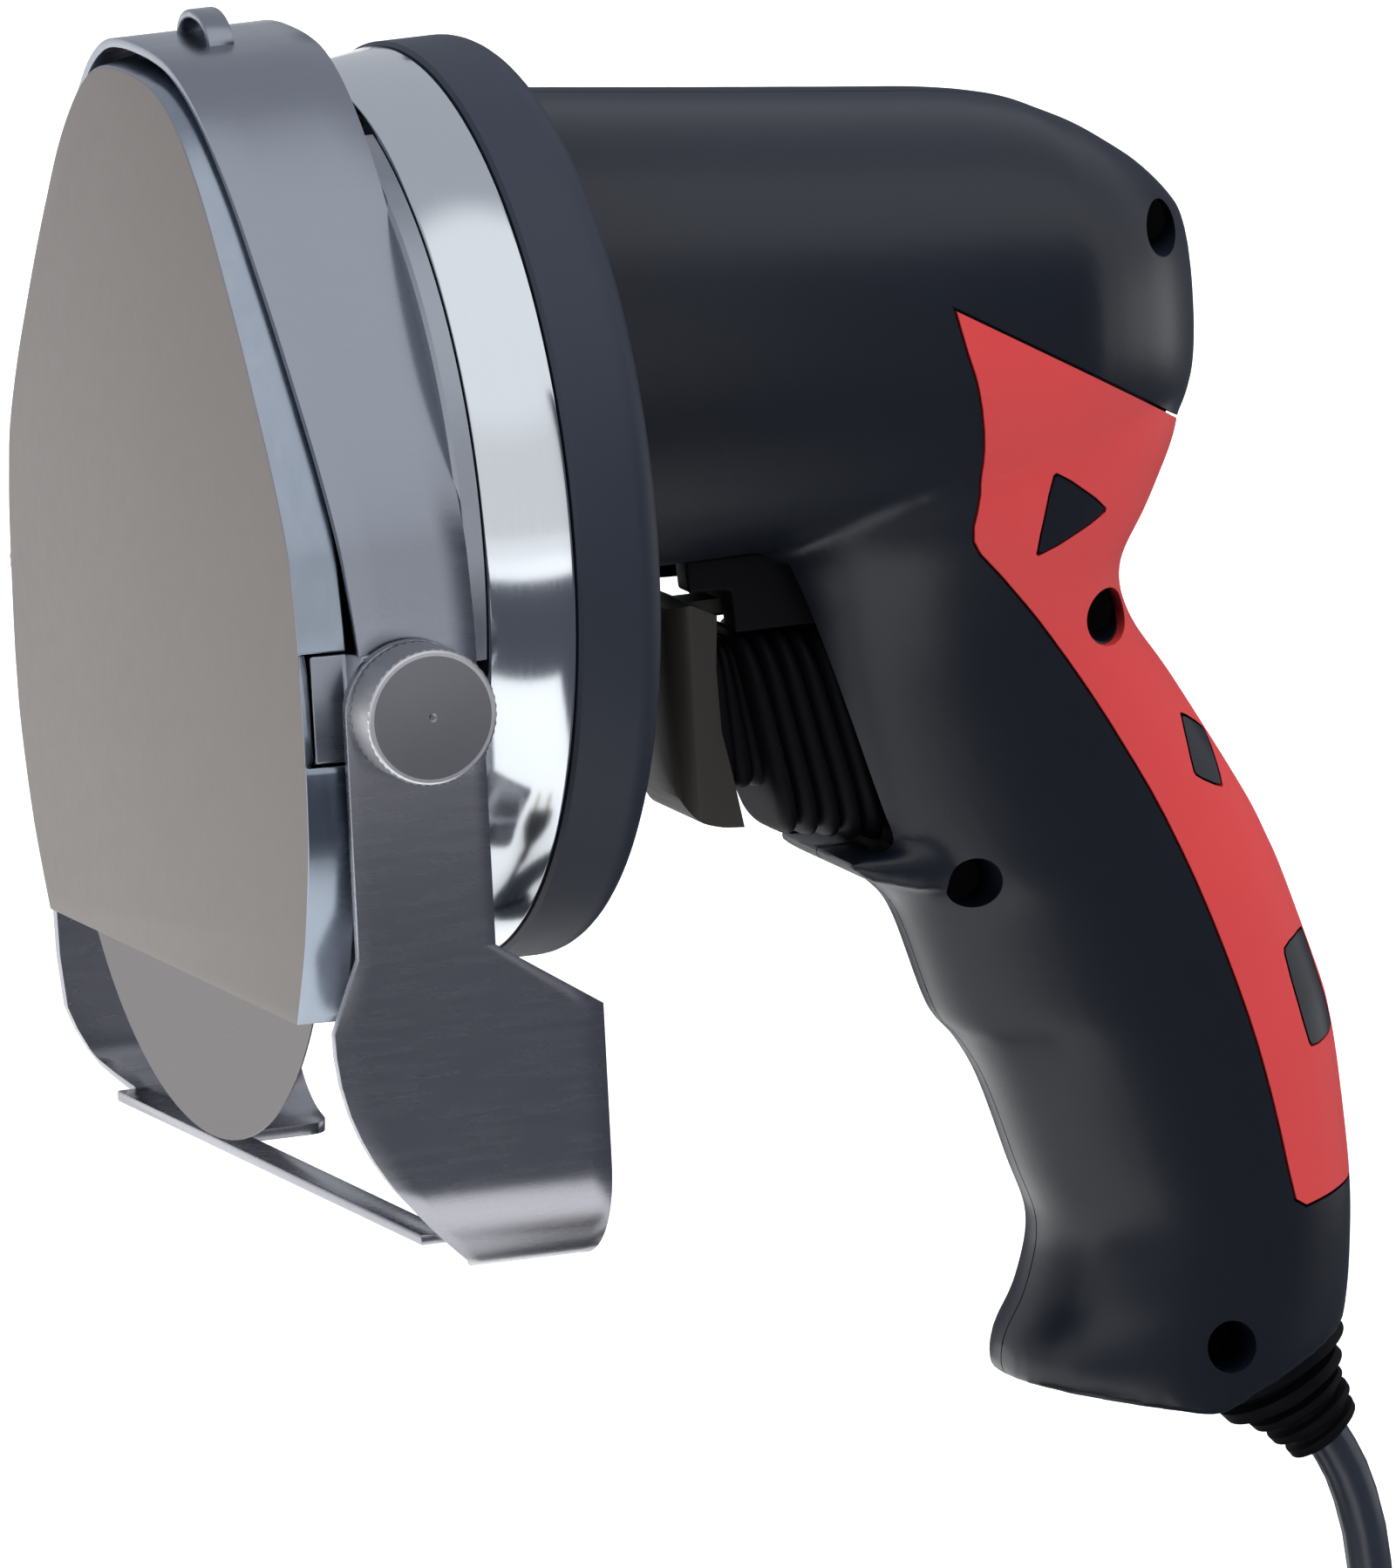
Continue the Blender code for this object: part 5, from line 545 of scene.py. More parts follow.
def moulded(name, colour, lighter, rough, scale, strength, specular):
    """Moulded plastic or rubber with a fine spark-eroded grain and a faint change of tone."""
    made = Finish(name)
    broad = made.noise(35.0, detail=3.0)
    fine = made.noise(scale, detail=2.0)
    tone = made.mix(broad * 0.7 + fine * 0.3, colour, lighter)
    roughness = (broad + fine) * ((rough[1] - rough[0]) / 2) + rough[0]
    return made.shade(tone, roughness, 0.0, fine, strength, Specular_IOR_Level=specular)


def finishes():
    """One material for each finish of the record, and a few more for the pieces modelled here."""
    colours = bpy.context.scene.slicer_colours
    made = {name: metal(name.replace("_", " "), *row) for name, row in METALS.items()}
    for name, row in MOULDINGS.items():
        made[name] = moulded(name.replace("_", " "), *row)
    for name, label, colour, low, high, *row in (
        ("black_plastic", "black plastic", colours.housing, 1.0, 1.25, (0.31, 0.39), 1500.0, 0.12, 0.40),
        ("collar_plastic", "collar plastic", colours.housing, 2.1, 2.6, (0.48, 0.60), 2200.0, 0.2, 0.40),
        ("red_rubber", "red rubber", colours.inlay, 1.0, 1.08, (0.50, 0.62), 2000.0, 0.15, 0.35),
        ("grey_trigger", "trigger plastic", colours.trigger, 1.0, 1.3, (0.42, 0.55), 1600.0, 0.1, 0.4),
    ):
        tones = [tuple(min(1.0, value * share) for value in colour) for share in (low, high)]
        made[name] = moulded(label, *tones, *row)
    return made


FINISHES = {}


def finish_named(name):
    if not FINISHES:
        FINISHES.update(finishes())
    return FINISHES[name]


# Modelling helpers


def deselect():
    if bpy.context.mode != "OBJECT":
        bpy.ops.object.mode_set(mode="OBJECT")
    bpy.ops.object.select_all(action="DESELECT")


def pick(piece):
    deselect()
    piece.select_set(True)
    bpy.context.view_layer.objects.active = piece


def edit(piece):
    """Opens a piece in edit mode, all selected."""
    pick(piece)
    bpy.ops.object.mode_set(mode="EDIT")
    bpy.ops.mesh.select_all(action="SELECT")


def close_edit():
    bpy.ops.mesh.select_all(action="SELECT")
    bpy.ops.mesh.normals_make_consistent(inside=False)
    bpy.ops.object.mode_set(mode="OBJECT")


def ring(name, points, fill="NOTHING"):
    """A circle whose points are dragged to the given places."""
    deselect()
    bpy.ops.mesh.primitive_circle_add(vertices=len(points), radius=1.0, fill_type=fill)
    made = bpy.context.object
    made.name = name
    made.data.name = name
    for vertex, place in zip(made.data.vertices, points):
        vertex.co = place
    return made


def extrude_along(piece, rows, order):
    """Extrudes the selected edges row by row, dragging each point to its place."""
    for places in rows:
        bpy.ops.mesh.extrude_region_move()
        shape = bmesh.from_edit_mesh(piece.data)
        shape.verts.ensure_lookup_table()
        fresh = []
        for index, place in zip(order, places):
            corner = shape.verts[index]
            others = [edge.other_vert(corner) for edge in corner.link_edges]
            fresh.append((next(other for other in others if other.select), place))
        for twin, place in fresh:
            twin.co = place
        shape.verts.index_update()
        order = [twin.index for twin, place in fresh]
        bmesh.update_edit_mesh(piece.data)


def skin(name, rings):
    """A closed solid through rings of points."""
    made = ring(name, rings[0])
    edit(made)
    extrude_along(made, rings[1:], list(range(len(rings[0]))))
    bpy.ops.mesh.edge_face_add()
    bpy.ops.mesh.select_all(action="DESELECT")
    bpy.ops.mesh.select_non_manifold()
    bpy.ops.mesh.edge_face_add()
    close_edit()
    return made


def strip(name, path, rows):
    """An open sheet: a line of points, extruded along further rows."""
    made = ring(name, path)
    edit(made)
    bpy.ops.mesh.select_all(action="DESELECT")
    shape = bmesh.from_edit_mesh(made.data)
    shape.verts.ensure_lookup_table()
    last = shape.verts[len(path) - 1]
    closing = next(edge for edge in last.link_edges if edge.other_vert(last).index == 0)
    closing.select_set(True)
    bmesh.update_edit_mesh(made.data)
    bpy.ops.mesh.delete(type="EDGE")
    bpy.ops.mesh.select_all(action="SELECT")
    extrude_along(made, rows, list(range(len(path))))
    bpy.ops.mesh.select_all(action="SELECT")
    bpy.ops.object.mode_set(mode="OBJECT")
    return made


def prism(name, outline, axis, start, end):
    """A closed outline pushed along an axis. Its pairs are the other two axes, in order."""
    slot = "XYZ".index(axis)
    points = []
    for pair in outline:
        place = list(pair)
        place.insert(slot, start)
        points.append(place)
    made = ring(name, points, "NGON")
    edit(made)
    move = [0.0, 0.0, 0.0]
    move[slot] = end - start
    bpy.ops.mesh.extrude_region_move(TRANSFORM_OT_translate={"value": move})
    close_edit()
    return made


def block(name, low, high):
    outline = [(low[0], low[1]), (high[0], low[1]), (high[0], high[1]), (low[0], high[1])]
    return prism(name, outline, "Z", low[2], high[2])


def turned(name, profile, centre, axis="Y", steps=96):
    """A closed profile of radius and height, spun round an axis through the centre."""
    if axis == "Y":
        points = [(radius, height, 0.0) for radius, height in profile]
    else:
        points = [(height, radius, 0.0) for radius, height in profile]
    made = ring(name, points)
    edit(made)
    line = (0.0, 1.0, 0.0) if axis == "Y" else (1.0, 0.0, 0.0)
    bpy.ops.mesh.spin(steps=steps, angle=2 * math.pi, center=(0.0, 0.0, 0.0), axis=line)
    bpy.ops.mesh.select_all(action="SELECT")
    bpy.ops.mesh.remove_doubles(threshold=MERGE)
    bpy.ops.mesh.select_all(action="SELECT")
    bpy.ops.transform.translate(value=centre)
    close_edit()
    return made


def rod(name, radius, start, end, centre=(0.0, 0.0, 0.0), axis="Y", steps=64):
    """A plain cylinder from start to end along an axis through the centre."""
    return turned(name, [(0.0, start), (radius, start), (radius, end), (0.0, end)], centre, axis, steps)


def modify(piece, kind, **settings):
    """Adds a modifier with its settings, and applies it."""
    modifier = piece.modifiers.new(kind.title(), kind)
    for key, value in settings.items():
        setattr(modifier, key, value)
    pick(piece)
    bpy.ops.object.modifier_apply(modifier=modifier.name)
    return piece


def combine(piece, tool, operation="DIFFERENCE"):
    modify(piece, "BOOLEAN", operation=operation, solver="EXACT", object=tool)
    bpy.data.objects.remove(tool, do_unlink=True)
    return piece


def soften(piece, width, segments=2, angle=40):
    return modify(
        piece, "BEVEL", width=width, segments=segments, limit_method="ANGLE",
        angle_limit=math.radians(angle), harden_normals=False, miter_outer="MITER_ARC",
    )


def twin_of(piece, name):
    """A copy with a mesh of its own."""
    made = piece.copy()
    made.data = piece.data.copy()
    made.name = name
    bpy.context.scene.collection.objects.link(made)
    return made


def join(first, *others):
    deselect()
    for piece in (first, *others):
        piece.select_set(True)
    bpy.context.view_layer.objects.active = first
    bpy.ops.object.join()
    return first


def settle(piece, body, finish_name, nodes, angle=32, moved=True):
    """Carries a piece to the part's frame, gives it its finish and its body, and hides the nodes it stands
    for.
    """
    if moved:
        pick(piece)
        bpy.ops.transform.translate(value=HEAD)
        bpy.ops.object.transform_apply(location=True, rotation=True, scale=True)
    if piece.type == "MESH":
        pick(piece)
        bpy.ops.object.shade_smooth_by_angle(angle=math.radians(angle))
    piece.data.materials.clear()
    piece.data.materials.append(finish_named(finish_name))
    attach(piece, body)
    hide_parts(*nodes)
    return piece


# Curves and outlines


def smooth_rows(rows, steps):
    """Rows of numbers on a smooth curve through the given ones."""
    ends = [rows[0], *rows, rows[-1]]
    found = []
    for before, here, after, beyond in zip(ends, ends[1:], ends[2:], ends[3:]):
        for step in range(steps):
            t = step / steps
            found.append(tuple(
                0.5 * (2 * b + (c - a) * t + (2 * a - 5 * b + 4 * c - d) * t * t
                       + (3 * b - a - 3 * c + d) * t * t * t)
                for a, b, c, d in zip(before, here, after, beyond)
            ))
    return [*found, tuple(rows[-1])]


def offset_outline(outline, distance):
    """A closed outline moved outwards by a distance, whichever way round it runs."""
    count = len(outline)
    area = sum(a[0] * b[1] - b[0] * a[1] for a, b in zip(outline, outline[1:] + outline[:1]))
    turn = 1 if area > 0 else -1
    moved = []
    for index, point in enumerate(outline):
        here = Vector(point)
        back = (here - Vector(outline[index - 1])).normalized()
        ahead = (Vector(outline[(index + 1) % count]) - here).normalized()
        normal = Vector((back.y + ahead.y, -back.x - ahead.x)).normalized() * turn
        stretch = max(0.4, Vector((back.y, -back.x)).dot(normal) * turn)
        moved.append(tuple(here + normal * distance / stretch))
    return moved


def round_corners(outline, share=0.09, passes=2):
    """Cuts the corners of a closed outline again and again."""
    for _ in range(passes):
        cut = []
        for here, after in zip(outline, outline[1:] + outline[:1]):
            start = Vector(here)
            way = Vector(after) - start
            cut.append(tuple(start + way * share))
            cut.append(tuple(start + way * (1 - share)))
        outline = cut
        share = 0.25
    return outline


def oval(half_a, half_b, power, count):
    points = []
    for index in range(count):
        angle = 2 * math.pi * index / count
        a = math.cos(angle)
        b = math.sin(angle)
        points.append((
            half_a * math.copysign(abs(a) ** (2 / power), a),
            half_b * math.copysign(abs(b) ** (2 / power), b),
        ))
    return points


def handle_y(share):
    return COLLAR_REAR + HANDLE_LENGTH * share


def grip_z(share):
    return GRIP_TOP - GRIP_LENGTH * share


def on_handle(shares):
    return [(handle_y(along), grip_z(down)) for along, down in shares]


def half_turn(steps):
    return [math.pi * step / steps for step in range(steps + 1)]


# Cover, band, knife, drum and collar


def both_sides(half):
    """A closed outline from its right half, which starts at the top on the middle plane."""
    return half + [(-x, z) for x, z in half[:0:-1]]


def shield_half(grow):
    """Half of the head's outline, from the top down, moved outwards."""
    height = PLATE_TOP + PLATE_BOTTOM
    rows = smooth_rows(SHIELD_SHARES, 4)
    half = [(PLATE_HALF_WIDTH * x, PLATE_TOP - height * (1 - z)) for x, z in rows]
    return offset_outline(both_sides(half), grow)[:len(half)]


def with_heights(line, heights):
    """Adds a point to a line wherever it passes one of the heights."""
    made = [line[0]]
    for here, after in zip(line, line[1:]):
        for height in sorted(heights, reverse=here[1] > after[1]):
            if min(here[1], after[1]) + MERGE < height < max(here[1], after[1]) - MERGE:
                part = (height - here[1]) / (after[1] - here[1])
                made.append((here[0] + part * (after[0] - here[0]), height))
        made.append(after)
    return made


def upper_half(grow, foot):
    """Half of the head's outline, cut off at a foot below the knife's axis."""
    return [point for point in with_heights(shield_half(grow), (-foot,)) if point[1] >= -foot - MERGE]


def make_cover_plate():
    """The sheet cover: a flat face, with a rim folded back all round but at the foot and at the tabs."""
    outline = both_sides(with_heights(shield_half(0.0), (TAB_LOW - SEAT_GAP, TAB_HIGH + SEAT_GAP)))
    plate = ring("cover_sheet", [(x, 0.0, z) for x, z in outline], "NGON")
    edit(plate)
    bpy.ops.mesh.select_mode(type="EDGE")
    bpy.ops.mesh.select_all(action="DESELECT")
    shape = bmesh.from_edit_mesh(plate.data)
    for edge in shape.edges:
        middle = (edge.verts[0].co + edge.verts[1].co) / 2
        at_foot = middle.z < -PLATE_BOTTOM + MERGE
        at_tab = TAB_LOW - SEAT_GAP < middle.z < TAB_HIGH + SEAT_GAP and abs(middle.x) > TAB_HIGH
        edge.select_set(not at_foot and not at_tab)
    bmesh.update_edit_mesh(plate.data)
    bpy.ops.mesh.extrude_region_move(TRANSFORM_OT_translate={"value": (0.0, PLATE_RIM, 0.0)})
    bpy.ops.mesh.select_mode(type="VERT")
    shape = bmesh.from_edit_mesh(plate.data)
    flared = dict(zip(outline, offset_outline(outline, PLATE_FLARE)))
    for vertex in shape.verts:
        if vertex.select:
            place = vertex.co
            near = min(flared, key=lambda pair: abs(pair[0] - place.x) + abs(pair[1] - place.z))
            wide, high = flared[near]
            vertex.co.x = wide
            vertex.co.z = max(high, -PLATE_BOTTOM)
    bmesh.update_edit_mesh(plate.data)
    close_edit()
    outward(plate, lambda face: face.normal.y < -FACING)
    modify(plate, "SOLIDIFY", thickness=SHEET, offset=-1.0)
    soften(plate, PLATE_EDGE, 3)
    settle(plate, "handle", "brushed_sheet", ["cover_plate"])
    # The rim's faces, picked by which way they face, get a lighter and bluer copy of the sheet's finish: a
    # painted reflection.
    plate.data.materials.append(finish_named("rim_polish_and_painted_sheen"))
    for polygon in plate.data.polygons:
        polygon.material_index = 0 if abs(polygon.normal.y) > FACING else 1


def outward(piece, test):
    """Turns an open sheet over unless a face that passes the test exists."""
    if not any(test(face) for face in piece.data.polygons):
        edit(piece)
        bpy.ops.mesh.flip_normals()
        bpy.ops.object.mode_set(mode="OBJECT")


def band_front(height):
    return BAND_FRONT_AT_TOP + (PLATE_TOP + BAND_GAP + SHEET - height) * BAND_SLOPE


def make_guard_band():
    """The strip round the head, with a slanting front edge, a folded tab each side and a loop on top."""
    grow = BAND_GAP + SHEET
    half = upper_half(grow, BAND_FOOT)
    line = [(-x, z) for x, z in half[:0:-1]] + half
    rows = []
    for step in range(5):
        share = step / 4
        rows.append([(x, band_front(z) * (1 - share) + BAND_REAR * share, z) for x, z in line])
    band = strip("band_strip", rows[0], rows[1:])
    outward(band, lambda face: face.normal.z > FACING)
    modify(band, "SOLIDIFY", thickness=SHEET, offset=-1.0)
    for side in (-1, 1):
        combine(band, thumb_hole(side))
    soften(band, SHEET_EDGE)
    outer = PLATE_HALF_WIDTH + grow
    root = band_front(TAB_LOW) + TAB_REACH
    tip = SHEET + SEAT_GAP
    corners = [
        (outer, root), (outer, PLATE_RIM + SHEET), (PLATE_HALF_WIDTH, PLATE_RIM), (PLATE_HALF_WIDTH, tip),
        (PLATE_HALF_WIDTH - SHEET, tip), (PLATE_HALF_WIDTH - SHEET, PLATE_RIM + SHEET),
        (outer - SHEET, PLATE_RIM + 2 * SHEET), (outer - SHEET, root),
    ]
    parts = []
    for side in (-1, 1):
        tab = prism("tab", [(side * x, y) for x, y in corners], "Z", TAB_LOW, TAB_HIGH)
        parts.append(soften(tab, TAB_EDGE, 3, 30))
    base = PLATE_TOP + BAND_GAP + SHEET / 2
    loop = [(LUG_HALF_WIDTH * math.cos(a), base + LUG_RISE * math.sin(a)) for a in half_turn(20)]
    loop += [
        ((LUG_HALF_WIDTH - SHEET) * math.cos(a), base + (LUG_RISE - SHEET) * math.sin(a))
        for a in reversed(half_turn(20))
    ]
    parts.append(soften(prism("loop", loop, "Y", LUG_FRONT, LUG_FRONT + LUG_DEPTH), SHEET_EDGE, 2, 50))
    join(band, *parts)
    return settle(band, "handle", "satin_band", ["guard_band"])


def make_knife():
    """The round knife, ground from behind, with a fine second bevel at its edge."""
    ground = BLADE_RADIUS - BLADE_GROUND
    profile = [
        (BLADE_BORE, BLADE_FRONT), (BLADE_RADIUS, BLADE_FRONT), (BLADE_RADIUS, BLADE_FRONT + BLADE_EDGE),
        (BLADE_RADIUS - 3 * BLADE_EDGE, BLADE_FRONT + 2 * BLADE_EDGE), (ground, BLADE_REAR),
        (BLADE_BORE, BLADE_REAR),
    ]
    knife = turned("knife", profile, (0.0, 0.0, 0.0), steps=FINE_STEPS)
    return settle(knife, "blade_unit", "knife_steel", ["blade"], 3)


def out_of_round(piece):
    """Makes a round piece a little taller than wide, as the real drum is."""
    edit(piece)
    bpy.ops.transform.resize(value=DRUM_OVAL, center_override=(0.0, 0.0, DRUM_CENTRE))
    close_edit()
    return piece


def make_drum():
    """The polished drum with rolled edges, open round the two bearings."""
    inner = DRUM_FRONT_RADIUS - DRUM_WALL
    wall = DRUM_REAR - DRUM_WALL
    roll = DRUM_ROLL
    profile = [
        (0.0, wall), (inner, wall), (inner, DRUM_FRONT), (DRUM_FRONT_RADIUS - roll, DRUM_FRONT),
        (DRUM_FRONT_RADIUS - roll / 4, DRUM_FRONT + roll / 3),
        (DRUM_FRONT_RADIUS + roll / 4, DRUM_FRONT + roll),
        (DRUM_RADIUS - roll / 8, DRUM_REAR - roll), (DRUM_RADIUS - roll / 3, DRUM_REAR - roll / 4),
        (DRUM_RADIUS - roll, DRUM_REAR), (0.0, DRUM_REAR),
    ]
    drum = out_of_round(turned("drum", profile, (0.0, 0.0, DRUM_CENTRE), steps=FINE_STEPS))
    for radius, height in ((REAR_SEAT_RADIUS, 0.0), (MOTOR_SEAT_RADIUS, MOTOR_HEIGHT)):
        centre = (0.0, 0.0, height)
        combine(drum, rod("hole", radius, DRUM_FRONT + DRUM_WALL, DRUM_REAR + DRUM_WALL, centre, steps=48))
    return settle(drum, "handle", "polished_drum", ["gear_case"])


def barrel_row(y, top, bottom, half, sides, grow=0.0):
    middle = MOTOR_HEIGHT + (top + bottom) / 2 * BARREL_RADIUS
    height = (top - bottom) / 2 * BARREL_RADIUS + grow
    return [(x, y, middle + z) for x, z in oval(half * BARREL_RADIUS + grow, height, BARREL_POWER, sides)]


def make_collar():
    """The black ring behind the drum, rounded at its rear edge, with the barrel's opening."""
    inner = COLLAR_RADIUS - COLLAR_WALL
    start = COLLAR_RADIUS - COLLAR_FILLET
    curve = [
        (start + COLLAR_FILLET * math.cos(a), COLLAR_REAR - COLLAR_FILLET + COLLAR_FILLET * math.sin(a))
        for a in half_turn(16)[:9]
    ]
    back = COLLAR_REAR - COLLAR_BACK
    edge = COLLAR_EDGE
    profile = [
        (0.0, back), (inner, back), (inner, COLLAR_FRONT), (COLLAR_RADIUS - edge, COLLAR_FRONT),
        (COLLAR_RADIUS, COLLAR_FRONT + edge), *curve, (0.0, COLLAR_REAR),
    ]
    collar = out_of_round(turned("collar", profile, (0.0, 0.0, DRUM_CENTRE), steps=FINE_STEPS))
    row = [(x, z) for x, y, z in barrel_row(0.0, *BARREL_SHARES[0][1:], GRIP_SIDES, SEAT_GAP)]
    combine(collar, prism("opening", row, "Y", back - edge, COLLAR_REAR + edge))
    return settle(collar, "handle", "collar_plastic", ["collar_ring"])


# Housing and inlay


def barrel_solid():
    rows = smooth_rows(BARREL_SHARES, 5)
    rings = [barrel_row(BARREL_START, *rows[0][1:], BARREL_SIDES)]
    rings += [barrel_row(handle_y(share), *row, BARREL_SIDES) for share, *row in rows]
    return skin("barrel", rings)


def grip_solid():
    """The grip with its finger grooves, cut off at its two base planes."""
    rings = []
    for drop, front, back, half in smooth_rows(GRIP_SHARES, 4):
        near = handle_y(front)
        far = handle_y(back)
        section = oval(GRIP_HALF_WIDTH * half, (far - near) / 2, GRIP_POWER, GRIP_SIDES)
        rings.append([(x, y + (near + far) / 2, grip_z(drop)) for x, y in section])
    grip = skin("grip", rings)
    lip = Vector((0.0, *on_handle([BASE_LIP])[0]))
    corner = Vector((0.0, *on_handle([BASE_CORNER])[0]))
    slope = (corner - lip).normalized()
    for normal in ((0.0, slope.z, -slope.y), (0.0, math.sin(BASE_LEAN), -math.cos(BASE_LEAN))):
        edit(grip)
        bpy.ops.mesh.bisect(plane_co=corner, plane_no=normal, use_fill=True, clear_outer=True)
        close_edit()
    return grip


def moulding():
    """Barrel and grip grown into one moulding, with the corners between them filled."""
    sizes = bpy.context.scene.slicer_sizes
    lip = soften(prism("lip", LIP_OUTLINE, "X", -LIP_HALF_WIDTH, LIP_HALF_WIDTH), SHEET, 3, 60)
    body = join(barrel_solid(), grip_solid(), lip)
    modify(body, "REMESH", mode="VOXEL", voxel_size=sizes.moulding_step, adaptivity=0.0)
    modify(body, "SMOOTH", factor=0.5, iterations=sizes.fillet_passes)
    return body


def front_line(height, back):
    """A point behind the grip's slanting upper front, at a height."""
    share = (GRIP_TOP - height) / GRIP_LENGTH
    for low, high in zip(GRIP_SHARES, GRIP_SHARES[1:]):
        if share <= high[0]:
            part = (share - low[0]) / (high[0] - low[0])
            return handle_y(low[1] + part * (high[1] - low[1])) + back
    return handle_y(GRIP_SHARES[-1][1]) + back


def pocket_prism():
    fall = (POCKET_TOP + POCKET_BOTTOM) / POCKET_STEPS
    heights = [POCKET_TOP - fall * step for step in range(POCKET_STEPS + 1)]
    outside = [(front_line(height, -BARREL_RADIUS / 3), height) for height in heights]
    floor = [(front_line(height, POCKET_DEPTH), height) for height in heights]
    return prism("pocket", outside + floor[::-1], "X", -POCKET_HALF_WIDTH, POCKET_HALF_WIDTH)


def well(radius, start):
    """The four screw wells as one tool."""
    centres = [(0.0, y, z) for y, z in on_handle(SCREW_SHARES)]
    return join(*[rod("well", radius, start, 2 * BARREL_RADIUS, centre, "X", 40) for centre in centres])


def inlay_prism(grow, reach, openings=0.0):
    """The inlay's outline as a solid across the handle, less its three windows."""
    outline = smooth_rows(INLAY_FRONT_SHARES, 3) + INLAY_BACK_SHARES
    made = prism("inlay", offset_outline(on_handle(outline), grow), "X", -reach, reach)
    windows = []
    for shares in WINDOW_SHARES:
        corners = round_corners(offset_outline(on_handle(shares), openings))
        windows.append(prism("window", corners, "X", -2 * reach, 2 * reach))
    return combine(made, join(*windows))


def half_of(whole, name, side):
    """One side of a moulding, half the split gap off the middle plane."""
    half = twin_of(whole, name)
    edit(half)
    bpy.ops.mesh.bisect(
        plane_co=(side * SPLIT_GAP / 2, 0.0, 0.0), plane_no=(-side, 0.0, 0.0),
        use_fill=True, clear_outer=True,
    )
    close_edit()
    return half


def make_housing():
    """Housing halves and the inlay halves that lie in them."""
    body = moulding()
    core = modify(twin_of(body, "core"), "DISPLACE", strength=-INLAY_DEPTH, mid_level=0.0)
    inlay = twin_of(body, "inlay_body")
    combine(inlay, inlay_prism(-INLAY_GROOVE, 2 * BARREL_RADIUS, WINDOW_GROOVE), "INTERSECT")
    combine(inlay, twin_of(core, "core_tool"))
    recess = combine(inlay_prism(0.0, 2 * BARREL_RADIUS), core)
    combine(body, recess)
    combine(inlay, well(SCREW_WELL_RADIUS + WINDOW_GROOVE, 0.0))
    combine(body, well(SCREW_WELL_RADIUS, SCREW_SEAT))
    combine(body, pocket_prism())
    for room in (WINDOW_ROOM, SWITCH_ROOM):
        combine(body, block("room", *room))
    start = BARREL_START - RUNNING_GAP
    (wide, step), (narrow, end) = MOTOR_ROOMS
    profile = [(0.0, start), (wide, start), (wide, step), (narrow, step), (narrow, end), (0.0, end)]
    combine(body, turned("room", profile, (0.0, 0.0, MOTOR_HEIGHT), steps=64))
    for name, side in SIDES:
        settle(half_of(body, f"shell_{name}", side), "handle", "black_plastic", [f"housing_{name}"], 38)
        settle(half_of(inlay, f"inlay_{name}", side), "handle", "red_rubber", [f"soft_grip_{name}"], 38)
    bpy.data.objects.remove(body, do_unlink=True)
    bpy.data.objects.remove(inlay, do_unlink=True)


# Trigger and boot


def trigger_side(shares, inset=0.0):
    return [
        (TRIGGER_FRONT + inset + TRIGGER_DEPTH * along, TRIGGER_TOP - TRIGGER_HEIGHT * down)
        for along, down in shares
    ]


def trigger_plan(inset):
    """The trigger's outline from above: straight sides and a rounded nose."""
    half = TRIGGER_HALF_WIDTH - inset
    arc = [
        (half * math.cos(a), TRIGGER_FRONT + inset + TRIGGER_NOSE * (1 - math.sin(a)))
        for a in half_turn(24)
    ]
    outline = [(half, PIVOT[0]), *arc, (-half, PIVOT[0])]
    return prism("plan", outline, "Z", -TRIGGER_HEIGHT, PIVOT[1])


def make_trigger():
    """The hollow trigger cap with its arm, its eye and the finger that pushes the switch."""
    outline = smooth_rows(trigger_side(TRIGGER_FRONT_SHARES), 5) + trigger_side(TRIGGER_BACK_SHARES)
    cap = prism("trigger_cap", outline, "X", -TRIGGER_HALF_WIDTH, TRIGGER_HALF_WIDTH)
    combine(cap, trigger_plan(0.0), "INTERSECT")
    soften(cap, TRIGGER_EDGE, 4, 50)
    rear = TRIGGER_FRONT + TRIGGER_DEPTH
    top = TRIGGER_TOP - TRIGGER_WALL
    front = smooth_rows(trigger_side(TRIGGER_FRONT_SHARES[:-2], TRIGGER_WALL), 4)
    inside = [(y, min(z, top)) for y, z in front] + [(rear + SHEET, front[-1][1]), (rear + SHEET, top)]
    half = TRIGGER_HALF_WIDTH - TRIGGER_WALL
    hollow = prism("hollow", inside, "X", -half, half)
    combine(cap, combine(hollow, trigger_plan(TRIGGER_WALL), "INTERSECT"))
    low = BOOT_TOP + 4 * RUNNING_GAP
    inner = TRIGGER_FRONT + TRIGGER_WALL / 2
    arm = [
        (inner + TRIGGER_WALL, TRIGGER_TOP - TRIGGER_WALL / 2), (inner + TRIGGER_WALL, low),
        (PIVOT[0] - ARM_KNEE, low), (PIVOT[0], PIVOT[1] - EYE_RADIUS), PIVOT,
        (PIVOT[0] - ARM_KNEE / 2, PIVOT[1]), (rear, TRIGGER_TOP - TRIGGER_WALL / 2),
    ]
    combine(cap, prism("arm", arm, "X", -ARM_HALF_WIDTH, ARM_HALF_WIDTH), "UNION")
    combine(cap, block(
        "finger", (-FINGER_HALF[0], inner, FINGER_HEIGHT - FINGER_HALF[1]),
        (FINGER_HALF[0], FINGER_END, FINGER_HEIGHT + FINGER_HALF[1]),
    ), "UNION")
    width = ARM_HALF_WIDTH
    eye = [(PIN_BORE, -width), (EYE_RADIUS, -width), (EYE_RADIUS, width), (PIN_BORE, width)]
    combine(cap, rod("hole", PIN_BORE, -half, half, (0.0, *PIVOT), "X", 32))
    combine(cap, turned("eye", eye, (0.0, *PIVOT), "X", 32), "UNION")
    return settle(cap, "trigger", "grey_trigger", ["trigger"], 38)


def fold_start(height):
    """Where the folds begin at a height: just behind the pulled trigger."""
    top, lean = BOOT_FOLD_START
    return top + (BOOT_TOP - height) * lean


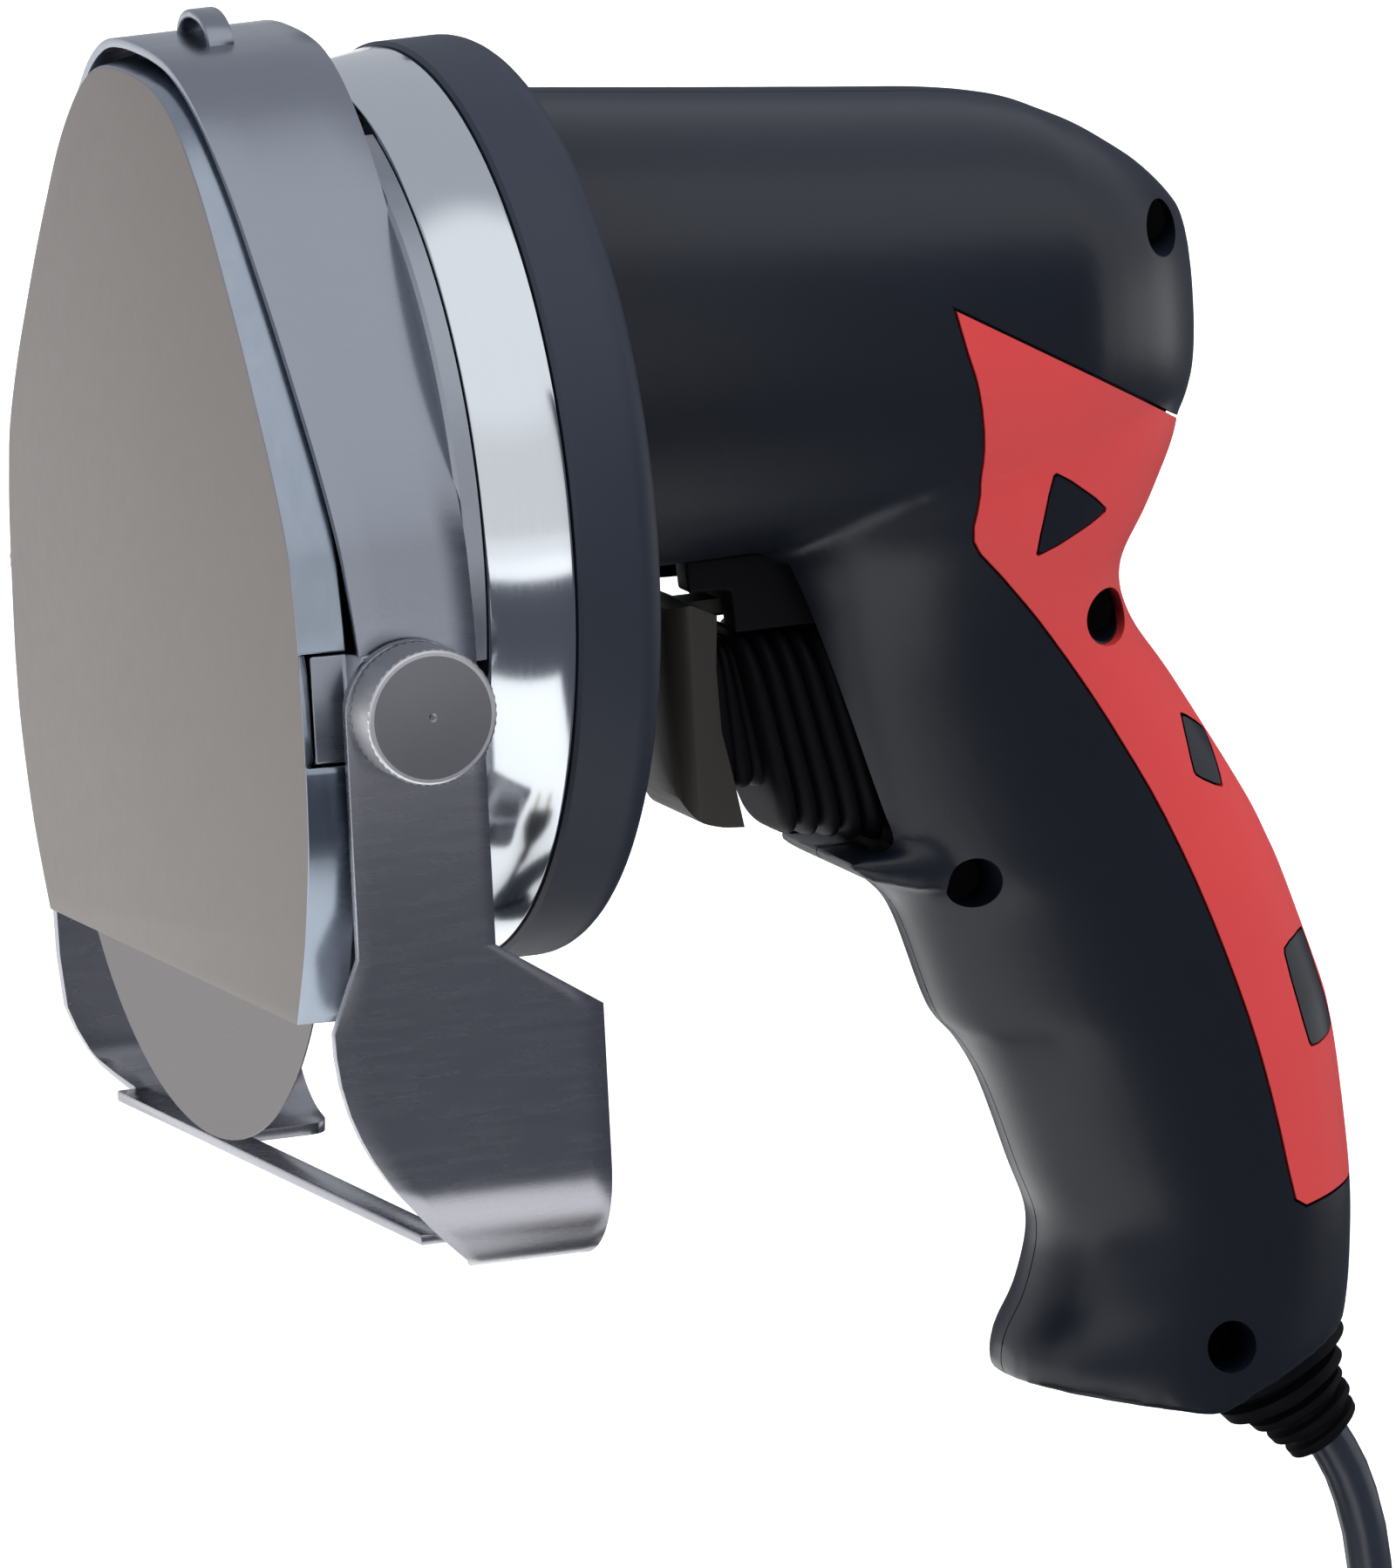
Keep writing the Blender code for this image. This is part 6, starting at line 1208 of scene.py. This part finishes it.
def boot_row(share, grow, neck):
    """One ring of the boot. The neck starts inside the trigger, the folds behind the pulled trigger."""
    sizes = BOOT_NECK if neck else (BOOT_HALF_WIDTH, BOOT_TOP, BOOT_BOTTOM + BOOT_DROP * share)
    width = sizes[0] + grow
    top = sizes[1] + grow
    bottom = -sizes[2] - grow
    middle = (top + bottom) / 2
    row = []
    for x, dz in oval(width, (top - bottom) / 2, BOOT_POWER, RUBBER_SIDES):
        height = middle + dz
        rear = front_line(height, POCKET_DEPTH - SEAT_GAP)
        front = fold_start(height)
        start, end = (BOOT_FRONT, front) if neck else (front, rear)
        row.append((x, start + share * (end - start), height))
    return row


def valley(turns, depth):
    """How far the rubber lies in, between its folds."""
    return -depth * (1 - abs(math.sin(math.pi * turns)) ** BOOT_ROUNDNESS)


def make_boot():
    """The rubber bellows: round folds with sharp valleys, a narrow neck and a hood over the trigger."""
    rows = []
    for step in range(BOOT_NECK_STEPS + 1):
        part = step / BOOT_NECK_STEPS
        rows.append(boot_row(part, valley(BOOT_NECK_FOLDS * part, RUNNING_GAP), True))
    count = BOOT_FOLDS * BOOT_FOLD_STEPS
    for step in range(count + 1):
        part = step / count
        share = BOOT_FOLD_ONSET + (1 - BOOT_FOLD_ONSET) * part
        rows.append(boot_row(share, valley(BOOT_FOLDS * part, BOOT_FOLD_DEPTH), False))
    boot = skin("bellows", rows)
    combine(boot, block("bore", *BOOT_BORE))
    hood = soften(prism("hood", HOOD_OUTLINE, "X", -HOOD_HALF_WIDTH, HOOD_HALF_WIDTH), RUNNING_GAP, 3)
    front = HOOD_OUTLINE[0][0] - MERGE - RUNNING_GAP
    rear = HOOD_OUTLINE[4][0] + RUNNING_GAP
    combine(hood, block("slot", (-HOOD_SLOT, front, BOOT_TOP), (HOOD_SLOT, rear, PIVOT[1])))
    join(boot, hood)
    return settle(boot, "handle", "black_rubber", ["trigger_boot"], 60)


# Guide and thumb screws


def guide_edges(z, left):
    """Front and rear edge of the guide's sheet at a height, with left the way still to go to its end."""
    middle = sum(GUIDE_ARM) / 2
    half = (GUIDE_ARM[1] - GUIDE_ARM[0]) / 2
    if z > THUMB_Z:
        part = math.sqrt(max(0.0009, 1 - ((z - THUMB_Z) / THUMB_RADIUS) ** 2))
        return middle - half * part, middle + half * part
    if z > -GUIDE_WING_TOP:
        return GUIDE_ARM
    if z > -GUIDE_WING_FULL:
        part = (-z - GUIDE_WING_TOP) / (GUIDE_WING_FULL - GUIDE_WING_TOP)
        return tuple(arm + part * (wing - arm) for arm, wing in zip(GUIDE_ARM, GUIDE_WING))
    part = (-z - GUIDE_WING_FULL) / (GUIDE_FOOT - GUIDE_WING_FULL)
    front = GUIDE_WING[0] + part ** GUIDE_TIP_POWER * (GUIDE_TIP_FRONT - GUIDE_WING[0])
    rear = GUIDE_WING[1]
    if left < GUIDE_CORNER:
        rear -= GUIDE_CORNER - math.sqrt(GUIDE_CORNER ** 2 - (GUIDE_CORNER - left) ** 2)
    return front, rear


def guide_path():
    """The arm and wing from the top down: x, z and the way still to go."""
    bend_top = -GUIDE_FOOT + GUIDE_BEND
    bend = GUIDE_BEND * math.pi / 2
    path = []
    for step in range(GUIDE_TOP_STEPS):
        angle = math.pi / 2 * step / GUIDE_TOP_STEPS
        path.append((GUIDE_OUTSIDE, THUMB_Z + THUMB_RADIUS * math.cos(angle), bend))
    for z in (*GUIDE_HEIGHTS, bend_top):
        path.append((GUIDE_OUTSIDE, z, bend))
    for step in range(1, GUIDE_BEND_STEPS + 1):
        turn = math.pi / 2 * (1 - (1 - step / GUIDE_BEND_STEPS) ** GUIDE_BEND_EASE)
        x = GUIDE_OUTSIDE - GUIDE_BEND * (1 - math.cos(turn))
        path.append((x, bend_top - GUIDE_BEND * math.sin(turn), bend - GUIDE_BEND * turn))
    return path


def make_guide():
    """The U-shaped guide: two bent wings, the bar between them and a slot in each arm."""
    rows = []
    for x, z, left in guide_path():
        front, rear = guide_edges(z, left)
        shares = [column / GUIDE_COLUMNS for column in range(GUIDE_COLUMNS + 1)]
        rows.append([(x, front + (rear - front) * share, z) for share in shares])
    wing = strip("guide", rows[0], rows[1:])
    outward(wing, lambda face: face.normal.x > FACING)
    modify(wing, "SOLIDIFY", thickness=GUIDE_SHEET, offset=-1.0)
    radius = THUMB_SHANK_RADIUS + SEAT_GAP
    far = THUMB_Y + GUIDE_TRAVEL
    slot = [(THUMB_Y - radius * math.sin(a), THUMB_Z + radius * math.cos(a)) for a in half_turn(16)]
    slot += [(far + radius * math.sin(a), THUMB_Z - radius * math.cos(a)) for a in half_turn(16)]
    combine(wing, prism("slot", slot, "X", GUIDE_OUTSIDE - 3 * GUIDE_SHEET, GUIDE_OUTSIDE + GUIDE_SHEET))
    soften(wing, SHEET_EDGE, 2, 50)
    modify(wing, "MIRROR", use_axis=(True, False, False), use_mirror_merge=False)
    inside = SHEET - GUIDE_OUTSIDE + GUIDE_BEND / 2
    combine(wing, prism("far_front", GUIDE_FAR_CUT, "X", -GUIDE_OUTSIDE - SHEET, inside))
    reach = GUIDE_OUTSIDE - GUIDE_SHEET - GUIDE_BEND / 8
    half = GUIDE_SHEET / 2
    rear = BAR_FRONT + BAR_DEPTH
    bar = block("bar", (-reach, BAR_FRONT, -BAR_HEIGHT - half), (reach, rear, -BAR_HEIGHT + half))
    join(wing, soften(bar, SHEET_EDGE))
    return settle(wing, "guide", "guide_sheet", ["depth_guide"])


def make_thumb_screws():
    """Two thumb screws with a diamond-knurled grip and a turned face."""
    count = bpy.context.scene.slicer_sizes.knurls
    face = GUIDE_OUTSIDE + SEAT_GAP
    end = face + THUMB_DEPTH
    rim = THUMB_RIM
    plain = [
        (THUMB_TIP_RADIUS, THUMB_TIP), (THUMB_SHANK_RADIUS, THUMB_TIP), (THUMB_SHANK_RADIUS, face),
        (THUMB_RADIUS - rim, face),
    ]
    rows = THUMB_RINGS
    knurled = [
        (THUMB_RADIUS, face + rim / 2 + (THUMB_DEPTH - rim) * step / (rows - 1)) for step in range(rows)
    ]
    front = [
        (THUMB_RADIUS - rim / 4, end - rim / 4), (THUMB_RADIUS - rim / 2, end - rim / 8),
        (THUMB_RADIUS - rim, end - rim / 8), (THUMB_RADIUS / 2, end), (THUMB_DIMPLE, end),
        (THUMB_DIMPLE / 2, end - THUMB_DIMPLE / 3), (THUMB_DIMPLE / 4, end - THUMB_DIMPLE / 3),
    ]
    rings = []
    for number, (radius, along) in enumerate(plain + knurled + front):
        cut = KNURL_DEPTH if len(plain) <= number < len(plain) + rows else 0.0
        points = []
        for index in range(count):
            reach = radius - cut * (1 + math.cos(math.pi * (index + number))) / 2
            angle = 2 * math.pi * index / count
            points.append((along, THUMB_Y + reach * math.cos(angle), THUMB_Z + reach * math.sin(angle)))
        rings.append(points)
    for name, side in SIDES:
        placed = [[(side * x, y, z) for x, y, z in points] for points in rings]
        screw = skin(f"thumb_knob_{name}", placed)
        settle(screw, f"screw_{name}", "knurled_steel", [f"thumb_screw_{name}"], 20)
        screw.data.materials.append(finish_named("screw_face"))
        limit = end - rim / 4
        inner = THUMB_RADIUS - 0.8 * rim
        centre = THUMB_CENTRE + HEAD
        for polygon in screw.data.polygons:
            middle = polygon.center
            flat = math.hypot(middle.y - centre.y, middle.z - centre.z) < inner
            polygon.material_index = 1 if flat and abs(middle.x) > limit - 2 * rim else 0


# Strain relief, cord, tie and plug


def relief_lean(share):
    root, middle, tip = RELIEF_LEANS
    t = max(0.0, share)
    return root * (1 - t) * (1 - 2 * t) + middle * 4 * t * (1 - t) + tip * t * (2 * t - 1)


def lean_direction(lean):
    return Vector((0.0, math.sin(lean), -math.cos(lean)))


def relief_point(share):
    point = Vector((0.0, *on_handle([RELIEF_ROOT])[0]))
    free = max(0.0, share)
    for step in range(RELIEF_STEPS):
        lean = relief_lean(free * (step + 0.5) / RELIEF_STEPS)
        point += lean_direction(lean) * RELIEF_LENGTH * free / RELIEF_STEPS
    if share < 0:
        point += lean_direction(RELIEF_LEANS[0]) * RELIEF_LENGTH * share
    return point


def make_strain_relief():
    """The ribbed rubber sleeve with rolled ribs."""
    rows = []
    for share, reach in RELIEF_SHARES:
        lean = BASE_LEAN + (RELIEF_TIP_FACE_LEAN - BASE_LEAN) * max(0.0, share)
        side = Vector((0.0, math.cos(lean), math.sin(lean)))
        point = relief_point(share)
        radius = RELIEF_RADIUS * reach
        row = []
        for index in range(RUBBER_SIDES):
            angle = 2 * math.pi * index / RUBBER_SIDES
            across = Vector((radius * math.cos(angle), 0.0, 0.0))
            row.append(tuple(point + across + side * radius * math.sin(angle)))
        rows.append(row)
    relief = skin("cord_sleeve", rows)
    soften(relief, RELIEF_EDGE, 2, 28)
    return settle(relief, "handle", "black_rubber", ["strain_relief"], 50)


def coil_radius(turn):
    return COIL_INNER_RADIUS + COIL_PITCH * (abs(turn - COIL_TURNS - 0.25) - 0.25)


def coil_centre():
    way = Vector((math.cos(COIL_START_ANGLE), math.sin(COIL_START_ANGLE), 0.0))
    return Vector((*COIL_START, 0.0)) - way * coil_radius(0)


def eased(part):
    """A smooth step from 0 to 1."""
    return 3 * part ** 2 - 2 * part ** 3


def coil_point(turn):
    part = min(1.0, max(0.0, (turn - COIL_TURNS) / 0.5))
    height = COIL_LOW + COIL_PITCH * eased(part)
    angle = COIL_START_ANGLE + 2 * math.pi * turn
    radius = coil_radius(turn)
    return coil_centre() + Vector((radius * math.cos(angle), radius * math.sin(angle), height))


def coil_points():
    """The coil, in through its lower layer and out through the upper, and the tail down to the plug."""
    turns = 2 * COIL_TURNS + 0.5
    points = [coil_point(step / COIL_STEPS) for step in range(int(turns * COIL_STEPS) + 1)]
    end = points[-1]
    ahead = (end - coil_point(turns - COIL_LOOK_BACK)).normalized()
    for step in range(1, TAIL_STEPS + 1):
        drop = min(1.0, step / TAIL_STEPS / TAIL_DROP_SHARE)
        place = end + ahead * COIL_TAIL * step / TAIL_STEPS
        points.append(Vector((place.x, place.y, end.z + (PLUG_HEIGHT - end.z) * eased(drop))))
    return points, ahead


def cord_path():
    """The whole cord from the tip of the sleeve: the free run, the bend on to the surface and the coil."""
    coil = coil_points()[0]
    tip = relief_point(1.0)
    fall = [Vector((0.0, y, z)) for y, z in CORD_FALL]
    start = fall[-1]
    back = (coil[0] - coil_point(COIL_LOOK_BACK)).normalized()
    below = start - Vector((0.0, 0.0, BEND_HANDLE))
    end = coil[0] + back * SEAT_GAP
    before = end + back * BEND_HANDLE
    bend = []
    for step in range(1, BEND_STEPS):
        t = step / BEND_STEPS
        u = 1 - t
        bend.append(start * u ** 3 + below * 3 * u * u * t + before * 3 * u * t * t + end * t ** 3)
    return [tip, *fall, *bend, *coil]


def path_length(points):
    return sum((a - b).length for a, b in zip(points, points[1:]))


def make_cord():
    """The cord as one curve, with its tie and its plug."""
    points = [point + HEAD for point in cord_path()]
    deselect()
    bpy.ops.curve.primitive_nurbs_path_add()
    cord = bpy.context.object
    cord.name = "mains_cord"
    curve = cord.data
    curve.splines.clear()
    line = curve.splines.new("POLY")
    line.points.add(len(points) - 1)
    for point, place in zip(line.points, points):
        point.co = (*place, 1.0)
    curve.bevel_depth = CORD_RADIUS
    curve.bevel_resolution = 5
    curve.use_fill_caps = True
    settle(cord, "handle", "cord_jacket", ["cord_stretch", "cord_coil"], moved=False)
    pins = [smooth_copy(f"plug_pin_{number}", f"brass_pin_{number}") for number in (1, 2)]
    path_length(points)
    make_tie()
    make_plug()


def make_tie():
    """The rubber strap round the coil."""
    gap = SEAT_GAP + CORD_RADIUS
    half = TIE_WIDTH / 2
    least = COIL_INNER_RADIUS - COIL_PITCH / 4 - CORD_RADIUS
    inner = math.sqrt(least ** 2 - half ** 2) - SEAT_GAP
    outer = coil_radius(0) + gap
    low = COIL_LOW - gap
    high = COIL_LOW + COIL_PITCH + gap
    thick = TIE_THICKNESS
    strap = block("cord_strap", (inner - thick, -half, low - thick), (outer + thick, half, high + thick))
    soften(strap, thick, 3)
    combine(strap, block("hollow", (inner, -TIE_WIDTH, low), (outer, TIE_WIDTH, high)))
    pick(strap)
    strap.data.transform(Matrix.Translation(coil_centre()) @ Matrix.Rotation(TIE_ANGLE, 4, "Z"))
    return settle(strap, "handle", "black_rubber", ["coil_tie"])


def make_plug():
    """The flat moulded plug with a ribbed neck."""
    coil, ahead = coil_points()
    turn = Matrix.Translation(coil[-1]) @ Matrix.Rotation(math.atan2(ahead.y, ahead.x), 4, "Z")
    neck = PLUG_NECK
    rows = []
    for step in range(PLUG_NECK_STEPS + 1):
        share = step / PLUG_NECK_STEPS
        rib = PLUG_NECK_RADIUS * (1 + PLUG_RIB_DEPTH * (math.cos(2 * math.pi * PLUG_RIBS * share) - 1))
        rows.append((-neck + neck * share * 0.98, rib, rib))
    wide = PLUG_WIDTH / 2
    thick = PLUG_THICKNESS / 2
    shape = [
        (0.0, PLUG_NECK_RADIUS * 1.2, PLUG_NECK_RADIUS * 1.1), (PLUG_LENGTH * 0.3, wide * 0.72, thick),
        (PLUG_LENGTH * 0.6, wide, thick), (PLUG_LENGTH, wide, thick),
    ]
    rows += [(along, min(a, wide), min(b, thick)) for along, a, b in smooth_rows(shape, 8)]
    rings = [[(along, y, z) for y, z in oval(a, b, 3, PLUG_SIDES)] for along, a, b in rows]
    plug = skin("mains_plug", rings)
    soften(plug, PLUG_EDGE, 3, 60)
    plug.data.transform(turn)
    return settle(plug, "handle", "black_rubber", ["plug_body"], 45)


# Casting, and the frame's own nodes


def finish_frame():
    """Gives every CAD node the finish of its material slot, and the housing's screws a near-black one that
    paints the shade in their deep wells.
    """
    for part in frame["record"]["subparts"]:
        node = frame["nodes"][part["node"]]
        # The housing's screws are painted near black, as the shade in their wells.
        shaded_well_screw = part["node"].startswith("housing_screw")
        for slot in node.material_slots:
            slot.material = finish_named("well_shade_black_steel" if shaded_well_screw else part["material_slot"])


def smooth_copy(node, name):
    """A merged copy of a plug pin's CAD node, shaded smooth over its round surfaces."""
    made = bpy.data.objects.new(name, frame["nodes"][node].data.copy())
    bpy.context.scene.collection.objects.link(made)
    edit(made)
    bpy.ops.mesh.remove_doubles(threshold=MERGE)
    close_edit()
    return settle(made, "handle", "brass", [node], moved=False)


def thumb_hole(side):
    start = side * (THUMB_TIP - RUNNING_GAP)
    return rod("hole", THUMB_BORE, start, side * GUIDE_OUTSIDE, THUMB_CENTRE, "X", 32)


def casting_outline(grow):
    return both_sides(upper_half(grow, CASTING_FOOT))


def make_casting():
    """The pan behind the knife, with its round rear flange and the bearing's boss."""
    grow = BAND_GAP - SEAT_GAP
    wall = CASTING_WALL
    rear = DRUM_FRONT - SEAT_GAP
    case = prism("front_casting", casting_outline(grow), "Y", CASTING_FACE, BAND_REAR)
    flange = DRUM_FRONT_RADIUS
    disc = [
        (0.0, rear - CASTING_FLANGE), (flange - RUNNING_GAP, rear - CASTING_FLANGE),
        (flange, rear - CASTING_FLANGE + RUNNING_GAP), (flange, rear), (0.0, rear),
    ]
    disc = turned("flange", disc, (0.0, 0.0, DRUM_CENTRE), steps=FINE_STEPS)
    combine(case, out_of_round(disc), "UNION")
    combine(case, prism("hollow", casting_outline(grow - wall), "Y", CASTING_FACE + wall, rear + wall))
    top = BEARING_BOSS_END
    combine(case, rod("boss", BEARING_BOSS_RADIUS, CASTING_FACE + wall / 2, top), "UNION")
    combine(case, rod("bore", BEARING_BORE_RADIUS, CASTING_FACE - wall, top))
    combine(case, rod("seat", BEARING_SEAT_RADIUS, CASTING_FACE + wall, top + wall))
    for side in (-1, 1):
        ends = (side * (THUMB_TIP - BOSS_WALL), side * PLATE_HALF_WIDTH)
        combine(case, rod("boss", THUMB_BORE + BOSS_WALL, *ends, THUMB_CENTRE, "X", 40), "UNION")
        combine(case, thumb_hole(side))
    soften(case, SEAT_GAP, 2, 50)
    return settle(case, "handle", "cast_metal", ["front_case"])


# Studio


def make_camera():
    back = CAMERA_RIGHT.cross(CAMERA_UP).normalized()
    right = CAMERA_UP.cross(back).normalized()
    up = back.cross(right)
    target = PICTURE_CENTRE + HEAD
    deselect()
    bpy.ops.object.camera_add(location=target + back * CAMERA_DISTANCE)
    camera = bpy.context.object
    turn = Matrix((right, up, back)).transposed()
    camera.matrix_world = Matrix.Translation(target + back * CAMERA_DISTANCE) @ turn.to_4x4()
    camera.data.sensor_fit = "VERTICAL"
    camera.data.sensor_height = CAMERA_SENSOR
    camera.data.lens = CAMERA_SENSOR * CAMERA_DISTANCE / PICTURE_HEIGHT
    camera.data.clip_start = 0.1
    camera.data.clip_end = 3 * CAMERA_DISTANCE
    bpy.context.scene.camera = camera


class Sky(Finish):
    """The world, written as a finish is."""

    def __init__(self, name):
        self.world = bpy.data.worlds.new(name)
        self.world.use_nodes = True
        self.tree = self.world.node_tree
        self.place = self.node("ShaderNodeTexCoord", output="Generated")


def looked_at(made, names=("Is Camera Ray", "Is Glossy Ray", "Is Transmission Ray")):
    """One on a ray that looks from the camera, in a reflection or through glass, and nothing on others."""
    rays = [made.node("ShaderNodeLightPath", output=name) for name in names]
    total = sum(rays[1:], rays[0])
    return total.joined("MINIMUM", total, 1.0)


def make_floor():
    """A wide pale floor that is white where it is looked at, and keeps its shadow round the object."""
    deselect()
    bpy.ops.mesh.primitive_circle_add(
        vertices=96, radius=FLOOR_RADIUS, fill_type="NGON", location=(0.0, 0.0, SURFACE + HEAD.z),
    )
    floor = bpy.context.object
    floor.name = "floor"
    made = Finish("pale floor")
    made.shade(FLOOR_TONE, 0.9, 0.0, Specular_IOR_Level=0.0, Emission_Strength=1.0)
    away = made.node("ShaderNodeVectorMath", {"operation": "LENGTH"}, {0: made.place}, "Value")
    grown = made.ramp(away, *FLOOR_GLOW)
    glow = made.mix(looked_at(made) * grown, (0.0, 0.0, 0.0), (1.0, 1.0, 1.0))
    put(made.tree, made.shader.inputs["Emission Color"], glow)
    floor.data.materials.append(made.material)


def make_flag():
    """Dark panels under the grip and beside the object, low in front, which show in reflections alone."""
    low = SURFACE + HEAD.z + SEAT_GAP
    made = Finish("dark flag")
    made.shade(
        (0.0, 0.0, 0.0), 1.0, 0.0, Specular_IOR_Level=0.0, Emission_Color=FLAG_TONE, Emission_Strength=1.0,
    )
    panels = {"floor": [(x, y + HEAD.y, low) for x, y in FLAG_FLOOR]}
    for side, front in FLAG_FRONTS.items():
        high = FLAG_HIGH + HEAD.z
        step = FLAG_LOW + HEAD.z
        corners = [
            (front, low), (FLAG_REAR, low), (FLAG_REAR, high), (FLAG_STEP, high), (FLAG_STEP, step),
            (front, step),
        ]
        panels["right" if side > 0 else "left"] = [(side * FLAG_SIDE, y + HEAD.y, z) for y, z in corners]
    for name, places in panels.items():
        flag = ring("flag_" + name, places, "NGON")
        flag.data.materials.append(made.material)
        for use in ("camera", "diffuse", "shadow", "transmission"):
            setattr(flag, "visible_" + use, False)


def make_world():
    """White to the camera, a soft fill for the light, and in reflections brightest to the right."""
    sky = Sky("studio")
    across, height = [sky.node("ShaderNodeSeparateXYZ", {}, {0: sky.place}, axis) for axis in "XZ"]
    rise = sky.ramp(height, 0.30, 0.50)
    side = sky.ramp(across, 0.0, 0.22)
    right = sky.mix(rise, (0.95, 0.96, 0.98), (1.14, 1.16, 1.19))
    mirrored = sky.mix(side, (0.56, 0.58, 0.63), right)
    colour = sky.mix(looked_at(sky, ("Is Glossy Ray",)), (0.52, 0.535, 0.56), mirrored)
    colour = sky.mix(looked_at(sky, ("Is Camera Ray", "Is Transmission Ray")), colour, (1.0, 1.0, 1.0))
    put(sky.tree, sky.tree.nodes["Background"].inputs["Color"], colour)
    bpy.context.scene.world = sky.world


def make_lights():
    """Four large soft boxes. Metal mirrors the white studio and not the lamps themselves."""
    target = PICTURE_CENTRE + HEAD
    for name, place, size, power in LAMPS:
        deselect()
        bpy.ops.object.light_add(type="AREA", location=target + Vector(place))
        lamp = bpy.context.object
        lamp.name = name
        lamp.data.shape = "SQUARE"
        lamp.data.size = size
        lamp.data.energy = power
        lamp.rotation_euler = Vector(place).to_track_quat("Z", "Y").to_euler()
        lamp.visible_glossy = False


def make_studio():
    make_camera()
    make_floor()
    make_flag()
    make_world()
    make_lights()
    bpy.context.scene.view_settings.view_transform = "Standard"


# Operators: one for each piece or group of like pieces


class SLICER_OT_studio(bpy.types.Operator):
    """Add the camera, the pale floor, the flags and the soft lights"""

    bl_idname = "slicer.studio"
    bl_label = "Studio"

    def execute(self, context):
        make_studio()
        return {"FINISHED"}


class SLICER_OT_cord(bpy.types.Operator):
    """Lay the cord with its tie, its plug and the pins"""

    bl_idname = "slicer.cord"
    bl_label = "Cord"

    def execute(self, context):
        make_cord()
        return {"FINISHED"}


class SLICER_OT_frame_finish(bpy.types.Operator):
    """Finish every CAD node with its procedural material"""

    bl_idname = "slicer.frame_finish"
    bl_label = "Frame finish"

    def execute(self, context):
        finish_frame()
        return {"FINISHED"}


class SLICER_OT_cover(bpy.types.Operator):
    """Model the sheet cover and its rim"""

    bl_idname = "slicer.cover"
    bl_label = "Cover plate"

    def execute(self, context):
        make_cover_plate()
        return {"FINISHED"}


class SLICER_OT_band(bpy.types.Operator):
    """Model the band with its tabs and loop"""

    bl_idname = "slicer.band"
    bl_label = "Guard band"

    def execute(self, context):
        make_guard_band()
        return {"FINISHED"}


class SLICER_OT_casting(bpy.types.Operator):
    """Model the casting that shows between band and drum"""

    bl_idname = "slicer.casting"
    bl_label = "Front casting"

    def execute(self, context):
        make_casting()
        return {"FINISHED"}


class SLICER_OT_knife(bpy.types.Operator):
    """Model the round knife"""

    bl_idname = "slicer.knife"
    bl_label = "Knife"

    def execute(self, context):
        make_knife()
        return {"FINISHED"}


class SLICER_OT_drum(bpy.types.Operator):
    """Model the polished drum"""

    bl_idname = "slicer.drum"
    bl_label = "Drum"

    def execute(self, context):
        make_drum()
        return {"FINISHED"}


class SLICER_OT_collar(bpy.types.Operator):
    """Model the black collar"""

    bl_idname = "slicer.collar"
    bl_label = "Collar"

    def execute(self, context):
        make_collar()
        return {"FINISHED"}


class SLICER_OT_housing(bpy.types.Operator):
    """Model the housing halves and their inlays"""

    bl_idname = "slicer.housing"
    bl_label = "Housing"

    def execute(self, context):
        make_housing()
        return {"FINISHED"}


class SLICER_OT_trigger(bpy.types.Operator):
    """Model the trigger with its arm and finger"""

    bl_idname = "slicer.trigger"
    bl_label = "Trigger"

    def execute(self, context):
        make_trigger()
        return {"FINISHED"}


class SLICER_OT_boot(bpy.types.Operator):
    """Model the bellows and hood behind the trigger"""

    bl_idname = "slicer.boot"
    bl_label = "Boot"

    def execute(self, context):
        make_boot()
        return {"FINISHED"}


class SLICER_OT_guide(bpy.types.Operator):
    """Model the U-shaped guide"""

    bl_idname = "slicer.guide"
    bl_label = "Thickness guide"

    def execute(self, context):
        make_guide()
        return {"FINISHED"}


class SLICER_OT_thumb_screws(bpy.types.Operator):
    """Model the two knurled thumb screws"""

    bl_idname = "slicer.thumb_screws"
    bl_label = "Thumb screws"

    def execute(self, context):
        make_thumb_screws()
        return {"FINISHED"}


class SLICER_OT_strain_relief(bpy.types.Operator):
    """Model the ribbed sleeve of the cord"""

    bl_idname = "slicer.strain_relief"
    bl_label = "Strain relief"

    def execute(self, context):
        make_strain_relief()
        return {"FINISHED"}


OPERATORS = [
    SLICER_OT_studio, SLICER_OT_cord, SLICER_OT_frame_finish, SLICER_OT_cover, SLICER_OT_band,
    SLICER_OT_casting, SLICER_OT_knife, SLICER_OT_drum, SLICER_OT_collar, SLICER_OT_housing,
    SLICER_OT_trigger, SLICER_OT_boot, SLICER_OT_guide, SLICER_OT_thumb_screws, SLICER_OT_strain_relief,
]


class SLICER_PT_pieces(bpy.types.Panel):
    """Lists the slicer's pieces in the sidebar."""

    bl_label = "Kebab slicer"
    bl_space_type = "VIEW_3D"
    bl_region_type = "UI"
    bl_category = "Slicer"

    def draw(self, context):
        layout = self.layout
        for name in ("housing", "inlay", "trigger"):
            layout.prop(context.scene.slicer_colours, name)
        for name in ("moulding_step", "fillet_passes", "knurls"):
            layout.prop(context.scene.slicer_sizes, name)
        for made in OPERATORS:
            layout.operator(made.bl_idname)


CLASSES = [SlicerColours, SlicerSizes, *OPERATORS, SLICER_PT_pieces]


def register():
    for made in CLASSES:
        bpy.utils.register_class(made)
    bpy.types.Scene.slicer_colours = PointerProperty(type=SlicerColours)
    bpy.types.Scene.slicer_sizes = PointerProperty(type=SlicerSizes)


def unregister():
    del bpy.types.Scene.slicer_sizes
    del bpy.types.Scene.slicer_colours
    for made in reversed(CLASSES):
        bpy.utils.unregister_class(made)


def main():
    register()
    for made in OPERATORS:
        getattr(bpy.ops.slicer, made.bl_idname.split(".")[1])()
    deselect()


if __name__ == "__main__":
    main()
